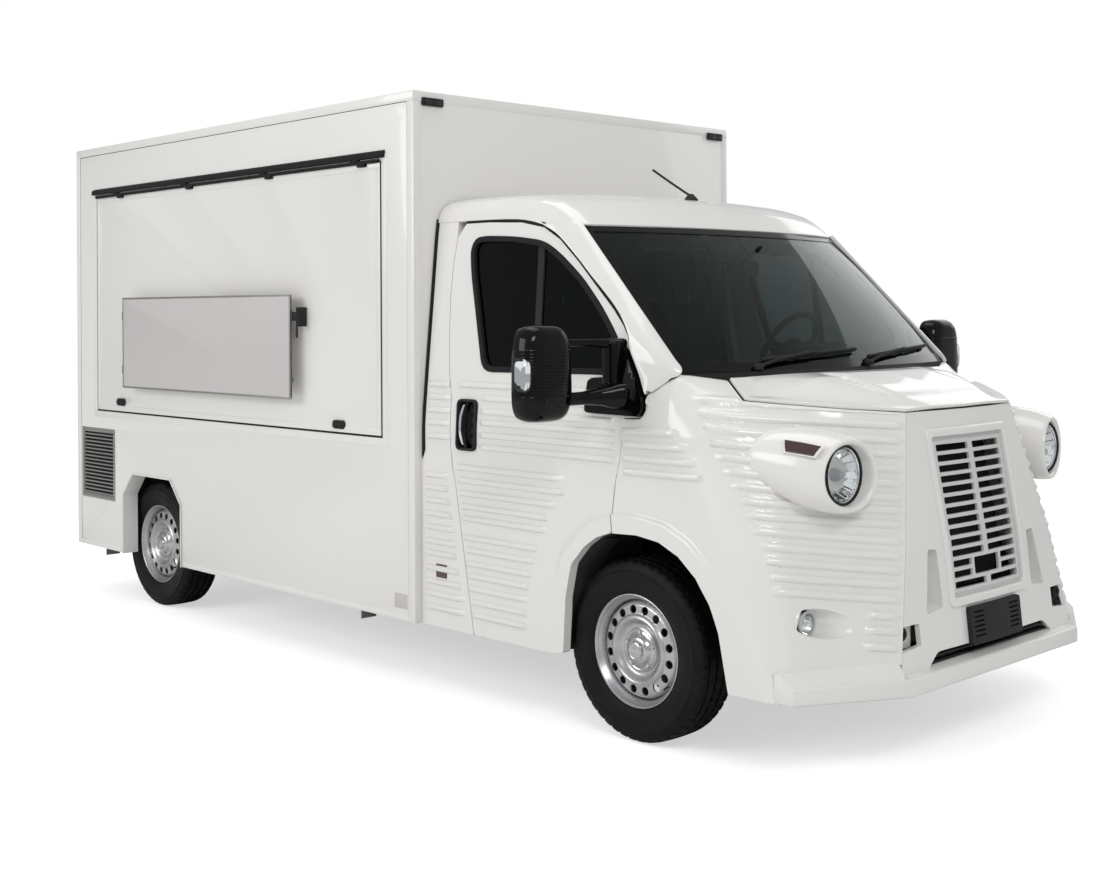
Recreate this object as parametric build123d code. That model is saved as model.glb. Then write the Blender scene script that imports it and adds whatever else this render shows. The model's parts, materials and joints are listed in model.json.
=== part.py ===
"""Food truck: a front-drive van cab with a ribbed retro front and a flat-sided serving box."""
from build123d import *
from math import cos, sin, radians, sqrt, tan
import os

os.makedirs("parts", exist_ok=True)

# Axles and overhangs, in millimetres, with x forward, y to the left and z up
WHEELBASE = 3800
FRONT_OVERHANG = 1030
REAR_OVERHANG = 849
FRONT_AXLE_X = (WHEELBASE + REAR_OVERHANG - FRONT_OVERHANG) / 2
REAR_AXLE_X = FRONT_AXLE_X - WHEELBASE

# Wheels: a 16 inch steel rim with a tall van tyre
TYRE_RADIUS = 362
TYRE_WIDTH = 215
TYRE_SHOULDER = 42
TREAD_GROOVE_WIDTH = 9
TREAD_GROOVE_DEPTH = 8
TREAD_GROOVE_SHARES = (-0.31, -0.1, 0.1, 0.31)
RIM_FLANGE_RADIUS = 221
RIM_BARREL_RADIUS = 206
RIM_SHEET = 9
RIM_WIDTH = 166
RIM_DISC_OUTSET = 62
RIM_DISC_SHEET = 10
RIM_HOLES = 16
RIM_HOLE_RADIUS = 13
RIM_HOLE_CIRCLE = 156
RIM_BEND_RADIUS = 176
RIM_DISH_RADIUS = 118
RIM_DISH_DEPTH = 26
HUB_RADIUS = 66
HUB_DOME = 34
SPINDLE_RADIUS = 30
RUNNING_CLEARANCE = 0.3

# Serving box
BOX_FRONT = 1250
BOX_REAR_GAP = 60
BOX_WIDTH = 2218
BOX_BOTTOM = 299
BOX_TOP = 2714
BOX_WALL = 40
FLOOR_TOP = 470
FLOOR_THICKNESS = 60
REAR_X = -(WHEELBASE + REAR_OVERHANG + FRONT_OVERHANG) / 2
BOX_REAR_X = REAR_X + BOX_REAR_GAP
BOX_FRONT_X = FRONT_AXLE_X - BOX_FRONT
BOX_HALF = BOX_WIDTH / 2
REAR_WHEEL_INSET = 214
REAR_TRACK = 2 * (BOX_HALF - REAR_WHEEL_INSET)
BOX_INNER = BOX_HALF - BOX_WALL
WALL_TOP = BOX_TOP - BOX_WALL
SEAM = 1
MOVING_GAP = 8

# Rear wheel openings in the box sides
REAR_ARCH_BACK = 210
REAR_ARCH_FRONT = 455
REAR_ARCH_TOP = 770
REAR_ARCH_SIDE = 640
REAR_ARCH_SLOPE = 118
WHEEL_BOX_SHEET = 20
WHEEL_BOX_GAP = 60

# Serving hatch, its hinge strip, sign board and vent
HATCH_REAR = 265
HATCH_FRONT = 240
HATCH_BOTTOM = 1125
HATCH_TOP_GAP = 309
HATCH_TOP = BOX_TOP - HATCH_TOP_GAP
HATCH_AXIS_RISE = 7
HATCH_AXIS_OUT = 9
HATCH_EYE_RADIUS = 8
HATCH_STRIP_RISE = 14
HATCH_PIN_RADIUS = 4
HATCH_KNUCKLE = 120
STRIP_HEIGHT = 20
STRIP_DEPTH = 12
SIGN_LENGTH = 1730
SIGN_HEIGHT = 520
SIGN_BOTTOM = 1280
SIGN_FROM_FRONT = 650
SIGN_THICKNESS = 12
SIGN_STANDOFF = 62
SIGN_POST = 34
SIGN_INSET = 90
VENT_LENGTH = 400
VENT_HEIGHT = 410
VENT_BOTTOM = 600
VENT_FROM_REAR = 69
VENT_FRAME = 18
VENT_DEPTH = 26
VENT_SLATS = 17
VENT_SLAT_SHARES = (0.1, 0.5, 0.9)

# Rear entry door, lamps and bumper
REAR_DOOR_WIDTH = 760
REAR_DOOR_TOP_GAP = 354
REAR_DOOR_SILL = 480
REAR_DOOR_HEIGHT = BOX_TOP - REAR_DOOR_TOP_GAP - REAR_DOOR_SILL
REAR_PIN_RADIUS = 5
REAR_HINGE_OUT = 14
REAR_HINGE_LENGTH = 90
REAR_HINGE_SHARES = (0.15, 0.85)
HINGE_LEAF = 6
REAR_HANDLE_LENGTH = 150
REAR_HANDLE_WIDTH = 26
LAMP_WIDTH = 110
LAMP_HEIGHT = 300
LAMP_BOTTOM = 560
LAMP_DEPTH = 28
LAMP_INSET = 60
REAR_BUMPER_HEIGHT = 90
REAR_BUMPER_DEPTH = 50
REAR_BUMPER_LENGTH = 2000
REAR_BUMPER_Z = 330

# Counter behind the hatch
COUNTER_DEPTH = 560
COUNTER_TOP = 1105
COUNTER_SHEET = 30
CABINET_SETBACK = 40
CABINET_END_GAP = 120
CABINET_TOE = 90

# Ladder frame, front subframe and rear axle
RAIL_HALF = 420
RAIL_WIDTH = 70
RAIL_HEIGHT = 120
RAIL_FRONT = 420
CROSS_WIDTH = 80
CROSS_SHARES = (0.03, 0.3, 0.62, 0.97)
CAB_MOUNT_SHARES = (0.06, 0.32)
OUTRIGGER_WIDTH = 50
SUBFRAME_FRONT = 800
SUBFRAME_BOTTOM = 215
SUBFRAME_HEIGHT = 90
ARM_THICKNESS = 30
ARM_ROOT = 300
KINGPIN_INSET = 85
KINGPIN_RADIUS = 12
KINGPIN_EYE = 34
STRUT_RADIUS = 32
STRUT_INSET = 120
STRUT_TOP = 910
TOWER_HALF = 105
LUG_RISE = 140
UPRIGHT_LENGTH = 110
UPRIGHT_DEPTH = 56
DISC_RADIUS = 140
DISC_THICKNESS = 24
DISC_OUTSET = 30
AXLE_TUBE_RADIUS = 45
DRUM_RADIUS = 135
DRUM_WIDTH = 70
TRAILING_ARM_LENGTH = 190
TRAILING_ARM_WIDTH = 40
TRAILING_ARM_HEIGHT = 80
TRAILING_ARM_GAP = 20

# Corner steadies under the box
STEADY_LENGTH = 250
STEADY_WIDTH = 60
STEADY_HEIGHT = 40
STEADY_SHEET = 5
STEADY_PAD = 90
STEADY_PIN_RADIUS = 6
STEADY_AXIS_Z = 272
STEADY_Y = 900
STEADY_FRONT = 1634
STEADY_REAR = 4300
STEADY_EAR = 12

# Cab: the outline shares below are of these lengths, from its rear edge and the ground
CAB_REAR = 1235
CAB_LENGTH = CAB_REAR + FRONT_OVERHANG
CAB_HEIGHT = 2250
CAB_HALF = 1070
FRONT_WHEEL_INSET = 165
FRONT_TRACK = 2 * (CAB_HALF - FRONT_WHEEL_INSET)
CAB_SKIN = 28
CAB_PANEL = 60
CAB_SEAM_GAP = 8
CAB_FLOOR_Z = 600
CAB_FLOOR_SHEET = 40
CAB_WALL = 35
WAIST_SHARE = 0.640
SILL_SHARE = 0.133
ROOF_EDGE_SHARE = 0.921

# Front body sections: height share, then the rear, fold, nose and prow stations (length, half width)
FRONT_SECTION_SHARES = (
    (0.133, (0.42, 1.0), (0.883, 0.981), (0.986, 0.617), (0.991, 0.0)),
    (0.356, (0.42, 1.0), (0.817, 0.981), (0.960, 0.501), (0.969, 0.0)),
    (0.578, (0.42, 0.991), (0.724, 0.972), (0.923, 0.369), (0.930, 0.0)),
    (0.640, (0.42, 0.907), (0.656, 0.869), (0.691, 0.374), (0.726, 0.0)),
)
# Door outline: length share, height share
DOOR_LOWER_SHARES = (
    (0.089, 0.642), (0.089, 0.484), (0.098, 0.444), (0.153, 0.133), (0.363, 0.133),
    (0.525, 0.267), (0.525, 0.369), (0.543, 0.570), (0.545, 0.642),
)
DOOR_UPPER_SHARES = (
    (0.089, 0.640), (0.109, 0.914), (0.342, 0.914), (0.475, 0.800), (0.603, 0.642),
)
DOOR_WINDOW_SHARES = (
    (0.176, 0.649), (0.151, 0.892), (0.345, 0.892), (0.463, 0.785), (0.560, 0.672), (0.560, 0.649),
)
# Bonnet plan: length share, half width share
BONNET_SHARES = ((0.714, 0.0), (0.700, 0.420), (0.672, 0.710), (0.736, 0.793), (0.923, 0.369),
                 (0.995, 0.369))
# Plan of the space behind the screen's foot, and the side cut where the wing meets the pillar
COWL_SHARES = ((0.42, 0.865), (0.640, 0.865), (0.690, 0.62), (0.716, 0.30), (0.722, 0.0))
SHOULDER_SHARES = ((0.30, 0.72), (0.646, 0.72), (0.646, 0.648), (0.592, 0.604), (0.30, 0.604))
# Cab cross section: half width share, height share
CAB_SECTION_SHARES = ((0.985, 0.56), (0.935, 0.649), (0.848, 0.916), (0.790, 0.966), (0.0, 1.0))
WAIST_CORNER_SHARES = (0.636, 0.884)
SCREEN_BOW = 200
SCREEN_SLOPE = 45
ROOF_PROFILE_SHARES = ((0.0, 1.0), (0.22, 0.998), (0.36, 0.975), (0.44, 0.938), (0.70, 0.80))
GLASS = 6
GLASS_INSET = 8
FRONT_ARCH_RADIUS = 440
FRONT_ARCH_AHEAD = 80
FRONT_ARCH_RISE = 50
FRONT_ARCH_DEPTH = 520
LINER_SHEET = 12
LINER_BOTTOM = 330
LINER_RADIUS = 470
LINER_AHEAD = 40
NOSE_SEAM_SHARES = ((0.617, 0.133), (0.369, 0.578))

# Ribs pressed into the kit panels
RIB_PITCH = 58
RIB_HEIGHT = 9
RIB_UPPER_TOP = 1425
RIB_UPPER_COUNT = 6
RIB_LOWER_TOP = 985
RIB_LOWER_COUNT = 11

# Door hinges
DOOR_AXIS_SHARE = 0.5715
DOOR_AXIS_INSET = 40
DOOR_PIN_RADIUS = 5
DOOR_BARREL_RADIUS = 9
DOOR_HINGE_HEIGHTS = (1000, 1220)
DOOR_HINGE_LENGTH = 50
GOOSENECK_DEPTH = 98
GOOSENECK_SHEET = 13
GOOSENECK_REACH = 118
POST_OUTER_INSET = 145
POST_OUTER = CAB_HALF - POST_OUTER_INSET
POST_DEPTH = 70
POST_LENGTH = 120
WING_REAR_SHEET = 9

# Bonnet hinges
BONNET_AXIS_SHARE = 0.700
BONNET_AXIS_DROP = 42
BONNET_HINGE_Y = 540
BONNET_HINGE_WIDTH = 40
BONNET_PIN_RADIUS = 5
BONNET_BARREL_RADIUS = 9
COWL_DROP = 190
COWL_HEIGHT = 60
COWL_LENGTH = 120
COWL_HALF = 700

# Grille, its frame and the front details
GRILLE_TOP = 1253
GRILLE_BOTTOM = 561
GRILLE_HALF = 302
GRILLE_FRAME = 42
GRILLE_RAISE = 22
GRILLE_ROWS = 14
GRILLE_SLAT_SHARE = 0.5
GRILLE_CENTRE = 20
GRILLE_RECESS = 24
BUMPER_TOP = 365
BUMPER_BOTTOM = 300
BUMPER_CORNER = 629
BUMPER_SWEEP = 230
BUMPER_TIP = 1050
BUMPER_DEPTH = 180
HEADLAMP_Y = 725
HEADLAMP_Z = 1101
HEADLAMP_AHEAD = 823
HEADLAMP_RADIUS = 88
POD_RADIUS = 140
POD_LENGTH = 260
POD_TAPER = 50
POD_TOE_OUT = 28
LENS_DEPTH = 20

# Cab inside
DASH_HALF = 840
DASH_TOP = 1450
DASH_BOTTOM = 1080
DASH_REAR = 190
DASH_FRONT = 150
BINNACLE_HALF = 160
BINNACLE_TOP = 1560
BINNACLE_LENGTH = 200
DRIVER_Y = 450
STEER_X = 330
STEER_Z = 1535
STEER_RAKE = 30
STEER_RADIUS = 190
STEER_RIM = 15
STEER_HUB = 55
STEER_HUB_DEPTH = 50
COLUMN_RADIUS = 22
COLUMN_LENGTH = 180
SEAT_WIDTH = 480
SEAT_REAR = 1000
SEAT_LENGTH = 500
SEAT_TOP = 1190
SEAT_PAD = 120
SEAT_BACK = 120
SEAT_BACK_TOP = 1780
SEAT_LEAN = 90
HEADREST_WIDTH = 260
HEADREST_HEIGHT = 190
HEADREST_RISE = 50
HEADREST_DEPTH = 90
SEAT_BASE_WIDTH = 400
ENGINE_LENGTH = 420
ENGINE_HALF = 380
ENGINE_TOP = 950
ENGINE_AHEAD = 180

# Mirrors, handles, wipers
MIRROR_Z = 1480
MIRROR_HEIGHT = 370
MIRROR_WIDTH = 240
MIRROR_DEPTH = 110
MIRROR_REACH = 460
MIRROR_OUTER = CAB_HALF + MIRROR_REACH
MIRROR_BACK = 20
ARM_RADIUS = 16
ARM_LOW = 60
ARM_HIGH = 190
MIRROR_BASE_LENGTH = 150
MIRROR_BASE_BOTTOM = 1305
MIRROR_BASE_HEIGHT = 250
MIRROR_BASE_SHEET = 30
WIPER_LENGTH = 560
WIPER_SECTION = 14
WIPER_RISE = 40
WIPER_PLACES = (-450, 250)

# Places and shares used by several pieces
HUB_EDGE_SHARE = 0.72
HALF_SHARE = 0.5
SPINDLE_TIP = RIM_DISC_OUTSET - RIM_DISH_DEPTH / 2
KINGPIN_Y = FRONT_TRACK / 2 - KINGPIN_INSET
RAIL_BOTTOM = FLOOR_TOP - FLOOR_THICKNESS - RAIL_HEIGHT
ARM_Z = TYRE_RADIUS - LUG_RISE - ARM_THICKNESS
LUG_Z = TYRE_RADIUS + LUG_RISE
HATCH_X0 = BOX_REAR_X + HATCH_REAR
HATCH_X1 = BOX_FRONT_X - HATCH_FRONT
HATCH_AXIS_Z = HATCH_TOP + HATCH_AXIS_RISE
HATCH_AXIS_Y = BOX_HALF + HATCH_AXIS_OUT
HATCH_KNUCKLE_SHARES = (0.08, 0.36, 0.64, 0.92)
VENT_X0 = BOX_REAR_X + VENT_FROM_REAR
VENT_X1 = VENT_X0 + VENT_LENGTH
VENT_TOP = VENT_BOTTOM + VENT_HEIGHT
REAR_DOOR_HALF = REAR_DOOR_WIDTH / 2
REAR_DOOR_TOP = REAR_DOOR_SILL + REAR_DOOR_HEIGHT
REAR_AXIS_X = BOX_REAR_X - REAR_HINGE_OUT
REAR_AXIS_Y = REAR_DOOR_HALF
SCREEN_SPREAD = 1.414
SHOULDER_SHARE = 0.8
SIDE_BOTTOM_SHARE = 0.56
DOOR_AXIS_Y = CAB_HALF - DOOR_AXIS_INSET
SCREEN_TOP_SHARE = 0.918
SCREEN_BOTTOM_SHARE = 0.652
SCREEN_HALF_BOTTOM = 925
SCREEN_HALF_TOP = 860
SCREEN_REAR_SHARE = 0.36
REBATE_SHARE = 0.45
DOOR_REGION_DEPTH = 260
NOSE_REAR_SHARE = 0.8

OVERRUN = 20
SIDES = {"left": 1, "right": -1}


def cab_x(share):
    return FRONT_AXLE_X - CAB_REAR + share * CAB_LENGTH


def cab_y(share):
    return share * CAB_HALF


def cab_z(share):
    return share * CAB_HEIGHT


def block(x0, x1, y0, y1, z0, z1):
    """A box between two corners."""
    return Pos((x0 + x1) / 2, (y0 + y1) / 2, (z0 + z1) / 2) * Box(x1 - x0, y1 - y0, z1 - z0)


def outline(points):
    return make_face(Polyline(*points, close=True))


def side_prism(points, y0, y1):
    """An outline in x and z, filled from y0 to y1."""
    return extrude(Plane.XZ.offset(-y1) * outline(points), amount=y1 - y0)


def front_prism(points, x0, x1):
    """An outline in y and z, filled from x0 to x1."""
    return extrude(Plane.YZ.offset(x0) * outline(points), amount=x1 - x0)


def plan_prism(points, z0, z1):
    """An outline in x and y, filled from z0 to z1."""
    return extrude(Plane.XY.offset(z0) * outline(points), amount=z1 - z0)


def rod_y(x, z, y0, y1, radius):
    return Pos(x, (y0 + y1) / 2, z) * Rot(90, 0, 0) * Cylinder(radius, y1 - y0)


def rod_x(y, z, x0, x1, radius):
    return Pos((x0 + x1) / 2, y, z) * Rot(0, 90, 0) * Cylinder(radius, x1 - x0)


def rod_z(x, y, z0, z1, radius):
    return Pos(x, y, (z0 + z1) / 2) * Cylinder(radius, z1 - z0)


def other_side(shape):
    return mirror(shape, about=Plane.XZ)


def both(shape):
    return [shape, other_side(shape)]


def on_side(shape, side):
    """A piece drawn on the left, moved to the named side."""
    return shape if side == "left" else other_side(shape)


def joined(shapes):
    result = shapes[0]
    for shape in shapes[1:]:
        result = result + shape
    return result


def write(name, *shapes):
    solids = [solid for shape in shapes for solid in shape.solids()]
    shape = solids[0] if len(solids) == 1 else Compound(children=solids)
    export_step(shape, f"parts/{name}.step")


# Wheels
def tyre(y):
    half = TYRE_WIDTH / 2
    crown = TYRE_RADIUS - TYRE_SHOULDER
    bead = RIM_WIDTH / 2 - RIM_SHEET - RUNNING_CLEARANCE
    with BuildLine() as line:
        Line((RIM_BARREL_RADIUS, -bead), (RIM_FLANGE_RADIUS, -bead - RIM_SHEET / 4))
        Line((RIM_FLANGE_RADIUS, -bead - RIM_SHEET / 4), (RIM_FLANGE_RADIUS + TYRE_SHOULDER, -half))
        Line((RIM_FLANGE_RADIUS + TYRE_SHOULDER, -half), (crown, -half))
        Line((crown, -half), (TYRE_RADIUS, -half + TYRE_SHOULDER / 2))
        Line((TYRE_RADIUS, -half + TYRE_SHOULDER / 2), (TYRE_RADIUS, half - TYRE_SHOULDER / 2))
        Line((TYRE_RADIUS, half - TYRE_SHOULDER / 2), (crown, half))
        Line((crown, half), (RIM_FLANGE_RADIUS + TYRE_SHOULDER, half))
        Line((RIM_FLANGE_RADIUS + TYRE_SHOULDER, half), (RIM_FLANGE_RADIUS, bead + RIM_SHEET / 4))
        Line((RIM_FLANGE_RADIUS, bead + RIM_SHEET / 4), (RIM_BARREL_RADIUS, bead))
        Line((RIM_BARREL_RADIUS, bead), (RIM_BARREL_RADIUS, -bead))
    body = revolve(make_face(line.line), Axis.Y)
    for share in TREAD_GROOVE_SHARES:
        groove = rod_y(0, 0, share * TYRE_WIDTH, share * TYRE_WIDTH + TREAD_GROOVE_WIDTH,
                       TYRE_RADIUS + OVERRUN)
        floor_radius = TYRE_RADIUS - TREAD_GROOVE_DEPTH
        floor = rod_y(0, 0, share * TYRE_WIDTH, share * TYRE_WIDTH + TREAD_GROOVE_WIDTH, floor_radius)
        body = body - (groove - floor)
    return Pos(0, y, 0) * body


def rim(y):
    """A steel rim with its outboard face towards +y, and a blind bore for the spindle."""
    half = RIM_WIDTH / 2
    inner = RIM_BARREL_RADIUS - RIM_SHEET
    flange = RIM_FLANGE_RADIUS - RUNNING_CLEARANCE
    disc = RIM_DISC_OUTSET - RIM_DISC_SHEET
    profile = (
        (inner, -half), (flange, -half), (flange, -half + RIM_SHEET / 2),
        (RIM_BARREL_RADIUS - SEAM, -half + RIM_SHEET),
        (RIM_BARREL_RADIUS - SEAM, half - RIM_SHEET), (flange, half - RIM_SHEET / 2), (flange, half),
        (inner, half),
        (inner, RIM_DISC_OUTSET - RIM_DISH_DEPTH), (RIM_BEND_RADIUS, RIM_DISC_OUTSET),
        (RIM_DISH_RADIUS, RIM_DISC_OUTSET), (HUB_RADIUS + RIM_SHEET, RIM_DISC_OUTSET - RIM_DISH_DEPTH),
        (HUB_RADIUS, RIM_DISC_OUTSET - RIM_DISH_DEPTH),
        (HUB_RADIUS * HUB_EDGE_SHARE, RIM_DISC_OUTSET + HUB_DOME - RIM_DISH_DEPTH),
        (0, RIM_DISC_OUTSET + HUB_DOME - RIM_DISH_DEPTH / 2), (0, disc - RIM_DISH_DEPTH),
        (HUB_RADIUS + RIM_SHEET, disc - RIM_DISH_DEPTH), (RIM_DISH_RADIUS, disc),
        (RIM_BEND_RADIUS, disc), (inner, disc - RIM_DISH_DEPTH),
    )
    body = revolve(outline(profile), Axis.Y)
    hole = rod_y(RIM_HOLE_CIRCLE, 0, disc - RIM_DISH_DEPTH, RIM_DISC_OUTSET + OVERRUN, RIM_HOLE_RADIUS)
    for index in range(RIM_HOLES):
        body = body - Rot(0, 360 * (index + HALF_SHARE) / RIM_HOLES, 0) * hole
    bore_end = SPINDLE_TIP + RUNNING_CLEARANCE
    body = body - rod_y(0, 0, -half, bore_end, SPINDLE_RADIUS + RUNNING_CLEARANCE)
    return Pos(0, y, 0) * body


def wheel_at(shape, x, side):
    return Pos(x, 0, TYRE_RADIUS) * on_side(shape, side)


def wheels():
    for side in SIDES:
        for end, x, track in (("front", FRONT_AXLE_X, FRONT_TRACK), ("rear", REAR_AXLE_X, REAR_TRACK)):
            write(f"tyre_{end}_{side}", wheel_at(tyre(track / 2), x, side))
            write(f"rim_{end}_{side}", wheel_at(rim(track / 2), x, side))


# Frame, suspension and steering


def front_corner():
    """The left lower arm and strut that carry the knuckle."""
    x = FRONT_AXLE_X
    arm = plan_prism(
        ((x - ARM_ROOT, RAIL_HALF), (x - KINGPIN_EYE, KINGPIN_Y), (x + KINGPIN_EYE, KINGPIN_Y),
         (x + ARM_ROOT, RAIL_HALF)),
        ARM_Z, ARM_Z + ARM_THICKNESS)
    arm = arm + rod_z(x, KINGPIN_Y, ARM_Z, ARM_Z + ARM_THICKNESS, KINGPIN_EYE)
    strut_y = KINGPIN_Y - STRUT_INSET
    strut = rod_z(x, strut_y, LUG_Z, STRUT_TOP, STRUT_RADIUS)
    strut = strut + block(x - STRUT_RADIUS, x + STRUT_RADIUS, strut_y, KINGPIN_Y, LUG_Z,
                          LUG_Z + ARM_THICKNESS)
    strut = strut + rod_z(x, KINGPIN_Y, LUG_Z, LUG_Z + ARM_THICKNESS, STRUT_RADIUS)
    hole = rod_z(x, KINGPIN_Y, ARM_Z - OVERRUN, LUG_Z + ARM_THICKNESS + OVERRUN,
                 KINGPIN_RADIUS + RUNNING_CLEARANCE)
    tower = block(x - TOWER_HALF, x + TOWER_HALF, RAIL_HALF, strut_y + STRUT_RADIUS, STRUT_TOP,
                  STRUT_TOP + RIM_SHEET)
    web = block(x - TOWER_HALF, x + TOWER_HALF, RAIL_HALF - RIM_SHEET, RAIL_HALF,
                SUBFRAME_BOTTOM + SUBFRAME_HEIGHT, STRUT_TOP + RIM_SHEET)
    return joined([arm - hole, web, tower, strut - hole])


def chassis_frame():
    front = FRONT_AXLE_X - RAIL_FRONT
    rear = BOX_REAR_X + BOX_WALL
    rail_top = RAIL_BOTTOM + RAIL_HEIGHT
    rail = block(rear, front, RAIL_HALF - RAIL_WIDTH, RAIL_HALF, RAIL_BOTTOM, rail_top)
    pieces = both(rail)
    for share in CROSS_SHARES:
        x = rear + share * (front - rear)
        pieces.append(block(x - CROSS_WIDTH / 2, x + CROSS_WIDTH / 2, -RAIL_HALF, RAIL_HALF,
                            RAIL_BOTTOM + RIM_SHEET, rail_top - RIM_SHEET))
    for share in CAB_MOUNT_SHARES:
        x = cab_x(share)
        pieces += both(block(x - CROSS_WIDTH / 2, x + CROSS_WIDTH / 2, RAIL_HALF - RAIL_WIDTH, RAIL_HALF,
                             rail_top, CAB_FLOOR_Z - CAB_FLOOR_SHEET))
    sub_top = SUBFRAME_BOTTOM + SUBFRAME_HEIGHT
    sub = block(front - RAIL_WIDTH, FRONT_AXLE_X + SUBFRAME_FRONT, RAIL_HALF - RAIL_WIDTH, RAIL_HALF,
                SUBFRAME_BOTTOM, sub_top)
    pieces += both(sub)
    for x in (FRONT_AXLE_X - ARM_ROOT, FRONT_AXLE_X + SUBFRAME_FRONT - CROSS_WIDTH):
        pieces.append(block(x, x + CROSS_WIDTH, -RAIL_HALF, RAIL_HALF, SUBFRAME_BOTTOM, sub_top))
    corner = front_corner()
    pieces += both(corner)
    for distance in (STEADY_FRONT, STEADY_REAR):
        x = FRONT_AXLE_X - distance
        outrigger = block(x - OUTRIGGER_WIDTH / 2, x + OUTRIGGER_WIDTH / 2, RAIL_HALF,
                          STEADY_Y + STEADY_WIDTH,
                          RAIL_BOTTOM + STEADY_HEIGHT, rail_top)
        ears = [block(x - STEADY_HEIGHT / 2, x + STEADY_HEIGHT / 2, y, y + STEADY_EAR,
                      STEADY_AXIS_Z - STEADY_HEIGHT / 2, rail_top)
                for y in (STEADY_Y - STEADY_WIDTH / 2 - STEADY_EAR - SEAM,
                          STEADY_Y + STEADY_WIDTH / 2 + SEAM)]
        pin = rod_y(x, STEADY_AXIS_Z, STEADY_Y - STEADY_WIDTH / 2 - STEADY_EAR,
                    STEADY_Y + STEADY_WIDTH / 2 + STEADY_EAR,
                    STEADY_PIN_RADIUS)
        pieces += both(joined([outrigger] + ears + [pin]))
    return joined(pieces)


def steady(distance):
    """A left folded steady: a channel with a foot pad, lying along the box floor towards the rear."""
    x = FRONT_AXLE_X - distance
    width = STEADY_WIDTH / 2
    top = STEADY_AXIS_Z + STEADY_HEIGHT / 2
    leg = block(x - STEADY_LENGTH, x + STEADY_HEIGHT / 2, STEADY_Y - width, STEADY_Y + width,
                top - STEADY_HEIGHT, top)
    hollow = block(x - STEADY_LENGTH - OVERRUN, x + STEADY_HEIGHT, STEADY_Y - width + STEADY_SHEET,
                   STEADY_Y + width - STEADY_SHEET, top - STEADY_HEIGHT + STEADY_SHEET, top + OVERRUN)
    pad = block(x - STEADY_LENGTH - STEADY_SHEET, x - STEADY_LENGTH, STEADY_Y - STEADY_PAD / 2,
                STEADY_Y + STEADY_PAD / 2,
                top - STEADY_PAD, top)
    hole = rod_y(x, STEADY_AXIS_Z, STEADY_Y - STEADY_WIDTH, STEADY_Y + STEADY_WIDTH,
                 STEADY_PIN_RADIUS + RUNNING_CLEARANCE)
    return leg - hollow - hole + pad


def knuckle():
    """The left upright, its kingpin, spindle and brake disc."""
    x = FRONT_AXLE_X
    low = ARM_Z + ARM_THICKNESS + RUNNING_CLEARANCE
    high = LUG_Z - RUNNING_CLEARANCE
    upright = block(x - UPRIGHT_LENGTH / 2, x + UPRIGHT_LENGTH / 2, KINGPIN_Y - UPRIGHT_DEPTH / 2,
                    KINGPIN_Y + UPRIGHT_DEPTH / 2, low, high)
    pin = rod_z(x, KINGPIN_Y, ARM_Z, LUG_Z + ARM_THICKNESS, KINGPIN_RADIUS)
    centre = FRONT_TRACK / 2
    disc_y = KINGPIN_Y + UPRIGHT_DEPTH / 2 + DISC_OUTSET
    spindle = rod_y(x, TYRE_RADIUS, KINGPIN_Y, centre + SPINDLE_TIP, SPINDLE_RADIUS)
    disc = rod_y(x, TYRE_RADIUS, disc_y - DISC_THICKNESS, disc_y, DISC_RADIUS)
    return joined([upright, pin, spindle, disc])


def rear_axle():
    """A torsion beam under the rails, with an arm, a drum and a spindle at each end."""
    x = REAR_AXLE_X
    centre = REAR_TRACK / 2
    arm_y = centre - TYRE_WIDTH / 2 - TRAILING_ARM_GAP - TRAILING_ARM_WIDTH
    beam_x = x + TRAILING_ARM_LENGTH
    beam_z = RAIL_BOTTOM - AXLE_TUBE_RADIUS
    half = TRAILING_ARM_HEIGHT / 2
    pieces = [rod_y(beam_x, beam_z, -arm_y, arm_y, AXLE_TUBE_RADIUS)]
    arm = side_prism(((x - half, TYRE_RADIUS - half), (x - half, TYRE_RADIUS + half),
                      (beam_x + half, beam_z + half),
                      (beam_x + half, beam_z - half)), arm_y, arm_y + TRAILING_ARM_WIDTH)
    saddle = block(beam_x - half, beam_x + half, RAIL_HALF - RAIL_WIDTH, RAIL_HALF, beam_z, RAIL_BOTTOM)
    spindle = rod_y(x, TYRE_RADIUS, arm_y, centre + SPINDLE_TIP, SPINDLE_RADIUS)
    drum = rod_y(x, TYRE_RADIUS, arm_y + TRAILING_ARM_WIDTH, arm_y + TRAILING_ARM_WIDTH + DRUM_WIDTH,
                 DRUM_RADIUS)
    pieces += both(joined([arm, saddle, spindle, drum]))
    return joined(pieces)


def engine():
    x = FRONT_AXLE_X + ENGINE_AHEAD
    return block(x, x + ENGINE_LENGTH, -ENGINE_HALF, ENGINE_HALF, SUBFRAME_BOTTOM + SUBFRAME_HEIGHT,
                 ENGINE_TOP)


# Serving box
ARCH_OUTLINE = (
    (REAR_AXLE_X - REAR_ARCH_BACK, BOX_BOTTOM - OVERRUN),
    (REAR_AXLE_X - REAR_ARCH_BACK, REAR_ARCH_SIDE),
    (REAR_AXLE_X - REAR_ARCH_BACK + REAR_ARCH_SLOPE, REAR_ARCH_TOP),
    (REAR_AXLE_X + REAR_ARCH_FRONT - REAR_ARCH_SLOPE, REAR_ARCH_TOP),
    (REAR_AXLE_X + REAR_ARCH_FRONT, REAR_ARCH_SIDE),
    (REAR_AXLE_X + REAR_ARCH_FRONT, BOX_BOTTOM - OVERRUN),
)


def side_wall():
    """The left wall, with its wheel opening."""
    wall = block(BOX_REAR_X, BOX_FRONT_X, BOX_INNER, BOX_HALF, BOX_BOTTOM, WALL_TOP)
    return wall - side_prism(ARCH_OUTLINE, BOX_INNER - OVERRUN, BOX_HALF + OVERRUN)


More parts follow.
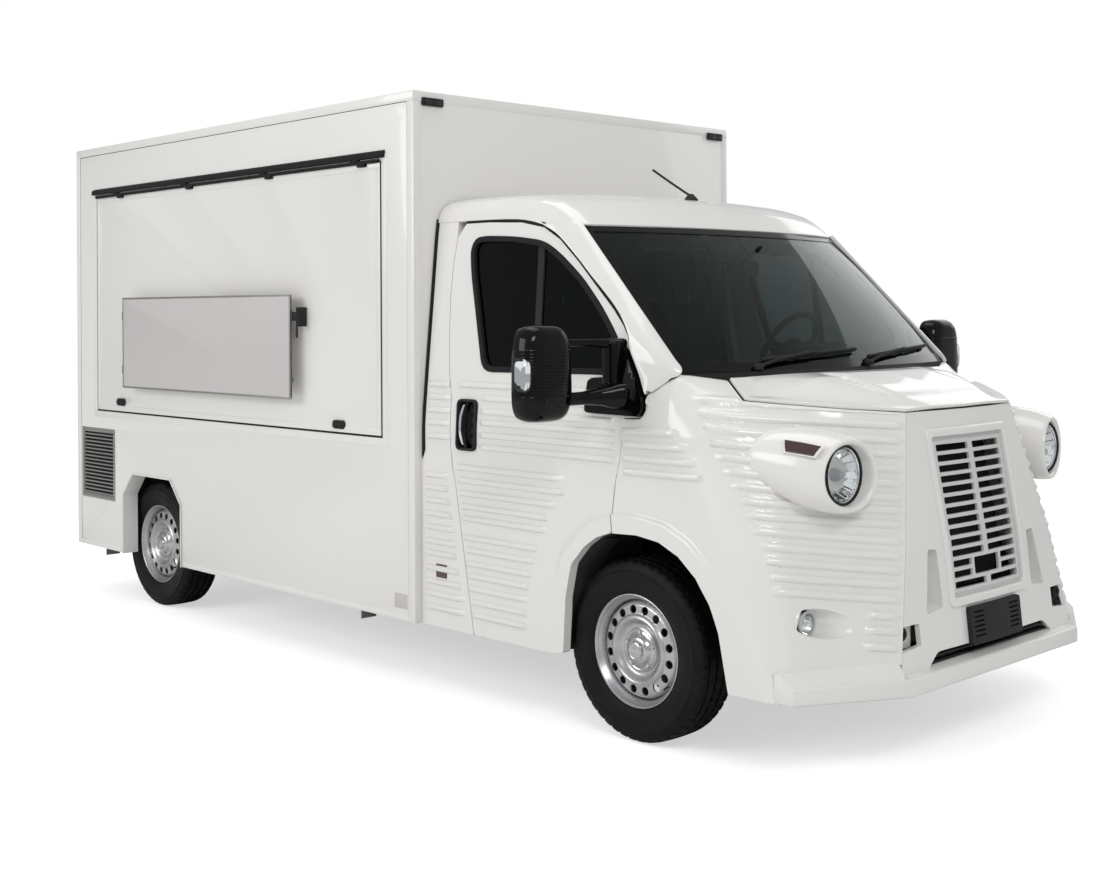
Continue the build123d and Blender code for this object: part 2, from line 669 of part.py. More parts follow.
def hatch_knuckles(radius, fixed):
    """Hinge knuckles along the top of the hatch, on the left side of the frame."""
    pieces = []
    for share in HATCH_KNUCKLE_SHARES:
        x = HATCH_X0 + share * (HATCH_X1 - HATCH_X0)
        if fixed:
            pieces.append(rod_x(HATCH_AXIS_Y, HATCH_AXIS_Z, x, x + HATCH_KNUCKLE, radius))
            pieces.append(block(x, x + HATCH_KNUCKLE / 2 - SEAM, BOX_HALF, HATCH_AXIS_Y + radius,
                                HATCH_AXIS_Z,
                                HATCH_AXIS_Z + STRIP_HEIGHT))
        else:
            x0 = x + HATCH_KNUCKLE / 2
            eye = rod_x(HATCH_AXIS_Y, HATCH_AXIS_Z, x0, x + HATCH_KNUCKLE, HATCH_EYE_RADIUS)
            eye = eye + block(x0, x + HATCH_KNUCKLE, BOX_HALF, HATCH_AXIS_Y + HATCH_EYE_RADIUS,
                              HATCH_AXIS_Z - STRIP_HEIGHT, HATCH_AXIS_Z)
            pieces.append(eye - rod_x(HATCH_AXIS_Y, HATCH_AXIS_Z, x0 - OVERRUN, x + HATCH_KNUCKLE + OVERRUN,
                                      HATCH_PIN_RADIUS + RUNNING_CLEARANCE))
    return pieces


def hatch_wall():
    """The serving side, drawn on the left: hatch opening, vent opening and the strip over the hatch."""
    wall = side_wall()
    wall = wall - block(HATCH_X0, HATCH_X1, BOX_INNER - OVERRUN, BOX_HALF + OVERRUN, HATCH_BOTTOM,
                        HATCH_AXIS_Z)
    wall = wall - block(VENT_X0, VENT_X1, BOX_INNER - OVERRUN, BOX_HALF + OVERRUN, VENT_BOTTOM, VENT_TOP)
    strip = block(HATCH_X0 - STRIP_DEPTH, HATCH_X1 + STRIP_DEPTH, BOX_HALF, BOX_HALF + STRIP_DEPTH,
                  HATCH_AXIS_Z + HATCH_STRIP_RISE, HATCH_AXIS_Z + HATCH_STRIP_RISE + STRIP_HEIGHT)
    return joined([wall, strip] + hatch_knuckles(HATCH_PIN_RADIUS, True))


def hatch_panel():
    panel = block(HATCH_X0 + MOVING_GAP, HATCH_X1 - MOVING_GAP, BOX_INNER, BOX_HALF,
                  HATCH_BOTTOM + MOVING_GAP, HATCH_TOP)
    return joined([panel] + hatch_knuckles(HATCH_PIN_RADIUS, False))


def sign_board():
    """The blank board on the hatch, on four short posts."""
    x1 = BOX_FRONT_X - HATCH_FRONT - SIGN_FROM_FRONT
    x0 = x1 - SIGN_LENGTH
    y0 = BOX_HALF + SIGN_STANDOFF
    board = block(x0, x1, y0, y0 + SIGN_THICKNESS, SIGN_BOTTOM, SIGN_BOTTOM + SIGN_HEIGHT)
    posts = []
    for x in (x0 + SIGN_INSET, x1 - SIGN_INSET):
        for z in (SIGN_BOTTOM + SIGN_INSET, SIGN_BOTTOM + SIGN_HEIGHT - SIGN_INSET):
            posts.append(rod_y(x, z, BOX_HALF, y0, SIGN_POST / 2))
    return joined([board] + posts)


def vent():
    """An aluminium louvre: a frame with sloping slats."""
    y0 = BOX_HALF - VENT_DEPTH
    frame = block(VENT_X0, VENT_X1, y0, BOX_HALF, VENT_BOTTOM, VENT_TOP)
    frame = frame - block(VENT_X0 + VENT_FRAME, VENT_X1 - VENT_FRAME, y0 - OVERRUN, BOX_HALF + OVERRUN,
                          VENT_BOTTOM + VENT_FRAME, VENT_TOP - VENT_FRAME)
    pitch = (VENT_HEIGHT - 2 * VENT_FRAME) / VENT_SLATS
    slats = []
    for index in range(VENT_SLATS):
        z = VENT_BOTTOM + VENT_FRAME + index * pitch
        low, middle, high = [z + pitch * share for share in VENT_SLAT_SHARES]
        slat = front_prism(((y0, middle), (y0, high), (BOX_HALF, middle), (BOX_HALF, low)),
                           VENT_X0 + VENT_FRAME, VENT_X1 - VENT_FRAME)
        slats.append(slat)
    return joined([frame] + slats)


def box_floor():
    """The floor panel with the two wheel boxes."""
    x0 = BOX_REAR_X + BOX_WALL
    x1 = BOX_FRONT_X - BOX_WALL
    floor = block(x0, x1, -BOX_INNER, BOX_INNER, FLOOR_TOP - FLOOR_THICKNESS, FLOOR_TOP)
    wide = TYRE_RADIUS + WHEEL_BOX_GAP
    inner = REAR_TRACK / 2 - TYRE_WIDTH / 2 - WHEEL_BOX_GAP
    outer = block(REAR_AXLE_X - wide - WHEEL_BOX_SHEET, REAR_AXLE_X + wide + WHEEL_BOX_SHEET,
                  inner - WHEEL_BOX_SHEET,
                  BOX_INNER, FLOOR_TOP - FLOOR_THICKNESS, 2 * TYRE_RADIUS + WHEEL_BOX_GAP + WHEEL_BOX_SHEET)
    hollow = block(REAR_AXLE_X - wide, REAR_AXLE_X + wide, inner, BOX_INNER + OVERRUN,
                   FLOOR_TOP - FLOOR_THICKNESS - OVERRUN, 2 * TYRE_RADIUS + WHEEL_BOX_GAP)
    return floor + outer + other_side(outer) - hollow - other_side(hollow)


def rear_hinges(moving):
    """Outside hinges on the right edge of the rear door, as an alternating eye and pin."""
    pieces = []
    for share in REAR_HINGE_SHARES:
        z = REAR_DOOR_SILL + share * REAR_DOOR_HEIGHT
        barrel = REAR_PIN_RADIUS * 2
        if moving:
            z0, z1, y0, y1 = z, z + REAR_HINGE_LENGTH / 2, -REAR_AXIS_Y, -REAR_AXIS_Y + REAR_HINGE_LENGTH
            leaf = block(BOX_REAR_X - HINGE_LEAF, BOX_REAR_X, y0 + MOVING_GAP, y1, z0, z1)
        else:
            z0 = z - REAR_HINGE_LENGTH / 2
            z1 = z - RUNNING_CLEARANCE
            y0 = -REAR_AXIS_Y - REAR_HINGE_LENGTH
            y1 = -REAR_AXIS_Y
            leaf = block(BOX_REAR_X - HINGE_LEAF, BOX_REAR_X, y0, y1 - MOVING_GAP / 2, z0, z1)
        link = block(REAR_AXIS_X, BOX_REAR_X - HINGE_LEAF / 2,
                     -REAR_AXIS_Y - barrel if not moving else -REAR_AXIS_Y,
                     -REAR_AXIS_Y if not moving else -REAR_AXIS_Y + MOVING_GAP + HINGE_LEAF, z0, z1)
        eye = rod_z(REAR_AXIS_X, -REAR_AXIS_Y, z0, z1, barrel)
        if moving:
            pin_hole = rod_z(REAR_AXIS_X, -REAR_AXIS_Y, z0 - OVERRUN, z1 + OVERRUN,
                             REAR_PIN_RADIUS + RUNNING_CLEARANCE)
            pieces.append(leaf + link + eye - pin_hole)
        else:
            pin = rod_z(REAR_AXIS_X, -REAR_AXIS_Y, z0, z + REAR_HINGE_LENGTH / 2, REAR_PIN_RADIUS)
            pieces.append(leaf + link + eye + pin)
    return pieces


def rear_wall():
    wall = block(BOX_REAR_X, BOX_REAR_X + BOX_WALL, -BOX_INNER, BOX_INNER, BOX_BOTTOM, WALL_TOP)
    wall = wall - block(BOX_REAR_X - OVERRUN, BOX_REAR_X + BOX_WALL + OVERRUN, -REAR_DOOR_HALF,
                        REAR_DOOR_HALF,
                        REAR_DOOR_SILL, REAR_DOOR_TOP)
    return joined([wall] + rear_hinges(False))


def rear_door():
    door = block(BOX_REAR_X, BOX_REAR_X + BOX_WALL, -REAR_DOOR_HALF + MOVING_GAP,
                 REAR_DOOR_HALF - MOVING_GAP,
                 REAR_DOOR_SILL + MOVING_GAP, REAR_DOOR_TOP - MOVING_GAP)
    z = (REAR_DOOR_SILL + REAR_DOOR_TOP) / 2
    y = REAR_DOOR_HALF - REAR_HANDLE_LENGTH / 2
    handle = block(BOX_REAR_X - REAR_HANDLE_WIDTH, BOX_REAR_X, y - REAR_HANDLE_WIDTH / 2,
                   y + REAR_HANDLE_WIDTH / 2,
                   z - REAR_HANDLE_LENGTH / 2, z + REAR_HANDLE_LENGTH / 2)
    return joined([door, handle] + rear_hinges(True))


def rear_lamps():
    y1 = BOX_HALF - LAMP_INSET
    lamp = block(BOX_REAR_X - LAMP_DEPTH, BOX_REAR_X, y1 - LAMP_WIDTH, y1, LAMP_BOTTOM,
                 LAMP_BOTTOM + LAMP_HEIGHT)
    return both(lamp)


def rear_bumper():
    beam = block(REAR_X, REAR_X + REAR_BUMPER_DEPTH, -REAR_BUMPER_LENGTH / 2, REAR_BUMPER_LENGTH / 2,
                 REAR_BUMPER_Z, REAR_BUMPER_Z + REAR_BUMPER_HEIGHT)
    bracket = block(REAR_X + REAR_BUMPER_DEPTH, BOX_REAR_X, RAIL_HALF - RAIL_WIDTH, RAIL_HALF,
                    REAR_BUMPER_Z, REAR_BUMPER_Z + REAR_BUMPER_HEIGHT)
    return joined([beam] + both(bracket))


def serving_counter():
    """A worktop under the hatch with its cabinet, drawn on the left."""
    x0 = HATCH_X0
    x1 = HATCH_X1
    y0 = BOX_INNER - COUNTER_DEPTH
    top = block(x0, x1, y0, BOX_INNER, COUNTER_TOP - COUNTER_SHEET, COUNTER_TOP)
    cabinet_x0 = REAR_AXLE_X + TYRE_RADIUS + WHEEL_BOX_GAP + WHEEL_BOX_SHEET + CABINET_SETBACK
    cabinet = front_prism(((y0 + CABINET_SETBACK, COUNTER_TOP - COUNTER_SHEET),
                           (BOX_INNER, COUNTER_TOP - COUNTER_SHEET),
                           (BOX_INNER, FLOOR_TOP), (y0 + CABINET_TOE, FLOOR_TOP),
                           (y0 + CABINET_TOE, FLOOR_TOP + CABINET_TOE),
                           (y0 + CABINET_SETBACK, FLOOR_TOP + CABINET_TOE)),
                          cabinet_x0, x1 - CABINET_END_GAP)
    return top + cabinet


# Cab body
def front_section(row, inset):
    """One closed plan section of the front body, inset by a thickness."""
    z_share, rear, fold, nose, prow = row
    side = [(cab_x(rear[0]), cab_y(rear[1]) - inset), (cab_x(fold[0]) - inset / 2, cab_y(fold[1]) - inset),
            (cab_x(nose[0]) - inset, cab_y(nose[1]) - inset / 2), (cab_x(prow[0]) - inset, 0)]
    right = [(x, -y) for x, y in side[-2::-1]]
    return Plane.XY.offset(cab_z(z_share)) * outline(side + right)


def front_body(inset=0):
    return loft([front_section(row, inset) for row in FRONT_SECTION_SHARES], ruled=True)


def front_shell():
    """The front body as a skin, open below and behind."""
    body = front_body() - front_body(CAB_SKIN) + roof_of_front()
    return body


def roof_of_front():
    """The lid of the front body is as thick as its skin."""
    z1 = cab_z(FRONT_SECTION_SHARES[-1][0])
    return front_body() & block(cab_x(0), cab_x(1), -CAB_HALF, CAB_HALF, z1 - CAB_SKIN, z1)


def greenhouse(inset=0):
    """The cab above its waist: cross section, roof profile and a bowed, sloping screen."""
    half = cab_y(WAIST_CORNER_SHARES[1])
    waist = cab_z(WAIST_SHARE)
    drop = cab_z(1) - waist
    base_x = cab_x(WAIST_CORNER_SHARES[0]) - inset * 2
    rear = cab_x(0) - OVERRUN - drop
    bow = ThreePointArc((base_x - SCREEN_BOW, half * SCREEN_SPREAD), (base_x + SCREEN_BOW, 0),
                        (base_x - SCREEN_BOW, -half * SCREEN_SPREAD))
    back = Polyline((base_x - SCREEN_BOW, -half * SCREEN_SPREAD), (rear, -half * SCREEN_SPREAD),
                    (rear, half * SCREEN_SPREAD),
                    (base_x - SCREEN_BOW, half * SCREEN_SPREAD))
    plan = Plane.XY.offset(waist - drop) * make_face([bow, back])
    plan = Pos(drop / tan(radians(SCREEN_SLOPE)), 0, 0) * plan
    reach = 2 * drop / sin(radians(SCREEN_SLOPE))
    screen = extrude(plan, amount=reach, dir=(-cos(radians(SCREEN_SLOPE)), 0, sin(radians(SCREEN_SLOPE))))
    left = [(cab_y(y) - inset, cab_z(z) - (inset if y < SHOULDER_SHARE else 0))
            for y, z in CAB_SECTION_SHARES[:-1]]
    crown = (0, cab_z(CAB_SECTION_SHARES[-1][1]) - inset)
    section = left + [crown] + [(-y, z) for y, z in reversed(left)]
    across = front_prism(section, cab_x(0), cab_x(1))
    roof = [(cab_x(x), cab_z(z) - inset) for x, z in ROOF_PROFILE_SHARES]
    side = [(cab_x(0), cab_z(SIDE_BOTTOM_SHARE))] + roof + [(roof[-1][0], cab_z(SIDE_BOTTOM_SHARE))]
    along = side_prism(side, -CAB_HALF, CAB_HALF)
    return screen & across & along


def share_points(shares):
    return [(cab_x(x), cab_z(z)) for x, z in shares]


def grown(points, amount, y0, y1):
    """A side outline made larger all round, for a cut with a gap."""
    face = Plane.XZ.offset(-y1) * offset(outline(points), amount=amount, kind=Kind.INTERSECTION)
    return extrude(face, amount=y1 - y0)


def arch_cut(inset=0):
    """The opening for the left front wheel, with room inside for it to steer."""
    x = FRONT_AXLE_X + FRONT_ARCH_AHEAD
    z = TYRE_RADIUS + FRONT_ARCH_RISE
    radius = FRONT_ARCH_RADIUS - inset
    top = rod_y(x, z, CAB_HALF - FRONT_ARCH_DEPTH, CAB_HALF + OVERRUN, radius)
    low = block(x - radius, x + radius, CAB_HALF - FRONT_ARCH_DEPTH, CAB_HALF + OVERRUN,
                BOX_BOTTOM - 2 * OVERRUN, z)
    return top + low


def ribs(top, count, x0, x1):
    """Half-round horizontal ribs on the left kit panels."""
    return [rod_x(CAB_HALF, top - index * RIB_PITCH, x0, x1, RIB_HEIGHT) for index in range(count)]


DOOR_AXIS_X = cab_x(DOOR_AXIS_SHARE)


def door_strap(z):
    """The moving half of a door hinge: an eye on a gooseneck behind the wing."""
    x = DOOR_AXIS_X
    y = DOOR_AXIS_Y
    z0 = z + RUNNING_CLEARANCE
    z1 = z + DOOR_HINGE_LENGTH / 2
    neck = block(x - DOOR_BARREL_RADIUS, x + DOOR_BARREL_RADIUS, y - GOOSENECK_DEPTH, y, z0, z1)
    leg = block(x - GOOSENECK_REACH, x + DOOR_BARREL_RADIUS, y - GOOSENECK_DEPTH,
                y - GOOSENECK_DEPTH + GOOSENECK_SHEET, z0, z1)
    foot = block(x - GOOSENECK_REACH, x - GOOSENECK_REACH + GOOSENECK_SHEET, y - GOOSENECK_DEPTH,
                 CAB_HALF - CAB_PANEL / 2, z0, z1)
    eye = rod_z(x, y, z0, z1, DOOR_BARREL_RADIUS)
    return joined([neck, leg, foot, eye]) - rod_z(x, y, z - OVERRUN, z1 + OVERRUN,
                                                  DOOR_PIN_RADIUS + RUNNING_CLEARANCE)


def door_bracket(z):
    """The fixed half of a door hinge, with its pin, on the hinge post."""
    x = DOOR_AXIS_X
    y = DOOR_AXIS_Y
    z0 = z - DOOR_HINGE_LENGTH / 2
    arm = block(x - DOOR_BARREL_RADIUS, x + DOOR_BARREL_RADIUS, POST_OUTER - SEAM, y, z0, z)
    eye = rod_z(x, y, z0, z, DOOR_BARREL_RADIUS)
    pin = rod_z(x, y, z0, z + DOOR_HINGE_LENGTH / 2, DOOR_PIN_RADIUS)
    return joined([arm, eye, pin])


def lower_panel(points):
    return side_prism(points, CAB_HALF - CAB_PANEL, CAB_HALF)


def door():
    """The left door: a thick ribbed lower panel and a window frame in the greenhouse wall."""
    lower = lower_panel(share_points(DOOR_LOWER_SHARES))
    for rib in ribs(RIB_UPPER_TOP, RIB_UPPER_COUNT, cab_x(0), cab_x(1)):
        lower = lower + (rib & side_prism(share_points(DOOR_LOWER_SHARES), CAB_HALF - SEAM,
                                          CAB_HALF + RIB_HEIGHT))
    for rib in ribs(RIB_LOWER_TOP, RIB_LOWER_COUNT, cab_x(0), cab_x(1)):
        lower = lower + (rib & side_prism(share_points(DOOR_LOWER_SHARES), CAB_HALF - SEAM,
                                          CAB_HALF + RIB_HEIGHT))
    lower = lower - arch_cut(-MOVING_GAP / 2) - wheel_sweep() - mirror_base()
    skin = greenhouse() - greenhouse(CAB_WALL)
    upper = skin & side_prism(share_points(DOOR_UPPER_SHARES), 0, CAB_HALF)
    upper = upper - side_prism(share_points(DOOR_WINDOW_SHARES), 0, CAB_HALF)
    shelf = block(cab_x(DOOR_UPPER_SHARES[0][0]), cab_x(DOOR_LOWER_SHARES[-1][0]), CAB_HALF - 2 * CAB_PANEL,
                  CAB_HALF - CAB_PANEL / 2, cab_z(WAIST_SHARE) - CAB_SKIN, cab_z(DOOR_LOWER_SHARES[0][1]))
    straps = [door_strap(z) for z in DOOR_HINGE_HEIGHTS]
    return joined([lower, shelf, upper] + straps)


def wheel_sweep():
    """The space inside the left side panels that the steered tyre turns through."""
    radius = sqrt(TYRE_RADIUS ** 2 + (KINGPIN_INSET + TYRE_WIDTH / 2) ** 2) + MOVING_GAP
    top = 2 * TYRE_RADIUS + WHEEL_BOX_GAP
    sweep = rod_z(FRONT_AXLE_X, KINGPIN_Y, 0, top, radius)
    return sweep & block(FRONT_AXLE_X - radius, FRONT_AXLE_X + radius, 0, CAB_HALF - CAB_SKIN, 0, top)


def door_glass():
    pane = greenhouse(GLASS_INSET) - greenhouse(GLASS_INSET + GLASS)
    pane = pane & side_prism(share_points(DOOR_WINDOW_SHARES), cab_y(ROOF_EDGE_SHARE) / 2, CAB_HALF)
    return pane


def cab_side():
    """The left panel behind the door, ribbed below and leaning in above the waist."""
    x0 = cab_x(0)
    door_points = share_points(DOOR_LOWER_SHARES)
    rear_edge = [point for point in door_points[:4]]
    outline_points = [(x0, cab_z(SILL_SHARE)), (x0, cab_z(WAIST_SHARE))] + rear_edge
    lower = lower_panel(outline_points)
    for top, count in ((RIB_UPPER_TOP, RIB_UPPER_COUNT), (RIB_LOWER_TOP, RIB_LOWER_COUNT)):
        for rib in ribs(top, count, x0, cab_x(1)):
            lower = lower + (rib & side_prism(outline_points, CAB_HALF - SEAM, CAB_HALF + RIB_HEIGHT))
    skin = greenhouse() - greenhouse(CAB_WALL)
    upper_points = [(x0, cab_z(WAIST_SHARE) - CAB_SKIN), (x0, cab_z(ROOF_EDGE_SHARE)),
                    (cab_x(DOOR_UPPER_SHARES[1][0]), cab_z(ROOF_EDGE_SHARE)),
                    (cab_x(DOOR_UPPER_SHARES[0][0]), cab_z(WAIST_SHARE) - CAB_SKIN)]
    upper = skin & side_prism(upper_points, 0, CAB_HALF)
    shelf = block(x0, rear_edge[0][0] - CAB_SEAM_GAP, CAB_HALF - 2 * CAB_PANEL, CAB_HALF - CAB_PANEL / 2,
                  cab_z(WAIST_SHARE) - CAB_SKIN, cab_z(WAIST_SHARE))
    return joined([lower, shelf, upper]) - door_region(CAB_SEAM_GAP)


def screen_opening(y0_growth=0):
    """The windscreen's outline seen from the front."""
    top = cab_z(SCREEN_TOP_SHARE)
    bottom = cab_z(SCREEN_BOTTOM_SHARE)
    wide = SCREEN_HALF_BOTTOM + y0_growth
    narrow = SCREEN_HALF_TOP + y0_growth
    points = ((-wide, bottom - y0_growth), (wide, bottom - y0_growth), (narrow, top + y0_growth),
              (-narrow, top + y0_growth))
    return front_prism(points, cab_x(SCREEN_REAR_SHARE), cab_x(1))


def windscreen():
    pane = greenhouse(GLASS_INSET) - greenhouse(GLASS_INSET + GLASS)
    return pane & screen_opening()


def cab_roof():
    """The roof with its gutters and the header over the screen."""
    skin = greenhouse() - greenhouse(CAB_WALL)
    z0 = cab_z(ROOF_EDGE_SHARE)
    roof = skin & block(cab_x(0), cab_x(1), -CAB_HALF, CAB_HALF, z0, cab_z(1))
    return roof - screen_opening()


def windscreen_frame():
    """The two screen pillars with their feet, the hinge posts and the cowl."""
    low = block(cab_x(0), cab_x(1), -CAB_HALF, CAB_HALF, 0, cab_z(SHOULDER_SHARES[-1][1]))
    high = block(cab_x(0), cab_x(1), -CAB_HALF, CAB_HALF, cab_z(ROOF_EDGE_SHARE), cab_z(1))
    behind = block(cab_x(0), cab_x(SCREEN_REAR_SHARE) - 2 * CAB_PANEL, -CAB_HALF, CAB_HALF, 0, cab_z(1))
    pillars = greenhouse() - greenhouse(CAB_WALL) - low - high - behind - screen_opening()
    pillars = pillars - (front_body() - shoulder_cut())
    pillars = pillars - block(cab_x(0), cab_x(1), -SCREEN_HALF_TOP, SCREEN_HALF_TOP, 0,
                              cab_z(SCREEN_BOTTOM_SHARE))
    region = door_region(CAB_SEAM_GAP)
    pillars = pillars - region - other_side(region)
    x = DOOR_AXIS_X
    post = block(x - POST_LENGTH / 2, x + POST_LENGTH, POST_OUTER - POST_DEPTH, POST_OUTER,
                 STRUT_TOP - 2 * CAB_PANEL,
                 cab_z(SCREEN_BOTTOM_SHARE) - SEAM)
    post = post - liner_form(LINER_RADIUS + LINER_SHEET)
    posts = both(joined([post] + [door_bracket(z) for z in DOOR_HINGE_HEIGHTS]))
    cowl_top = cab_z(WAIST_SHARE) - COWL_DROP + COWL_HEIGHT
    cowl = block(x + POST_LENGTH - COWL_LENGTH / 2, x + POST_LENGTH + COWL_LENGTH, -POST_OUTER, POST_OUTER,
                 cab_z(WAIST_SHARE) - COWL_DROP, cowl_top)
    cowl = cowl + block(x + POST_LENGTH, BONNET_AXIS_X + BONNET_BARREL_RADIUS, -COWL_HALF, COWL_HALF,
                        cab_z(WAIST_SHARE) - COWL_DROP, cowl_top)
    return joined([cowl, pillars] + posts + bonnet_brackets(cowl_top))


def liner_form(radius):
    """The half-round form over the left front wheel, from its inner wall to the panels."""
    x = FRONT_AXLE_X + LINER_AHEAD
    z = TYRE_RADIUS + FRONT_ARCH_RISE
    inner = CAB_HALF - FRONT_ARCH_DEPTH - (radius - LINER_RADIUS)
    outer = CAB_HALF - CAB_PANEL - MOVING_GAP
    arch = rod_y(x, z, inner, outer, radius) & block(x - radius, x + radius, inner, outer, z, z + radius)
    return arch + block(x - radius, x + radius, inner, outer, LINER_BOTTOM, z)


BONNET_AXIS_X = cab_x(BONNET_AXIS_SHARE)
BONNET_AXIS_Z = cab_z(WAIST_SHARE) - BONNET_AXIS_DROP


def bonnet_brackets(cowl_top):
    """The fixed eyes of the bonnet hinges, with their pins, on the cowl."""
    pieces = []
    for y in (BONNET_HINGE_Y, -BONNET_HINGE_Y - BONNET_HINGE_WIDTH):
        arm = block(BONNET_AXIS_X - BONNET_BARREL_RADIUS, BONNET_AXIS_X + BONNET_BARREL_RADIUS, y,
                    y + BONNET_HINGE_WIDTH / 2,
                    cowl_top - COWL_HEIGHT, BONNET_AXIS_Z)
        eye = rod_y(BONNET_AXIS_X, BONNET_AXIS_Z, y, y + BONNET_HINGE_WIDTH / 2, BONNET_BARREL_RADIUS)
        pin = rod_y(BONNET_AXIS_X, BONNET_AXIS_Z, y, y + BONNET_HINGE_WIDTH, BONNET_PIN_RADIUS)
        pieces.append(joined([arm, eye, pin]))
    return pieces


def bonnet_outline(grow):
    points = [(cab_x(x), cab_y(y)) for x, y in BONNET_SHARES]
    right = [(x, -y) for x, y in reversed(points[1:])]
    face = offset(outline(points + right), amount=grow, kind=Kind.INTERSECTION)
    z0 = cab_z(FRONT_SECTION_SHARES[2][0])
    return extrude(Plane.XY.offset(z0) * face, amount=cab_z(1) - z0)


def bonnet():
    panel = front_shell() & bonnet_outline(0)
    for y in (BONNET_HINGE_Y + BONNET_HINGE_WIDTH / 2 + RUNNING_CLEARANCE,
              -BONNET_HINGE_Y - BONNET_HINGE_WIDTH / 2 + RUNNING_CLEARANCE):
        strap = block(BONNET_AXIS_X - BONNET_BARREL_RADIUS, BONNET_AXIS_X + BONNET_HINGE_WIDTH, y,
                      y + BONNET_HINGE_WIDTH / 2 - RUNNING_CLEARANCE, BONNET_AXIS_Z - BONNET_BARREL_RADIUS,
                      cab_z(WAIST_SHARE) - CAB_SKIN / 2)
        strap = strap & (front_body() - bonnet_hole(y))
        panel = panel + strap
    return panel


def bonnet_hole(y):
    return rod_y(BONNET_AXIS_X, BONNET_AXIS_Z, y - OVERRUN, y + BONNET_HINGE_WIDTH,
                 BONNET_PIN_RADIUS + RUNNING_CLEARANCE)


def nose_outline(grow):
    (low_y, low_z), (high_y, high_z) = NOSE_SEAM_SHARES
    points = ((-cab_y(low_y) - grow, cab_z(low_z) - OVERRUN), (cab_y(low_y) + grow, cab_z(low_z) - OVERRUN),
              (cab_y(high_y) + grow, cab_z(high_z)), (-cab_y(high_y) - grow, cab_z(high_z)))
    return front_prism(points, cab_x(NOSE_REAR_SHARE), cab_x(1))


def nose_panel():
    """The middle of the nose, with the raised frame round the grille."""
    panel = (front_shell() & nose_outline(0)) - under_nose()
    x_top = cab_x(FRONT_SECTION_SHARES[2][4][0])
    x_low = cab_x(FRONT_SECTION_SHARES[1][4][0])
    z_top = cab_z(FRONT_SECTION_SHARES[2][0])
    z_low = cab_z(FRONT_SECTION_SHARES[1][0])
    slope = (x_low - x_top) / (z_top - z_low)

    def plane_x(z):
        return x_top + (z_top - z) * slope

    frame = side_prism(((plane_x(GRILLE_TOP) - CAB_SKIN, GRILLE_TOP),
                        (plane_x(GRILLE_TOP) + GRILLE_RAISE, GRILLE_TOP),
                        (plane_x(GRILLE_BOTTOM) + GRILLE_RAISE, GRILLE_BOTTOM),
                        (plane_x(GRILLE_BOTTOM) - CAB_SKIN, GRILLE_BOTTOM)),
                       -GRILLE_HALF, GRILLE_HALF)
    hole = block(cab_x(NOSE_REAR_SHARE), cab_x(1) + OVERRUN, -GRILLE_HALF + GRILLE_FRAME,
                 GRILLE_HALF - GRILLE_FRAME,
                 GRILLE_BOTTOM + GRILLE_FRAME, GRILLE_TOP - GRILLE_FRAME)
    return panel + frame - hole, plane_x


def grille(plane_x):
    """Horizontal slats with a rib up the middle, set back in the frame."""
    half = GRILLE_HALF - GRILLE_FRAME
    z0 = GRILLE_BOTTOM + GRILLE_FRAME
    z1 = GRILLE_TOP - GRILLE_FRAME
    pitch = (z1 - z0) / GRILLE_ROWS
    pieces = []
    for index in range(GRILLE_ROWS):
        z = z0 + (index + GRILLE_SLAT_SHARE / 2) * pitch
        x = plane_x(z)
        pieces.append(block(x - GRILLE_RECESS, x, -half, half, z, z + pitch * GRILLE_SLAT_SHARE))
    rib = side_prism(((plane_x(z1) - GRILLE_RECESS, z1), (plane_x(z1), z1), (plane_x(z0), z0),
                      (plane_x(z0) - GRILLE_RECESS, z0)),
                     -GRILLE_CENTRE / 2, GRILLE_CENTRE / 2)
    return joined([rib] + pieces)


def headlamp_pod():
    """The left nacelle, a tapered round pod pointing forward and a little outward."""
    cone = Cone(POD_RADIUS - POD_TAPER, POD_RADIUS, POD_LENGTH)
    pod = Pos(0, 0, -POD_LENGTH / 2) * cone
    return headlamp_place() * pod


def headlamp_place():
    place = Pos(FRONT_AXLE_X + HEADLAMP_AHEAD, HEADLAMP_Y, HEADLAMP_Z)
    return place * Rot(0, 0, POD_TOE_OUT) * Rot(0, 90, 0)


def wings():
    """The ribbed cheeks, from the door seam over the wheel to the nose seam, with the lamp pods."""
    shell = front_shell() - nose_outline(SEAM / 2) - bonnet_outline(MOVING_GAP)
    left = shell & block(cab_x(0), cab_x(1), 0, CAB_HALF, 0, cab_z(1))
    left = left - door_region(CAB_SEAM_GAP) - cowl_space() - shoulder_cut() - bumper() - under_nose()
    left = left + (headlamp_pod() - front_body(CAB_SKIN / 2))
    left = left - headlamp_place() * Pos(0, 0, -LENS_DEPTH) * Cylinder(HEADLAMP_RADIUS, 4 * LENS_DEPTH)
    left = left - arch_cut()
    rebate = front_body(WING_REAR_SHEET) & block(cab_x(REBATE_SHARE), DOOR_AXIS_X + POST_LENGTH / 2, 0,
                                                 CAB_HALF,
                                                 cab_z(SILL_SHARE), cab_z(FRONT_SECTION_SHARES[3][0]))
    left = left - rebate
    return both(max(left.solids(), key=lambda solid: solid.volume))


def cowl_space():
    """The open space behind the foot of the screen."""
    points = [(cab_x(x), cab_y(y)) for x, y in COWL_SHARES]
    right = [(x, -y) for x, y in points[-2::-1]]
    return plan_prism(points + right, cab_z(FRONT_SECTION_SHARES[2][0]) - COWL_DROP, cab_z(1))


def shoulder_cut():
    return side_prism(share_points(SHOULDER_SHARES), -CAB_HALF, CAB_HALF)


def under_nose():
    """What lies below the shelf's top, ahead of its swept ends."""
    front = FRONT_AXLE_X + FRONT_OVERHANG
    return block(front - BUMPER_SWEEP, front, -CAB_HALF, CAB_HALF, 0, BUMPER_TOP)


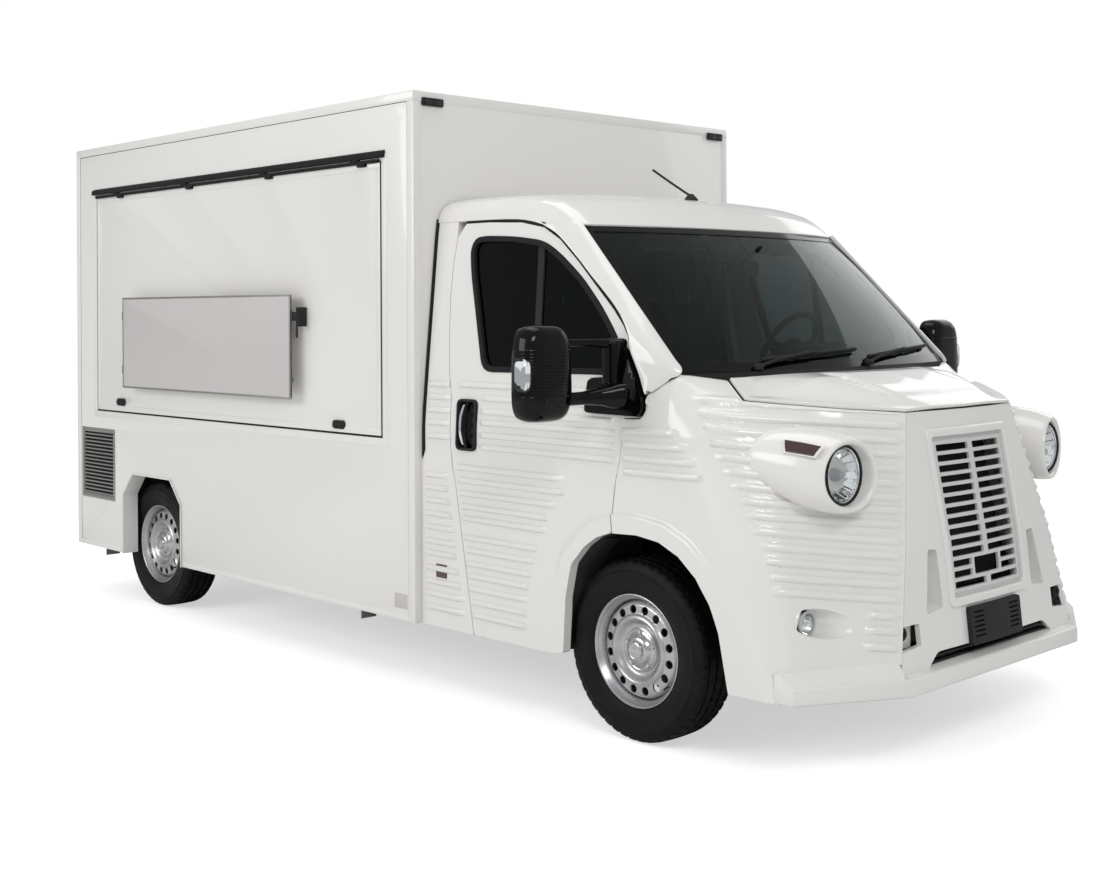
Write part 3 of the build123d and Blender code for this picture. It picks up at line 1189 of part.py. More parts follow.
def door_region(gap):
    """The left door's outline from the side, with a gap all round."""
    lower = grown(share_points(DOOR_LOWER_SHARES), gap, CAB_HALF - DOOR_REGION_DEPTH, CAB_HALF + OVERRUN)
    upper = grown(share_points(DOOR_UPPER_SHARES), gap, CAB_HALF - DOOR_REGION_DEPTH, CAB_HALF + OVERRUN)
    return lower + upper


def front_lamps():
    body = Cylinder(HEADLAMP_RADIUS - RUNNING_CLEARANCE, 2 * LENS_DEPTH)
    lamp = headlamp_place() * Pos(0, 0, -LENS_DEPTH * 2) * body
    return both(lamp)


def bumper():
    """The faceted shelf under the nose."""
    front = FRONT_AXLE_X + FRONT_OVERHANG
    points = ((front, -BUMPER_CORNER), (front, BUMPER_CORNER), (front - BUMPER_SWEEP, BUMPER_TIP),
              (front - BUMPER_SWEEP - BUMPER_DEPTH, BUMPER_TIP - BUMPER_DEPTH),
              (front - BUMPER_DEPTH, BUMPER_CORNER - BUMPER_DEPTH),
              (front - BUMPER_DEPTH, -BUMPER_CORNER + BUMPER_DEPTH),
              (front - BUMPER_SWEEP - BUMPER_DEPTH, -BUMPER_TIP + BUMPER_DEPTH),
              (front - BUMPER_SWEEP, -BUMPER_TIP))
    return plan_prism(points, BUMPER_BOTTOM, BUMPER_TOP)


# Cab inside
def cab_floor():
    """Floor, firewall and the liners over the front wheels."""
    x0 = cab_x(0)
    x1 = FRONT_AXLE_X - TOWER_HALF - MOVING_GAP
    half = CAB_HALF - CAB_PANEL - MOVING_GAP
    wall_half = POST_OUTER - POST_DEPTH
    floor = block(x0, x1, -half, half, CAB_FLOOR_Z - CAB_FLOOR_SHEET, CAB_FLOOR_Z)
    wall = block(x1 - CAB_FLOOR_SHEET, x1, -wall_half, wall_half, CAB_FLOOR_Z - CAB_FLOOR_SHEET,
                 DASH_BOTTOM)
    body = joined([floor, wall] + both(liner_form(LINER_RADIUS + LINER_SHEET)))
    hollow = liner_form(LINER_RADIUS)
    hollow = hollow + Pos(0, OVERRUN, 0) * hollow + Pos(0, 0, -LINER_BOTTOM) * hollow
    strut = rod_z(FRONT_AXLE_X, KINGPIN_Y - STRUT_INSET, 0, STRUT_TOP, STRUT_RADIUS + LINER_SHEET)
    cut = hollow + strut
    return body - cut - other_side(cut)


def cab_rear_wall():
    x0 = cab_x(0)
    x1 = x0 + CAB_WALL
    waist = cab_z(WAIST_SHARE)
    low = CAB_HALF - CAB_PANEL - SEAM / 2
    ledge = CAB_HALF - 2 * CAB_PANEL - SEAM / 2
    upper = greenhouse(CAB_WALL + SEAM / 2) & block(x0, x1, -CAB_HALF, CAB_HALF, waist, cab_z(1))
    lower = block(x0, x1, -low, low, CAB_FLOOR_Z, waist - CAB_SKIN)
    return upper + lower + block(x0, x1, -ledge, ledge, CAB_FLOOR_Z, waist)


def dashboard():
    x = FRONT_AXLE_X
    slab = side_prism(((x - DASH_REAR, DASH_BOTTOM), (x - DASH_REAR, DASH_TOP - COWL_HEIGHT),
                       (x - DASH_FRONT, DASH_TOP),
                       (x + DASH_FRONT, DASH_TOP - COWL_HEIGHT), (x, DASH_BOTTOM)), -DASH_HALF, DASH_HALF)
    hood = side_prism(((x - DASH_REAR - OVERRUN, DASH_TOP - COWL_HEIGHT), (x - DASH_REAR, BINNACLE_TOP),
                       (x - DASH_REAR + BINNACLE_LENGTH, DASH_TOP - COWL_HEIGHT)),
                      DRIVER_Y - BINNACLE_HALF, DRIVER_Y + BINNACLE_HALF)
    column = steering_place() * Pos(0, 0, -STEER_HUB_DEPTH) * Cylinder(COLUMN_RADIUS * 2 + SEAM,
            4 * COLUMN_LENGTH)
    return slab + hood - column


def steering_place():
    return Pos(FRONT_AXLE_X - STEER_X, DRIVER_Y, STEER_Z) * Rot(0, STEER_RAKE - 90, 0)


def steering_wheel():
    """Rim, three spokes and hub, turning about its raked column."""
    ring = Torus(STEER_RADIUS - STEER_RIM, STEER_RIM)
    hub = Pos(0, 0, -STEER_HUB_DEPTH / 2) * Cylinder(STEER_HUB, STEER_HUB_DEPTH)
    pieces = [ring, hub]
    for angle in (0, 90, 270):
        spoke = block(0, STEER_RADIUS - STEER_RIM, -STEER_RIM, STEER_RIM, -STEER_RIM, 0)
        pieces.append(Rot(0, 0, angle) * spoke)
    bore = Pos(0, 0, -STEER_HUB_DEPTH) * Cylinder(COLUMN_RADIUS / 2 + RUNNING_CLEARANCE, STEER_HUB_DEPTH)
    return steering_place() * (joined(pieces) - bore)


def steering_column():
    """The column cowl and the shaft end that the steering wheel turns on."""
    shaft = Pos(0, 0, -STEER_HUB_DEPTH) * Cylinder(COLUMN_RADIUS / 2, STEER_HUB_DEPTH)
    tube = Pos(0, 0, -STEER_HUB_DEPTH - MOVING_GAP - COLUMN_LENGTH / 2) * Cylinder(COLUMN_RADIUS * 2,
            COLUMN_LENGTH)
    return steering_place() * (shaft + tube)


def seat_pads():
    """Both seats as plain closed pads: cushion, back and headrest each."""
    pieces = []
    x = FRONT_AXLE_X - SEAT_REAR
    half = SEAT_WIDTH / 2
    for y in (DRIVER_Y, -DRIVER_Y):
        cushion = block(x, x + SEAT_LENGTH, y - half, y + half, SEAT_TOP - SEAT_PAD, SEAT_TOP)
        back = side_prism(((x, SEAT_TOP + RUNNING_CLEARANCE), (x + SEAT_BACK, SEAT_TOP + RUNNING_CLEARANCE),
                           (x + SEAT_BACK - SEAT_LEAN, SEAT_BACK_TOP), (x - SEAT_LEAN, SEAT_BACK_TOP)),
                           y - half, y + half)
        pieces += [cushion, back]
    return pieces


def headrests():
    pieces = []
    x = FRONT_AXLE_X - SEAT_REAR - SEAT_LEAN
    z = SEAT_BACK_TOP + HEADREST_RISE
    for y in (DRIVER_Y, -DRIVER_Y):
        pad = block(x, x + HEADREST_DEPTH, y - HEADREST_WIDTH / 2, y + HEADREST_WIDTH / 2, z,
                    z + HEADREST_HEIGHT)
        posts = [rod_z(x + HEADREST_DEPTH / 2, y + side * HEADREST_WIDTH / 4, SEAT_BACK_TOP, z + OVERRUN,
                       STEER_RIM / 2) for side in (-1, 1)]
        pieces.append(joined([pad] + posts))
    return pieces


def seat_frames():
    pieces = []
    x = FRONT_AXLE_X - SEAT_REAR
    half = SEAT_BASE_WIDTH / 2
    for y in (DRIVER_Y, -DRIVER_Y):
        pieces.append(block(x + OVERRUN, x + SEAT_LENGTH - OVERRUN, y - half, y + half, CAB_FLOOR_Z,
                            SEAT_TOP - SEAT_PAD))
    return pieces


# Things fixed to the doors and the screen
def mirror_base():
    """The left mirror's foot, on the door panel and on the window frame above it."""
    x = cab_x(DOOR_WINDOW_SHARES[-1][0]) - MIRROR_BASE_LENGTH
    (y_base, z_base), (y_low, z_low), (y_high, z_high) = [(cab_y(y), cab_z(z))
                                                          for y, z in CAB_SECTION_SHARES[:3]]
    z1 = MIRROR_BASE_BOTTOM + MIRROR_BASE_HEIGHT
    y1 = y_low + (y_high - y_low) * (z1 - z_low) / (z_high - z_low)
    waist = cab_z(DOOR_LOWER_SHARES[0][1])
    y_waist = y_base + (y_low - y_base) * (waist + SEAM - z_base) / (z_low - z_base)
    points = ((CAB_HALF, MIRROR_BASE_BOTTOM), (CAB_HALF, waist + SEAM), (y_waist, waist + SEAM),
              (y_low, z_low), (y1, z1),
              (y1 + MIRROR_BASE_SHEET, z1), (CAB_HALF + MIRROR_BASE_SHEET, waist),
              (CAB_HALF + MIRROR_BASE_SHEET, MIRROR_BASE_BOTTOM))
    return front_prism(points, x, x + MIRROR_BASE_LENGTH)


def mirror_head():
    """The left mirror: foot, two arms and a tall head."""
    x = cab_x(DOOR_WINDOW_SHARES[-1][0]) - MIRROR_BASE_LENGTH
    head_x = x - MIRROR_BACK
    head = block(head_x - MIRROR_DEPTH / 2, head_x + MIRROR_DEPTH / 2, MIRROR_OUTER - MIRROR_WIDTH,
                 MIRROR_OUTER,
                 MIRROR_Z - MIRROR_HEIGHT / 2, MIRROR_Z + MIRROR_HEIGHT / 2)
    arms = []
    for rise in (ARM_LOW, ARM_HIGH):
        z = MIRROR_BASE_BOTTOM + rise
        arms.append(rod_y(x + ARM_RADIUS * 2, z, CAB_HALF, MIRROR_OUTER - MIRROR_WIDTH / 2, ARM_RADIUS))
    return joined([mirror_base(), head] + arms)


def wipers():
    """Two wiper blades lying on the glass at the foot of the screen."""
    skin = greenhouse(GLASS_INSET - WIPER_SECTION) - greenhouse(GLASS_INSET)
    bottom = cab_z(SCREEN_BOTTOM_SHARE) + WIPER_SECTION
    pieces = []
    for y in WIPER_PLACES:
        points = ((y - WIPER_LENGTH / 2, bottom + WIPER_RISE), (y + WIPER_LENGTH / 2, bottom),
                  (y + WIPER_LENGTH / 2, bottom + WIPER_SECTION),
                  (y - WIPER_LENGTH / 2, bottom + WIPER_RISE + WIPER_SECTION))
        pieces.append(skin & front_prism(points, cab_x(SCREEN_REAR_SHARE), cab_x(1)))
    return pieces


def make_all():
    wheels()
    write("chassis_frame", chassis_frame())
    write("rear_axle", rear_axle())
    write("engine", engine())
    for side in SIDES:
        write(f"knuckle_{side}", on_side(knuckle(), side))
        write(f"door_{side}", on_side(door(), side))
        write(f"door_glass_{side}", on_side(door_glass(), side))
        write(f"mirror_{side}", on_side(mirror_head(), side))
        write(f"steady_front_{side}", on_side(steady(STEADY_FRONT), side))
        write(f"steady_rear_{side}", on_side(steady(STEADY_REAR), side))
    write("box_floor", box_floor())
    write("box_roof", block(BOX_REAR_X, BOX_FRONT_X, -BOX_HALF, BOX_HALF, WALL_TOP, BOX_TOP))
    write("box_front_wall", block(BOX_FRONT_X - BOX_WALL, BOX_FRONT_X, -BOX_INNER, BOX_INNER,
                                  FLOOR_TOP - FLOOR_THICKNESS, WALL_TOP))
    write("box_left_wall", side_wall())
    write("box_right_wall", other_side(hatch_wall()))
    write("box_rear_wall", rear_wall())
    write("rear_door", rear_door())
    write("rear_lamps", *rear_lamps())
    write("rear_bumper", rear_bumper())
    write("hatch_panel", other_side(hatch_panel()))
    write("sign_board", other_side(sign_board()))
    write("vent", other_side(vent()))
    write("serving_counter", other_side(serving_counter()))
    write("cab_floor", cab_floor())
    write("cab_rear_wall", cab_rear_wall())
    write("cab_sides", *both(cab_side()))
    write("cab_roof", cab_roof())
    write("windscreen_frame", windscreen_frame())
    write("windscreen", windscreen())
    write("bonnet", bonnet())
    nose, plane_x = nose_panel()
    write("nose_panel", nose)
    write("grille", grille(plane_x))
    write("wings", *wings())
    write("front_lamps", *front_lamps())
    write("bumper", bumper())
    write("dashboard", dashboard())
    write("steering_column", steering_column())
    write("steering_wheel", steering_wheel())
    write("seat_pads", *seat_pads())
    write("headrests", *headrests())
    write("seat_frames", *seat_frames())
    write("wipers", *wipers())


make_all()
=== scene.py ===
"""Looks of the food truck: materials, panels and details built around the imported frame, in metres."""
import json
from math import cos, pi, radians, sin

import bmesh
import bpy
import numpy as np
from mathutils import Matrix, Vector


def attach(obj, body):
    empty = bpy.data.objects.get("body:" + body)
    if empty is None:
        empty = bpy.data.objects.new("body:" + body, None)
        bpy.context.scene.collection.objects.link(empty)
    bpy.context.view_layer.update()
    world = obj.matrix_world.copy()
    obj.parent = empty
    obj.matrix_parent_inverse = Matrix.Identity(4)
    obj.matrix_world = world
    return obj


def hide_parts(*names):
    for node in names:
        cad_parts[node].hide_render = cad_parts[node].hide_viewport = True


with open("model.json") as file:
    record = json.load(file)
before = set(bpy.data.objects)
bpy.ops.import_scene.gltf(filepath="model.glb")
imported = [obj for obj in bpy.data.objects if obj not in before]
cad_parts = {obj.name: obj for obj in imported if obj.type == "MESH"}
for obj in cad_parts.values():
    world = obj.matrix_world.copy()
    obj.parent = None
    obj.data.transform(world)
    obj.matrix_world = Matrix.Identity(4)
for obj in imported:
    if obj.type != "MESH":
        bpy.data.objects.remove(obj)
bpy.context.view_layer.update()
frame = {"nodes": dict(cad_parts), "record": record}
BODY = {node: body for body, nodes in frame["record"]["behaviour"]["bodies"].items() for node in nodes}
FRONT_AXLE = 1.8095
REAR_AXLE = -1.9905
AXLE_HEIGHT = 0.362
SILL = 0.299
BELT = 1.452
CAB_REAR = 0.575
LEDGE_FOOT = 0.362
CORNER_ANGLE = 32


# Node helpers
DARK_SHINE = 0.14


def material(name):
    made = bpy.data.materials.new(name)
    made.use_nodes = True
    tree = made.node_tree
    shader = tree.nodes["Principled BSDF"]
    return made, tree, shader


def add(tree, kind, **values):
    node = tree.nodes.new("ShaderNode" + kind)
    for key, value in values.items():
        if key in node.inputs:
            node.inputs[key].default_value = value
        else:
            setattr(node, key, value)
    return node


def spot(tree, scale=(1, 1, 1)):
    """Object coordinates, scaled."""
    where = add(tree, "TexCoord")
    turn = add(tree, "Mapping")
    turn.inputs["Scale"].default_value = scale
    tree.links.new(where.outputs["Object"], turn.inputs["Vector"])
    return turn.outputs["Vector"]


def noise(tree, vector, scale, detail=3.0, rough=0.5):
    node = add(tree, "TexNoise")
    node.inputs["Scale"].default_value = scale
    node.inputs["Detail"].default_value = detail
    node.inputs["Roughness"].default_value = rough
    tree.links.new(vector, node.inputs["Vector"])
    return node.outputs["Fac"]


def ramp(tree, value, low, high, start, end):
    """Maps a value between two limits to a range."""
    node = add(tree, "MapRange")
    for key, number in zip(("From Min", "From Max", "To Min", "To Max"), (low, high, start, end)):
        node.inputs[key].default_value = number
    tree.links.new(value, node.inputs["Value"])
    return node.outputs["Result"]


def tint(tree, value, first, second):
    node = add(tree, "Mix", data_type="RGBA")
    node.inputs["A"].default_value = (*first, 1)
    node.inputs["B"].default_value = (*second, 1)
    tree.links.new(value, node.inputs["Factor"])
    return node.outputs["Result"]


def relief(tree, shader, value, distance, strength=1.0):
    bump = add(tree, "Bump")
    bump.inputs["Distance"].default_value = distance
    bump.inputs["Strength"].default_value = strength
    tree.links.new(value, bump.inputs["Height"])
    tree.links.new(bump.outputs["Normal"], shader.inputs["Normal"])


def paint(name, color, rough, coat, grain, grain_size, shade=0.985, metallic=0.0):
    """A sprayed or moulded skin: faint cloudy colour, fine orange peel and a clear coat."""
    made, tree, shader = material(name)
    place = spot(tree)
    cloud = noise(tree, place, 1.3, 4.0)
    fine = noise(tree, place, grain_size, 2.0)
    darker = tuple(value * shade for value in color)
    tree.links.new(tint(tree, ramp(tree, cloud, 0.15, 0.85, 0, 1), color, darker),
                   shader.inputs["Base Color"])
    tree.links.new(ramp(tree, cloud, 0.1, 0.9, rough * 0.97, rough * 1.05), shader.inputs["Roughness"])
    shader.inputs["Coat Weight"].default_value = coat
    shader.inputs["Coat Roughness"].default_value = 0.04
    shader.inputs["Specular IOR Level"].default_value = 0.5 if max(color) > 0.1 else DARK_SHINE
    shader.inputs["Metallic"].default_value = metallic
    relief(tree, shader, fine, grain)
    return made


def moulded(name, color, rough, grain=0.0004, size=420.0):
    """Textured black plastic."""
    made, tree, shader = material(name)
    place = spot(tree)
    cells = add(tree, "TexVoronoi")
    cells.inputs["Scale"].default_value = size
    tree.links.new(place, cells.inputs["Vector"])
    cloud = noise(tree, place, 6.0)
    lighter = tuple(min(1, value * 1.6 + 0.004) for value in color)
    tree.links.new(tint(tree, cloud, color, lighter), shader.inputs["Base Color"])
    tree.links.new(ramp(tree, cloud, 0.3, 0.7, rough, rough * 1.2), shader.inputs["Roughness"])
    relief(tree, shader, cells.outputs["Distance"], grain)
    shader.inputs["Specular IOR Level"].default_value = DARK_SHINE
    return made


def metal(name, color, rough, stretch=(1, 1, 1), grain=0.0002, size=60.0, metallic=1.0):
    """Bare or silvered metal with its brushing or casting grain."""
    made, tree, shader = material(name)
    place = spot(tree, stretch)
    fine = noise(tree, place, size, 4.0)
    broad = noise(tree, spot(tree), 5.0, 3.0)
    darker = tuple(value * 0.8 for value in color)
    tree.links.new(tint(tree, broad, color, darker), shader.inputs["Base Color"])
    tree.links.new(ramp(tree, fine, 0.3, 0.7, rough * 0.75, rough * 1.3), shader.inputs["Roughness"])
    shader.inputs["Metallic"].default_value = metallic
    relief(tree, shader, fine, grain)
    return made


def pane(name, color, rough=0.0, mirrored_light=0.45):
    made, tree, shader = material(name)
    place = spot(tree)
    dust = noise(tree, place, 3.0, 5.0)
    deeper = tuple(value * 0.93 for value in color)
    tree.links.new(tint(tree, dust, color, deeper), shader.inputs["Base Color"])
    shader.inputs["Roughness"].default_value = rough
    shader.inputs["Transmission Weight"].default_value = 1.0
    shader.inputs["IOR"].default_value = 1.0 + mirrored_light
    return made


def cloth(name, color, size=900.0):
    """Woven seat cloth with a darker fleck."""
    made, tree, shader = material(name)
    place = spot(tree)
    waves = []
    for direction in ("X", "Z"):
        wave = add(tree, "TexWave", wave_type="BANDS", bands_direction=direction)
        wave.inputs["Scale"].default_value = size / 3
        wave.inputs["Distortion"].default_value = 0.6
        tree.links.new(place, wave.inputs["Vector"])
        waves.append(wave.outputs["Fac"])
    weave = add(tree, "Math", operation="MULTIPLY")
    tree.links.new(waves[0], weave.inputs[0])
    tree.links.new(waves[1], weave.inputs[1])
    fleck = noise(tree, place, 220.0, 2.0)
    lighter = tuple(value * 2.2 for value in color)
    tree.links.new(tint(tree, fleck, color, lighter), shader.inputs["Base Color"])
    shader.inputs["Roughness"].default_value = 0.9
    shader.inputs["Sheen Weight"].default_value = 0.35
    relief(tree, shader, weave.outputs["Value"], 0.0006)
    return made


def rubber(name, color):
    made, tree, shader = material(name)
    place = spot(tree)
    cloud = noise(tree, place, 9.0, 5.0)
    fine = noise(tree, place, 240.0, 2.0)
    lighter = tuple(value * 1.8 for value in color)
    tree.links.new(tint(tree, ramp(tree, cloud, 0.4, 0.75, 0, 1), color, lighter),
                   shader.inputs["Base Color"])
    tree.links.new(ramp(tree, cloud, 0.3, 0.7, 0.38, 0.6), shader.inputs["Roughness"])
    relief(tree, shader, fine, 0.0003)
    shader.inputs["Specular IOR Level"].default_value = DARK_SHINE
    return made


WHITE = (0.80, 0.785, 0.752)
M = {
    "panel": paint("Panel white", WHITE, 0.34, 0.5, 0.000002, 60.0),
    "kit": paint("Kit white", WHITE, 0.28, 0.6, 0.000002, 30.0),
    "cab": paint("Cab paint", WHITE, 0.24, 0.7, 0.000002, 80.0),
    "grille": paint("Grille grey", (0.47, 0.475, 0.48), 0.38, 0.3, 0.00004, 60.0),
    "frame": paint("Grille frame grey", (0.62, 0.62, 0.61), 0.32, 0.5, 0.00004, 60.0),
    "sign": paint("Sign board", (0.56, 0.53, 0.525), 0.4, 0.35, 0.00003, 60.0),
    "gloss": paint("Gloss black", (0.002, 0.002, 0.0025), 0.10, 0.16, 0.00002, 40.0),
    "black": moulded("Black plastic", (0.018, 0.018, 0.019), 0.55),
    "seal": moulded("Seal rubber", (0.010, 0.010, 0.011), 0.6, 0.0002, 260.0),
    "trim": moulded("Grey trim", (0.20, 0.205, 0.20), 0.7, 0.0002, 260.0),
    "liner": moulded("Arch liner", (0.045, 0.046, 0.048), 0.75, 0.0008, 160.0),
    # Near-black for the sensor patch and vent back; behind the grille it is painted shade.
    "dark": moulded("Dark inside", (0.012, 0.012, 0.013), 0.85, 0.0002, 200.0),
    "dash": moulded("Dashboard", (0.035, 0.036, 0.038), 0.6),
    "tyre": rubber("Tyre rubber", (0.0055, 0.0055, 0.006)),
    "rim": metal("Wheel silver", (0.56, 0.56, 0.57), 0.3, grain=0.0001, size=300.0, metallic=0.85),
    "hub": metal("Hub cap", (0.60, 0.59, 0.58), 0.2, grain=0.0001, size=200.0),
    "alloy": metal("Louvre metal", (0.40, 0.40, 0.38), 0.4, (1, 1, 12), 0.0001),
    "zinc": metal("Galvanised steel", (0.42, 0.43, 0.44), 0.45, grain=0.0002, size=40.0),
    "mirror": metal("Lamp reflector", (0.93, 0.94, 0.95), 0.03, grain=0.00001),
    "chrome": metal("Chrome", (0.86, 0.87, 0.88), 0.06, grain=0.00002),
    "stainless": metal("Stainless steel", (0.55, 0.55, 0.55), 0.3, (1, 14, 14), 0.0001),
    "chassis": paint("Chassis black", (0.02, 0.02, 0.021), 0.5, 0.1, 0.0006, 40.0),
    "cast": metal("Cast metal", (0.16, 0.16, 0.165), 0.6, grain=0.0008, size=120.0, metallic=0.7),
    "glass": pane("Tinted glass", (0.32, 0.38, 0.365), 0.0, 0.20),
    "side_glass": pane("Dark glass", (0.04, 0.06, 0.06), 0.0, 0.22),
    "clear": pane("Clear lens", (0.92, 0.94, 0.95)),
    "smoke": paint("Smoked lens", (0.06, 0.03, 0.028), 0.08, 1.0, 0.0001, 80.0),
    "red": paint("Red lens", (0.36, 0.01, 0.012), 0.12, 1.0, 0.0001, 80.0),
    "cloth": cloth("Upholstery", (0.045, 0.046, 0.050)),
    "floor": moulded("Floor covering", (0.12, 0.12, 0.125), 0.7, 0.0006, 90.0),
}


# Mesh helpers
def new_object(name, vertices, faces):
    mesh = bpy.data.meshes.new(name)
    mesh.from_pydata([tuple(map(float, v)) for v in vertices], [], [tuple(f) for f in faces])
    mesh.update()
    made = bpy.data.objects.new(name, mesh)
    bpy.context.collection.objects.link(made)
    return made


def facing_out(made, weld=0.0):
    """Turns a mesh's faces outwards, once points nearer than a distance are joined."""
    bm = bmesh.new()
    bm.from_mesh(made.data)
    if weld:
        bmesh.ops.remove_doubles(bm, verts=bm.verts, dist=weld)
    bmesh.ops.recalc_face_normals(bm, faces=bm.faces)
    bm.to_mesh(made.data)
    bm.free()
    return made


def quad(count, row, after, i, j):
    """The corners of a face between two rows of points."""
    return (row * count + i, row * count + j, after * count + j, after * count + i)


def baked(made):
    """Applies the object's modifiers to its mesh."""
    bpy.context.view_layer.update()
    graph = bpy.context.evaluated_depsgraph_get()
    mesh = bpy.data.meshes.new_from_object(made.evaluated_get(graph))
    made.modifiers.clear()
    made.data = mesh
    return made


def softened(made, width, segments=2, angle=CORNER_ANGLE):
    """Rounds the object's sharp edges."""
    bevel = made.modifiers.new("Soft edges", "BEVEL")
    bevel.width = width
    bevel.segments = segments
    bevel.limit_method = "ANGLE"
    bevel.angle_limit = radians(angle)
    bevel.use_clamp_overlap = True
    return baked(made)


def combined(made, cutters, operation="DIFFERENCE", solver="EXACT"):
    """Cuts or joins solids, and drops the cutters."""
    for cutter in cutters:
        change = made.modifiers.new("Change", "BOOLEAN")
        change.operation = operation
        change.object = cutter
        change.solver = solver
        baked(made)
        bpy.data.objects.remove(cutter)
    return made


def piece(made, look, body, replaces=(), smooth=CORNER_ANGLE):
    """Gives a mesh its material, smoothing and place in the table."""
    made.data.materials.clear()
    made.data.materials.append(M[look])
    made.data.polygons.foreach_set("use_smooth", [True] * len(made.data.polygons))
    made.data.set_sharp_from_angle(angle=radians(smooth))
    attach(made, body)
    if replaces:
        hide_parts(*replaces)
    return made


def prism(name, outline, axis, start, end):
    """A solid between two planes across an axis, over an outline in the other two, in their order."""
    count = len(outline)
    area = sum(outline[i][0] * outline[(i + 1) % count][1] - outline[(i + 1) % count][0] * outline[i][1]
               for i in range(count))
    points = list(outline) if (area > 0) == (axis != 1) else list(outline)[::-1]

    def place(point, depth):
        rest = list(point)
        rest.insert(axis, depth)
        return rest

    vertices = [place(p, start) for p in points] + [place(p, end) for p in points]
    faces = [tuple(range(count))[::-1], tuple(range(count, 2 * count))]
    faces += [(i, (i + 1) % count, count + (i + 1) % count, count + i) for i in range(count)]
    return new_object(name, vertices, faces)


def brick(name, low, high):
    return prism(name, [(low[0], low[1]), (high[0], low[1]), (high[0], high[1]), (low[0], high[1])], 2,
                 low[2], high[2])


def rounded(points, radius, steps=6):
    """An outline with its corners rounded; a radius may be one number or one for each corner."""
    made = []
    count = len(points)
    radii = radius if hasattr(radius, "__len__") else [radius] * count
    for i in range(count):
        here = np.array(points[i], float)
        before = np.array(points[i - 1], float) - here
        after = np.array(points[(i + 1) % count], float) - here
        reach = min(radii[i], np.linalg.norm(before) * 0.49, np.linalg.norm(after) * 0.49)
        a = here + before / max(np.linalg.norm(before), 1e-9) * reach
        b = here + after / max(np.linalg.norm(after), 1e-9) * reach
        for step in range(steps + 1):
            t = step / steps
            made.append(tuple((1 - t) ** 2 * a + 2 * t * (1 - t) * here + t * t * b))
    return made


def lathe(name, profile, axis, centre, turns=64):
    """A closed shape turned about an axis: the profile gives (radius, distance along the axis)."""
    vertices = []
    for radius, along in profile:
        for turn in range(turns):
            angle = 2 * pi * turn / turns
            flat = [radius * cos(angle), radius * sin(angle)]
            flat.insert(axis, along)
            vertices.append([flat[k] + centre[k] for k in range(3)])
    rows = len(profile)
    faces = []
    for row in range(rows):
        after = (row + 1) % rows
        for turn in range(turns):
            near = (turn + 1) % turns
            faces.append(quad(turns, row, after, turn, near))
    made = new_object(name, vertices, faces)
    return facing_out(made, 1e-6)


def loft(name, rings, closed=True):
    """A skin over rings of the same number of points, with ends closed."""
    count = len(rings[0])
    vertices = [p for ring in rings for p in ring]
    faces = []
    for row in range(len(rings) - 1):
        for i in range(count):
            j = (i + 1) % count
            faces.append(quad(count, row, row + 1, i, j))
    if closed:
        faces += [tuple(range(count))[::-1], tuple(range((len(rings) - 1) * count, len(rings) * count))]
    made = new_object(name, vertices, faces)
    return facing_out(made)


def slab(name, outer, thickness):
    """A closed sheet: a grid of outer points, and the same set back along its normals."""
    outer = np.asarray(outer, float)
    rows, columns = outer.shape[:2]
    du = np.gradient(outer, axis=0)
    dv = np.gradient(outer, axis=1)
    normal = np.cross(du, dv)
    normal /= np.maximum(np.linalg.norm(normal, axis=2, keepdims=True), 1e-12)
    inner = outer - normal * thickness
    vertices = np.concatenate([outer.reshape(-1, 3), inner.reshape(-1, 3)])
    half = rows * columns
    faces = []
    for i in range(rows - 1):
        for j in range(columns - 1):
            a, d = i * columns + j, (i + 1) * columns + j
            b, c = a + 1, d + 1
            faces.append((a, d, c, b))
            faces.append((half + a, half + b, half + c, half + d))
    ring = [j for j in range(columns)] + [i * columns + columns - 1 for i in range(1, rows)]
    ring += [(rows - 1) * columns + j for j in range(columns - 2, -1, -1)]
    ring += [i * columns for i in range(rows - 2, 0, -1)]
    for k, a in enumerate(ring):
        b = ring[(k + 1) % len(ring)]
        faces.append((a, b, half + b, half + a))
    made = new_object(name, vertices, faces)
    return facing_out(made)


def tube(name, points, radius, body_points=10, cyclic=False):
    """A round bar along points."""
    curve = bpy.data.curves.new(name, "CURVE")
    curve.dimensions = "3D"
    curve.bevel_depth = radius
    curve.bevel_resolution = 3
    curve.use_fill_caps = True
    curve.resolution_u = body_points
    line = curve.splines.new("NURBS")
    line.points.add(len(points) - 1)
    for spot_, point in zip(line.points, points):
        spot_.co = (*point, 1)
    line.order_u = 3
    line.use_endpoint_u = not cyclic
    line.use_cyclic_u = cyclic
    made = bpy.data.objects.new(name, curve)
    bpy.context.collection.objects.link(made)
    bpy.context.view_layer.update()
    graph = bpy.context.evaluated_depsgraph_get()
    mesh = bpy.data.meshes.new_from_object(made.evaluated_get(graph))
    bpy.data.objects.remove(made)
    final = bpy.data.objects.new(name, mesh)
    bpy.context.collection.objects.link(final)
    return final


def merged(name, parts):
    """Several meshes as one object."""
    bm = bmesh.new()
    for part in parts:
        part.data.transform(part.matrix_world)
        bm.from_mesh(part.data)
    mesh = bpy.data.meshes.new(name)
    bm.to_mesh(mesh)
    bm.free()
    for part in parts:
        bpy.data.objects.remove(part)
    made = bpy.data.objects.new(name, mesh)
    bpy.context.collection.objects.link(made)
    return made


def mirrored(made, name):
    """The same piece on the right side."""
    copy = made.copy()
    copy.data = made.data.copy()
    copy.name = name
    bpy.context.collection.objects.link(copy)
    copy.data.transform(Matrix.Scale(-1, 4, (0, 1, 0)))
    copy.data.flip_normals()
    return copy


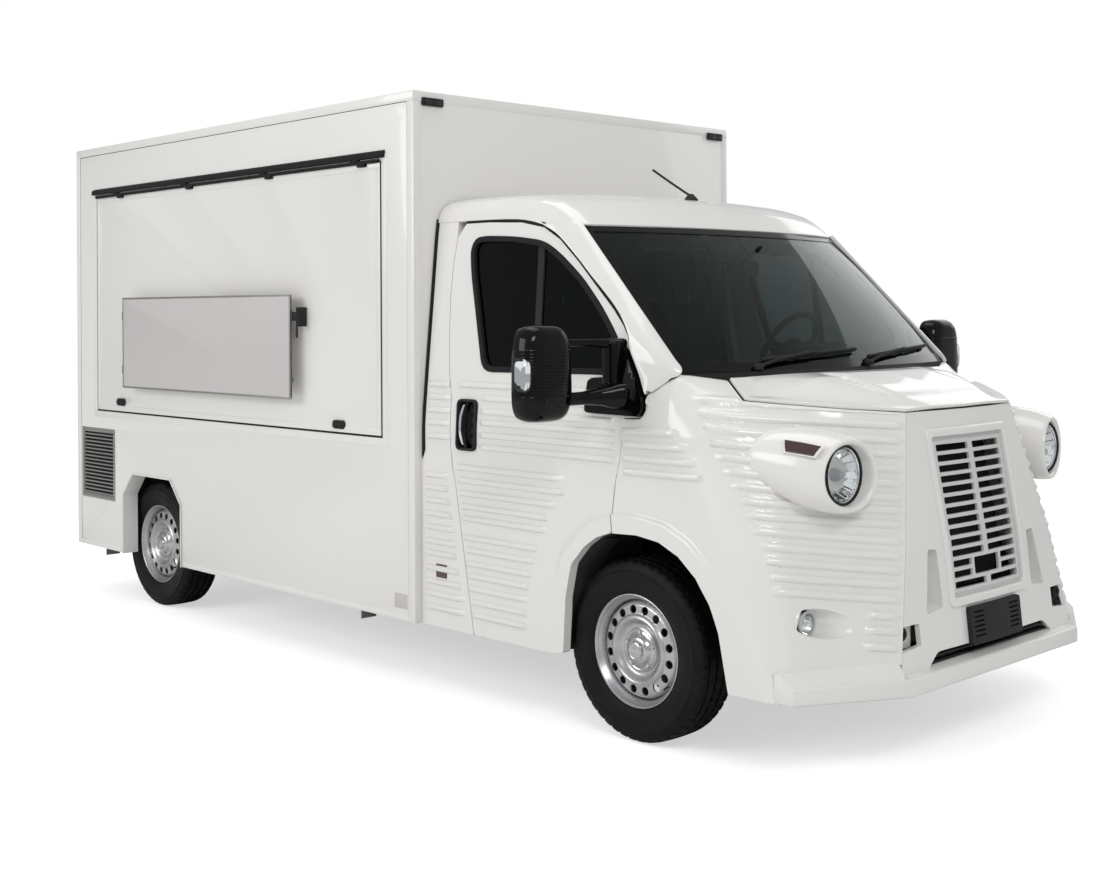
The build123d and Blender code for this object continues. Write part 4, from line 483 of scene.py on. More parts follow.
def dressed(node, look, width=0.003, segments=2):
    """A CAD node's own shape with its edges softened, in place of the node."""
    mesh = frame["nodes"][node].data.copy()
    bm = bmesh.new()
    bm.from_mesh(mesh)
    bmesh.ops.remove_doubles(bm, verts=bm.verts, dist=1e-5)
    bmesh.ops.dissolve_limit(bm, angle_limit=radians(1.5), verts=bm.verts, edges=bm.edges)
    bm.to_mesh(mesh)
    bm.free()
    made = bpy.data.objects.new(node + "_skin", mesh)
    bpy.context.collection.objects.link(made)
    if width:
        softened(made, width, segments)
    return piece(made, look, BODY[node], (node,))


def plain(node, look):
    """A CAD node that is shown as it is, in a better material."""
    node_object = frame["nodes"][node]
    node_object.data.materials.clear()
    node_object.data.materials.append(M[look])


def both_sides(made, look, body, replaces=""):
    """Places a left piece and its mirror image; {side} in the names is filled in."""
    stem = made.name
    other = mirrored(made, stem + "_right")
    made.name = stem + "_left"
    for part, side in ((made, "left"), (other, "right")):
        nodes = [replaces.format(side=side)] if replaces else []
        piece(part, look, body.format(side=side), nodes)
    return made, other


# Camera at the photograph's viewing angle
def photo_camera():
    turn, roll = radians(46.31), radians(-0.31)
    ahead = Vector((-sin(turn), cos(turn), 0))
    level = Vector((cos(turn), sin(turn), 0))
    right = cos(roll) * level + sin(roll) * Vector((0, 0, 1))
    up = -sin(roll) * level + cos(roll) * Vector((0, 0, 1))
    camera = bpy.data.cameras.new("Photo camera")
    camera.lens = 47.55
    camera.sensor_width = 36
    camera.shift_y = -0.1164
    camera.clip_start = 0.1
    camera.clip_end = 200
    holder = bpy.data.objects.new("Photo camera", camera)
    bpy.context.collection.objects.link(holder)
    turned = Matrix((right, up, -ahead)).transposed().to_4x4()
    turned.translation = (5.7375, -5.205, 1.705)
    holder.matrix_world = turned
    bpy.context.scene.camera = holder


def soft_lamp(name, place, aim, size, power):
    lamp = bpy.data.lights.new(name, "AREA")
    lamp.shape = "RECTANGLE"
    lamp.size, lamp.size_y = size
    lamp.energy = power
    holder = bpy.data.objects.new(name, lamp)
    bpy.context.collection.objects.link(holder)
    holder.location = place
    holder.rotation_euler = (Vector(aim) - Vector(place)).to_track_quat("-Z", "Y").to_euler()


def surroundings():
    """A white surround that the camera and glass see, at a lower strength for light and gloss."""
    world = bpy.data.worlds.new("Studio")
    bpy.context.scene.world = world
    world.use_nodes = True
    tree = world.node_tree
    tree.nodes.clear()
    path = tree.nodes.new("ShaderNodeLightPath")
    seen = tree.nodes.new("ShaderNodeMath")
    seen.operation = "MAXIMUM"
    tree.links.new(path.outputs["Is Camera Ray"], seen.inputs[0])
    tree.links.new(path.outputs["Is Transmission Ray"], seen.inputs[1])
    lit = tree.nodes.new("ShaderNodeBackground")
    lit.inputs["Color"].default_value = (0.97, 0.985, 1, 1)
    lit.inputs["Strength"].default_value = WORLD_LIGHT
    white = tree.nodes.new("ShaderNodeBackground")
    white.inputs["Color"].default_value = (1, 1, 1, 1)
    white.inputs["Strength"].default_value = 1.0
    blend = tree.nodes.new("ShaderNodeMixShader")
    out = tree.nodes.new("ShaderNodeOutputWorld")
    tree.links.new(seen.outputs[0], blend.inputs["Fac"])
    tree.links.new(lit.outputs[0], blend.inputs[1])
    tree.links.new(white.outputs[0], blend.inputs[2])
    tree.links.new(blend.outputs[0], out.inputs["Surface"])


def floor():
    made = bpy.data.materials.new("Floor")
    made.use_nodes = True
    tree = made.node_tree
    tree.nodes.clear()
    matt = tree.nodes.new("ShaderNodeBsdfDiffuse")
    matt.inputs["Color"].default_value = (0.86, 0.86, 0.86, 1)
    glow = tree.nodes.new("ShaderNodeEmission")
    path = tree.nodes.new("ShaderNodeLightPath")
    amount = tree.nodes.new("ShaderNodeMath")
    amount.operation = "MULTIPLY"
    amount.inputs[1].default_value = FLOOR_GLOW
    tree.links.new(path.outputs["Is Camera Ray"], amount.inputs[0])
    tree.links.new(amount.outputs[0], glow.inputs["Strength"])
    both = tree.nodes.new("ShaderNodeAddShader")
    out = tree.nodes.new("ShaderNodeOutputMaterial")
    tree.links.new(matt.outputs[0], both.inputs[0])
    tree.links.new(glow.outputs[0], both.inputs[1])
    tree.links.new(both.outputs[0], out.inputs["Surface"])
    sheet = new_object("Floor", [(-60, -60, 0), (60, -60, 0), (60, 60, 0), (-60, 60, 0)], [(0, 1, 2, 3)])
    sheet.data.materials.append(made)


WORLD_LIGHT = 0.52
FLOOR_GLOW = 0.56
bpy.context.scene.view_settings.view_transform = "Standard"
photo_camera()
surroundings()
floor()
soft_lamp("Key", (7.5, -4.0, 6.0), (1.0, 0.0, 1.0), (3.0, 2.0), 155)
soft_lamp("Fill", (-2.0, -9.0, 4.5), (-0.8, 0.0, 1.2), (6.0, 3.5), 250)
soft_lamp("Top", (0.0, 0.0, 9.0), (0.0, 0.0, 0.0), (7.0, 4.0), 170)
soft_lamp("Left", (1.0, 9.0, 5.0), (0.0, 0.0, 1.2), (7.0, 4.0), 90)


# Outlines of the cab, in metres (x, z), from the rear seam round by the roof to the wheel arch
ARCH = [(1.3965, SILL), (1.4815, 0.309), (1.4975, 0.539), (1.5415, 0.682), (1.6115, 0.759), (1.6795, 0.805),
        (1.7665, 0.832), (1.8905, 0.837), (2.0035, 0.822), (2.1015, 0.778), (2.1855, 0.706),
        (2.2435, 0.615), (2.2835, 0.513), (2.3275, SILL)]
REAR_SEAM = [(0.924, SILL), (0.801, 0.961), (0.764, 1.075), (0.757, 1.114), (0.752, 1.326), (0.726, 1.438),
             (0.706, 1.609), (0.694, 1.781), (0.697, 1.925), (0.712, 2.045)]
ROOF_SEAM = [(0.765, 2.110), (0.913, 2.110), (1.112, 2.100), (1.249, 2.073), (1.349, 2.018), (1.472, 1.917),
             (1.573, 1.825), (1.693, 1.718), (1.754, 1.654), (1.788, 1.604), (1.800, 1.548)]
FRONT_SEAM = [(1.868, BELT), (1.908, 1.378), (1.921, 1.325), (1.905, 1.292), (1.8055, 1.283),
              (1.803, 1.154), (1.774, 1.039), (1.755, 0.912), (1.762, 0.832)]
WINDOW = [(0.945, 1.444), (0.822, 1.879), (0.806, 1.985), (0.832, 2.038), (0.902, 2.044), (1.082, 2.034),
          (1.257, 2.010), (1.358, 1.954), (1.499, 1.850), (1.622, 1.731), (1.700, 1.640), (1.752, 1.570),
          (1.770, 1.500), (1.745, BELT)]
MIRROR_BASE = [(1.600, 1.296), (1.905, 1.292), (1.921, 1.325), (1.908, 1.378), (1.868, BELT),
               (1.800, 1.548), (1.760, 1.590), (1.740, 1.450), (1.600, 1.440)]
GAP = 0.004
SIDE_LEVELS = [0, 1.2, 1.30, 1.46, 2.06, 2.2]
REAR_HALF = [1.070, 1.068, 1.060, 1.045, 0.985, 0.965]
FRONT_HALF = [1.070, 1.068, 1.055, 1.025, 0.925, 0.905]


def side_y(x, z):
    """Half width of the cab's side at a point, leaning in and tapering forward above the belt."""
    share = (np.asarray(x, float) - CAB_REAR) / 1.225
    levels = np.arange(0, 2.4, 0.01)
    kernel = np.exp(-0.5 * (np.arange(-8, 9) / 3.0) ** 2)
    kernel /= kernel.sum()

    def soft(half):
        table = np.interp(levels, SIDE_LEVELS, half)
        table = np.convolve(np.pad(table, 8, mode="edge"), kernel, mode="valid")
        return np.interp(z, levels, table)

    return soft(REAR_HALF) * (1 - share) + soft(FRONT_HALF) * share


def step(value, low, high):
    """A soft step from 0 to 1."""
    t = np.clip((np.asarray(value, float) - low) / (high - low), 0, 1)
    return t * t * (3 - 2 * t)


def away(x, z, line, closed=False):
    """Distance from each point to a run of straight lines."""
    best = np.full(np.shape(x), 9.0)
    points = list(line) + ([line[0]] if closed else [])
    for (ax, az), (bx, bz) in zip(points, points[1:]):
        dx, dz = bx - ax, bz - az
        t = np.clip(((x - ax) * dx + (z - az) * dz) / max(dx * dx + dz * dz, 1e-12), 0, 1)
        best = np.minimum(best, np.hypot(x - ax - t * dx, z - az - t * dz))
    return best


def ribs(x, z, table):
    """Half-round beads with short rounded ends; a row is start x, end x, and the height at each."""
    total = np.zeros(x.shape)
    for x0, x1, z0, z1 in table:
        level = z0 + (z1 - z0) * np.clip((x - x0) / (x1 - x0), 0, 1)
        over = np.clip(np.abs(z - level) / RIB_HALF, 0, 1)
        along = np.clip((x - x0) / 0.012, 0, 1) * np.clip((x1 - x) / 0.012, 0, 1)
        crown = np.sqrt(np.clip(1 - over ** 2.6, 0, 1))
        total = np.maximum(total, RIB_RISE * crown * np.sin(along * pi / 2) ** 0.6)
    return total


RIB_HALF = 0.0135
RIB_RISE = 0.0125
ARCH_BAND = 0.078


def flare(x, z, height=0.012):
    """The raised band round the wheel arch, fading away down the front."""
    distance = away(x, z, ARCH[1:])
    band = 1 - step(distance, ARCH_BAND - 0.012, ARCH_BAND + 0.004)
    return height * band * (1 - step(x, 2.17, 2.32)) * step(z, 0.50, 0.70)


UPPER_DOOR_RIBS = [(0.80, 1.60, 1.387, 1.387), (0.965, 1.62, 1.332, 1.332), (0.965, 1.74, 1.275, 1.270),
                   (0.965, 1.765, 1.226, 1.226), (0.965, 1.765, 1.172, 1.172), (0.965, 1.765, 1.120, 1.120)]
LOWER_DOOR_LEFT = [(0.815, 1.024), (0.825, 0.968), (0.831, 0.912), (0.846, 0.855), (0.852, 0.803),
                   (0.860, 0.720), (0.873, 0.666), (0.881, 0.608), (0.893, 0.555), (0.904, 0.500),
                   (0.914, 0.443), (0.924, 0.387)]
LOWER_DOOR_RIGHT = [1.4625, 1.4805, 1.4325, 1.3855, 1.3755, 1.3265, 1.2965, 1.2825, 1.2705, 1.2655, 1.2615,
                    1.2615]
DOOR_RIBS = UPPER_DOOR_RIBS + [(a, b, z, z) for (a, z), b in zip(LOWER_DOOR_LEFT, LOWER_DOOR_RIGHT)]
SIDE_RIBS = [(0.60, 0.742, z, z) for z in (1.384, 1.327, 1.269, 1.212, 1.151)]
SIDE_RIBS += [(0.60, 0.745 + (0.97 - z) * 0.19, z, z) for z in
              (0.977, 0.920, 0.863, 0.803, 0.743, 0.679, 0.626, 0.559, 0.499, 0.444, 0.384)]
BELT_RISE = 0.010


def side_panel_y(x, z, table, start, finish):
    """The outer face of the door and of the panel behind it."""
    belt = BELT_RISE * (1 - step(z, start, finish)) * (1 - 0.65 * step(x, 1.45, 1.75))
    return side_y(x, z) + belt - 0.004 + ribs(x, z, table) + flare(x, z)


def grid_span(low, high, size):
    return np.linspace(low, high, max(2, int(round((high - low) / size)) + 1))


def side_sheet(name, table, x_limits, z_limits, start, finish, thickness, cell=(0.014, 0.005)):
    xs = grid_span(*x_limits, cell[0])
    zs = set(np.round(grid_span(*z_limits, 0.025), 4))
    for row in table:
        for share in (-1.15, -1.0, -0.88, -0.6, -0.3, 0.0, 0.3, 0.6, 0.88, 1.0, 1.15):
            zs.add(round(row[2] + share * RIB_HALF, 4))
    zs = np.array(sorted(value for value in zs if z_limits[0] <= value <= z_limits[1]))
    zs = zs[np.concatenate([[True], np.diff(zs) > 0.00035])]
    x, z = np.meshgrid(xs, zs, indexing="ij")
    y = side_panel_y(x, z, table, start, finish)
    return slab(name, np.stack([x, y, z], axis=2)[::-1], thickness)


def offset_outline(points, distance):
    """Moves an outline in (positive) or out by a distance."""
    pts = np.array(points, float)
    area = 0.5 * np.sum(pts[:, 0] * np.roll(pts[:, 1], -1) - np.roll(pts[:, 0], -1) * pts[:, 1])
    made = []
    for i in range(len(pts)):
        a, b, c = pts[i - 1], pts[i], pts[(i + 1) % len(pts)]
        u, v = (b - a) / np.linalg.norm(b - a), (c - b) / np.linalg.norm(c - b)
        n1, n2 = np.array([-u[1], u[0]]), np.array([-v[1], v[0]])
        if area < 0:
            n1, n2 = -n1, -n2
        mid = (n1 + n2) / max(1 + float(np.dot(n1, n2)), 0.35)
        made.append(tuple(b + mid * distance))
    return made


DOOR_ARCH = [p for p in ARCH if p[0] < 1.75][::-1]
DOOR_OUTLINE = REAR_SEAM + ROOF_SEAM + FRONT_SEAM + DOOR_ARCH
WINDOW_SOFT = rounded(WINDOW, 0.06, 4)


def outline_cutter(name, points, low, high):
    return prism(name, points, 1, low, high)


def door_skin():
    sheet = side_sheet("door_skin", DOOR_RIBS, (0.66, 1.95), (0.285, 2.13), 1.003, 1.072, 0.042)
    shape = outline_cutter("shape", rounded(offset_outline(DOOR_OUTLINE, GAP / 2), 0.012, 3), 0.5, 1.3)
    combined(sheet, [shape], "INTERSECT", "MANIFOLD")
    window = outline_cutter("window", WINDOW_SOFT, 0.5, 1.3)
    handle = outline_cutter("handle",
                            rounded([(0.802, 1.100), (0.936, 1.100), (0.936, 1.322), (0.802, 1.322)],
                                    0.03), 0.5, 1.3)
    corner = outline_cutter("corner", offset_outline(MIRROR_BASE, 0.002), 0.5, 1.3)
    combined(sheet, [window, handle, corner], "DIFFERENCE", "MANIFOLD")
    both_sides(sheet, "kit", "door_{side}", "door_{side}")


def on_side(x, z, lift=0.0):
    return float(side_y(x, z)) + lift


def ring_on_side(name, outer, inner, low, high, closed=True):
    """A band between two outlines of the same number of points, following the side's surface."""
    vertices, faces = [], []
    count = len(outer)
    for points, depth in ((outer, high), (inner, high), (inner, low), (outer, low)):
        vertices += [(x, on_side(x, z, depth), z) for x, z in points]
    for row in range(4):
        after = (row + 1) % 4
        for i in range(count if closed else count - 1):
            j = (i + 1) % count
            faces.append(quad(count, row, after, i, j))
    if not closed:
        faces += [(0, count, 2 * count, 3 * count), tuple(k * count + count - 1 for k in (3, 2, 1, 0))]
    made = new_object(name, vertices, faces)
    return facing_out(made)


def sheet_in_outline(name, outline, depth, thickness, cell=0.03):
    """A thin sheet on the side's surface, cut to an outline."""
    xs = [p[0] for p in outline]
    zs = [p[1] for p in outline]
    x, z = np.meshgrid(grid_span(min(xs) - 0.01, max(xs) + 0.01, cell),
                       grid_span(min(zs) - 0.01, max(zs) + 0.01, cell), indexing="ij")
    made = slab(name, np.stack([x, side_y(x, z) + depth, z], axis=2)[::-1], thickness)
    return combined(made, [outline_cutter("cut", outline, 0.4, 1.4)], "INTERSECT", "MANIFOLD")


def door_window():
    outer = rounded(offset_outline(WINDOW, 0.001), 0.06, 4)
    inner = rounded(offset_outline(WINDOW, 0.026), 0.045, 4)
    seal = ring_on_side("window_seal", denser_pair(outer, inner)[0], denser_pair(outer, inner)[1], -0.030,
                        0.003)
    softened(seal, 0.004, 2)
    both_sides(seal, "seal", "door_{side}")
    bar = [(1.222, 2.010), (1.258, 2.010), (1.293, BELT), (1.257, BELT)]
    both_sides(softened(sheet_in_outline("window_bar", bar, -0.006, 0.016), 0.003), "black", "door_{side}")
    glass = sheet_in_outline("side_window", rounded(offset_outline(WINDOW, 0.012), 0.05, 4), -0.014, 0.004)
    both_sides(glass, "side_glass", "door_{side}", "door_glass_{side}")


def denser_pair(outer, inner):
    """Adds points between the rounded corners, to both outlines alike."""
    a, b = [], []
    for i in range(len(outer)):
        o0, o1, n0, n1 = outer[i], outer[(i + 1) % len(outer)], inner[i], inner[(i + 1) % len(inner)]
        count = max(1, int(np.hypot(o1[0] - o0[0], o1[1] - o0[1]) / 0.04))
        for k in range(count):
            t = k / count
            a.append((o0[0] + (o1[0] - o0[0]) * t, o0[1] + (o1[1] - o0[1]) * t))
            b.append((n0[0] + (n1[0] - n0[0]) * t, n0[1] + (n1[1] - n0[1]) * t))
    return a, b


def door_handle():
    """Black vertical grip dish with scalloped front edge and a bright lever."""
    cx, low, high = 0.869, 1.098, 1.324
    dish = rounded([(0.804, low), (0.934, low), (0.934, high), (0.804, high)], 0.03, 5)
    back = ring_on_side("handle_rim", dish, offset_outline(dish, 0.012), -0.035, 0.010)
    softened(back, 0.004, 2)
    floor_sheet = sheet_in_outline("handle_floor", offset_outline(dish, 0.004), -0.030, 0.006)
    fingers = []
    for k in range(4):
        z = low + 0.045 + k * 0.044
        fingers.append(lathe("finger", [(0.0, -0.012), (0.012, -0.009), (0.016, 0.0), (0.012, 0.009),
                                        (0.0, 0.012)], 1,
                             (0.912, on_side(0.912, z, -0.010), z), 20))
    made = merged("handle_dish", [back, floor_sheet] + fingers)
    both_sides(made, "black", "door_{side}")
    grip = tube("handle_grip", [(cx + 0.006, on_side(cx, z, lift), z) for z, lift in
                                ((low + 0.012, -0.01), (low + 0.03, 0.012), ((low + high) / 2, 0.018),
                                 (high - 0.03, 0.012), (high - 0.012, -0.01))], 0.013)
    both_sides(grip, "gloss", "door_{side}")
    lever = tube("handle_lever", [(cx - 0.022, on_side(cx, z, lift), z) for z, lift in
                                  ((low + 0.03, -0.005), (low + 0.06, 0.012), ((low + high) / 2, 0.014),
                                   (high - 0.06, 0.012), (high - 0.03, -0.005))], 0.009)
    both_sides(lever, "chrome", "door_{side}")


def door_inside():
    """Inner trim with armrest and pocket."""
    trim = prism("door_trim", rounded([(0.90, 0.62), (1.46, 0.62), (1.56, 0.80), (1.74, 0.92),
                                       (1.76, 1.40), (0.83, 1.40), (0.82, 1.02)], 0.05), 1, 0.985, 1.026)
    softened(trim, 0.010, 3)
    both_sides(trim, "dash", "door_{side}")
    rest = prism("door_armrest", rounded([(0.95, 1.02), (1.52, 1.06), (1.50, 1.12), (0.93, 1.09)], 0.02),
                 1, 0.935, 0.99)
    softened(rest, 0.016, 3)
    both_sides(rest, "black", "door_{side}")
    pocket = prism("door_pocket", rounded([(0.93, 0.66), (1.40, 0.66), (1.42, 0.80), (0.91, 0.80)], 0.03),
                   1, 0.945, 0.99)
    softened(pocket, 0.012, 3)
    both_sides(pocket, "black", "door_{side}")


def side_skin():
    """The ribbed panel between the box and the door, with the black label."""
    sheet = side_sheet("side_skin", SIDE_RIBS, (0.555, 0.94), (0.285, 2.16), 1.014, 1.087, 0.040)
    upper = [(0.712 - GAP, 2.13), (CAB_REAR, 2.13)]
    lower = [(CAB_REAR, BELT), (0.5615, 1.446), (0.5615, SILL)]
    outline = [(x - GAP / 2, z) for x, z in REAR_SEAM] + upper + lower
    combined(sheet, [outline_cutter("shape", outline, 0.5, 1.3)], "INTERSECT", "MANIFOLD")
    left = both_sides(sheet, "kit", "truck")[0]
    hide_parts("cab_sides")
    label = sheet_in_outline("fuel_flap",
                             rounded([(0.668, 0.520), (0.742, 0.520), (0.742, 0.580), (0.668, 0.580)],
                                     0.004, 3), 0.008, 0.012)
    piece(mirrored(label, "flap_plate"), "smoke", "truck")
    bpy.data.objects.remove(label)


def door_jamb():
    """The painted frame that shows behind an open door."""
    count = len(REAR_SEAM + ROOF_SEAM + FRONT_SEAM) - 2
    outer, inner = offset_outline(DOOR_OUTLINE, -0.025)[:count], offset_outline(DOOR_OUTLINE, 0.025)[:count]
    ring = ring_on_side("door_jamb", outer, inner, -0.105, -0.060, closed=False)
    both_sides(ring, "kit", "truck")


# Front corners: side wing, rounded fold and ribbed cheek in one skin
PLAN_LEVELS = [SILL, 0.801, 1.3005]
FOLD_X, FOLD_Y = [2.5745, 2.425, 2.214], [1.0497, 1.050, 1.040]
SEAM_X, SEAM_Y = [2.808, 2.749, 2.665], [0.660, 0.536, 0.395]
PROW_X = [2.8245, 2.775, 2.687]
DOOR_SEAM_X = [(SILL, 1.7665), (0.832, 1.7665), (0.912, 1.759), (1.039, 1.778), (1.154, 1.807),
               (1.283, 1.8095), (1.45, 1.8095)]
FOLD_REACH = [(SILL, 0.09), (0.80, 0.15), (1.30, 0.25)]
CHEEK_RIBS = [(2.110, 1.368, 1.318), (2.145, 1.318, 1.263), (2.178, 1.266, 1.207), (2.212, 1.213, 1.157),
              (2.245, 1.162, 1.104), (2.280, 1.110, 1.051), (2.312, 1.060, 1.000), (2.344, 1.005, 0.954),
              (2.374, 0.955, 0.904), (2.404, 0.901, 0.844), (2.430, 0.848, 0.791), (2.453, 0.796, 0.740),
              (2.472, 0.740, 0.690), (2.490, 0.688, 0.638)]
SHORT_RIBS = [(2.700, 0.592, 0.580), (2.704, 0.540, 0.528), (2.708, 0.484, 0.471)]
WING_RIBS = [(1.8165, 2.0725, 1.238), (1.8165, 2.1145, 1.185), (1.8165, 2.1525, 1.132),
             (1.8165, 2.1965, 1.080)]
CAP_START = 1.225
SHOULDER = [(0.00, 1.8095, 1.062, 1.283), (0.075, 1.900, 1.052, 1.286), (0.088, 1.9235, 1.047, 1.322),
            (0.12, 1.912, 1.034, 1.380), (0.17, 1.958, 0.985, 1.425), (0.22, 2.0135, 0.944, 1.460),
            (0.32, 2.0965, 0.766, 1.432), (0.44, 2.2425, 0.853, 1.362), (0.60, 2.3495, 0.759, 1.349),
            (0.80, 2.5095, 0.594, 1.330), (1.00, 2.6645, 0.395, 1.313)]


def plan_point(s, z):
    """A point of the front corner's skin in plan, with s 0 at the door seam and 1 at the nose seam."""
    z = np.asarray(z, float)
    start = np.stack([np.interp(z, *zip(*DOOR_SEAM_X)), np.full(z.shape, 1.068)], axis=-1)
    fold = np.stack([np.interp(z, PLAN_LEVELS, FOLD_X), np.interp(z, PLAN_LEVELS, FOLD_Y)], axis=-1)
    end = np.stack([np.interp(z, PLAN_LEVELS, SEAM_X), np.interp(z, PLAN_LEVELS, SEAM_Y)], axis=-1)
    reach = np.interp(z, *zip(*FOLD_REACH))[..., None]
    back = start - fold
    back_length = np.linalg.norm(back, axis=-1, keepdims=True)
    front = end - fold
    front_length = np.linalg.norm(front, axis=-1, keepdims=True)
    soft = np.minimum(reach, 0.48 * np.minimum(back_length, front_length))
    a = fold + back / back_length * soft
    b = fold + front / front_length * soft
    first, second = back_length - soft, front_length - soft
    total = first + second + 1.6 * soft
    along = np.asarray(s, float)[..., None] * total
    on_side_part = start + (a - start) * np.clip(along / first, 0, 1)
    t = np.clip((along - first) / (1.6 * soft), 0, 1)
    on_fold = (1 - t) ** 2 * a + 2 * t * (1 - t) * fold + t * t * b
    on_cheek = b + (end - b) * np.clip((along - first - 1.6 * soft) / second, 0, 1)
    return np.where(along < first, on_side_part, np.where(along < first + 1.6 * soft, on_fold, on_cheek))


def front_relief(x, z):
    """How far ribs and the arch band stand out of the front corner."""
    seam = np.interp(z, PLAN_LEVELS, SEAM_X)
    total = np.zeros(x.shape)
    rows = [(x0, None, z0, z1) for x0, z0, z1 in CHEEK_RIBS + SHORT_RIBS]
    rows += [(a, b, z, z) for a, b, z in WING_RIBS]
    for x0, x1, z0, z1 in rows:
        stop = seam - 0.012 if x1 is None else np.full(x.shape, x1)
        t = np.clip((x - x0) / (stop - x0), 0, 1)
        over = np.clip(np.abs(z - z0 - (z1 - z0) * t) / RIB_HALF, 0, 1)
        ends = np.clip((x - x0) / 0.012, 0, 1) * np.clip((stop - x) / 0.008, 0, 1)
        crown = np.sqrt(np.clip(1 - over ** 2.6, 0, 1))
        total = np.maximum(total, RIB_RISE * crown * np.sin(ends * pi / 2) ** 0.6)
    return total + flare(x, z)


def corner_skin():
    """Side, fold and cheek up to CAP_START, then a cap drawn in to the shoulder, all with their ribs."""
    s = np.linspace(0, 1, 88)
    z = grid_span(SILL, CAP_START, 0.0045)
    ss, zz = np.meshgrid(s, z, indexing="ij")
    base = np.concatenate([plan_point(ss, zz), zz[..., None]], axis=-1)
    rows = [base[:, j] for j in range(base.shape[1])]
    marks = np.array([r[0] for r in SHOULDER])
    top = np.stack([np.interp(s, marks, [r[k] for r in SHOULDER]) for k in (1, 2, 3)], axis=-1)
    first = base[:, -1]
    rise = first + (base[:, -1] - base[:, -4]) / 3 * 12
    climb = step(top[:, 2], 1.286, 1.430)[:, None]
    knee = np.stack([0.55 * rise[:, 0] + 0.45 * top[:, 0], 0.86 * rise[:, 1] + 0.14 * top[:, 1],
                     np.maximum(top[:, 2] - 0.022, rise[:, 2])], axis=-1)
    knee = knee * climb + 0.5 * (first + top) * (1 - climb)
    for t in np.linspace(0, 1, 40)[1:]:
        rows.append((1 - t) ** 2 * first + 2 * t * (1 - t) * knee + t * t * top)
    base = np.stack(rows, axis=1)
    normal = np.cross(np.gradient(base, axis=0), np.gradient(base, axis=1))
    normal /= np.linalg.norm(normal, axis=-1, keepdims=True)
    if normal[40, 60, 1] < 0:
        normal = -normal
    fade = np.ones(base.shape[1])
    fade[-8:] = np.linspace(1, 0, 8)
    outer = base + normal * (front_relief(base[..., 0], base[..., 2]) * fade[None, :])[..., None]
    sheet = slab("corner_skin", outer[::-1], 0.016)
    cut = [(1.70, 0.28), (1.70, 0.806)] + [p for p in ARCH[1:] if p[0] > 1.76] + [(2.3285, 0.28)]
    turns = np.linspace(0, 2 * pi, 49)[:-1]
    scoop = loft("scoop", [[scoop_point(t, a) for a in turns] for t in (0.0, 0.1, 0.2, 0.3)])
    foot = outline_cutter("foot", [(2.545, 0.20), (2.545, 0.397), (2.672, 0.405), (2.85, 0.419),
                                   (2.95, 0.42), (2.95, 0.20)], 0.3, 1.3)
    combined(sheet, [outline_cutter("arch", cut, 0.85, 1.3), scoop, foot], "DIFFERENCE", "MANIFOLD")
    left = both_sides(sheet, "kit", "truck")[0]
    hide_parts("wings")


FOG_PLACE = (2.560, 0.893, 0.566)
SCOOP_RADIUS = 0.060


def scoop_point(t, a):
    """The scoop's wall: forward and inward from the lamp, narrowing on its way."""
    radius = SCOOP_RADIUS - 0.10 * t
    return (FOG_PLACE[0] + 0.80 * t, FOG_PLACE[1] - 0.60 * t + radius * cos(a),
            FOG_PLACE[2] + radius * sin(a))


def cheek_x(y, z):
    """Where the cheek's flat lies, for a half width and height."""
    fold_x, fold_y = np.interp(z, PLAN_LEVELS, FOLD_X), np.interp(z, PLAN_LEVELS, FOLD_Y)
    seam_x, seam_y = np.interp(z, PLAN_LEVELS, SEAM_X), np.interp(z, PLAN_LEVELS, SEAM_Y)
    return fold_x + (seam_x - fold_x) * (fold_y - y) / (fold_y - seam_y)


def fog_lamps():
    """A lamp at the back of a round scoop that runs out through the cheek."""
    rows = []
    marks = np.linspace(-0.004, 0.35, 400)
    for a in np.linspace(0, 2 * pi, 65):
        depth = [scoop_point(t, a)[0] - float(cheek_x(*scoop_point(t, a)[1:])) for t in marks]
        reach = next((t for t, d in zip(marks, depth) if d > 0.0005), 0.004)
        rows.append([scoop_point(t, a) for t in np.linspace(-0.004, max(reach, 0.002), 8)])
    wall = slab("scoop_wall", np.array(rows)[::-1], 0.003)
    back = lathe("scoop_back", [(0.046, 0.0), (SCOOP_RADIUS + 0.002, 0.0), (SCOOP_RADIUS + 0.002, -0.006),
                                (0.046, -0.006)], 0, FOG_PLACE, 48)
    both_sides(merged("fog_scoop", [wall, back]), "kit", "truck")
    bezel = lathe("fog_bezel", [(0.038, 0.004), (0.041, 0.010), (0.047, 0.008), (0.048, 0.0),
                                (0.048, -0.004), (0.038, -0.004)], 0, FOG_PLACE, 48)
    both_sides(bezel, "grille", "truck")
    bowl = lathe("fog_bowl", [(0.0, -0.030), (0.018, -0.026), (0.032, -0.014), (0.040, 0.002),
                              (0.041, 0.0), (0.033, -0.018), (0.018, -0.031), (0.0, -0.035)], 0, FOG_PLACE,
                              48)
    bulb = lathe("fog_bulb", [(0.0, 0.0), (0.010, -0.003), (0.012, -0.02), (0.0, -0.028)], 0, FOG_PLACE, 24)
    both_sides(merged("fog_bowl", [bowl, bulb]), "chrome", "truck")
    lens = lathe("fog_lens", [(0.0, 0.012), (0.020, 0.010), (0.036, 0.004), (0.040, 0.0), (0.040, -0.003),
                              (0.020, 0.006), (0.0, 0.008)], 0, FOG_PLACE, 48)
    both_sides(lens, "clear", "truck")


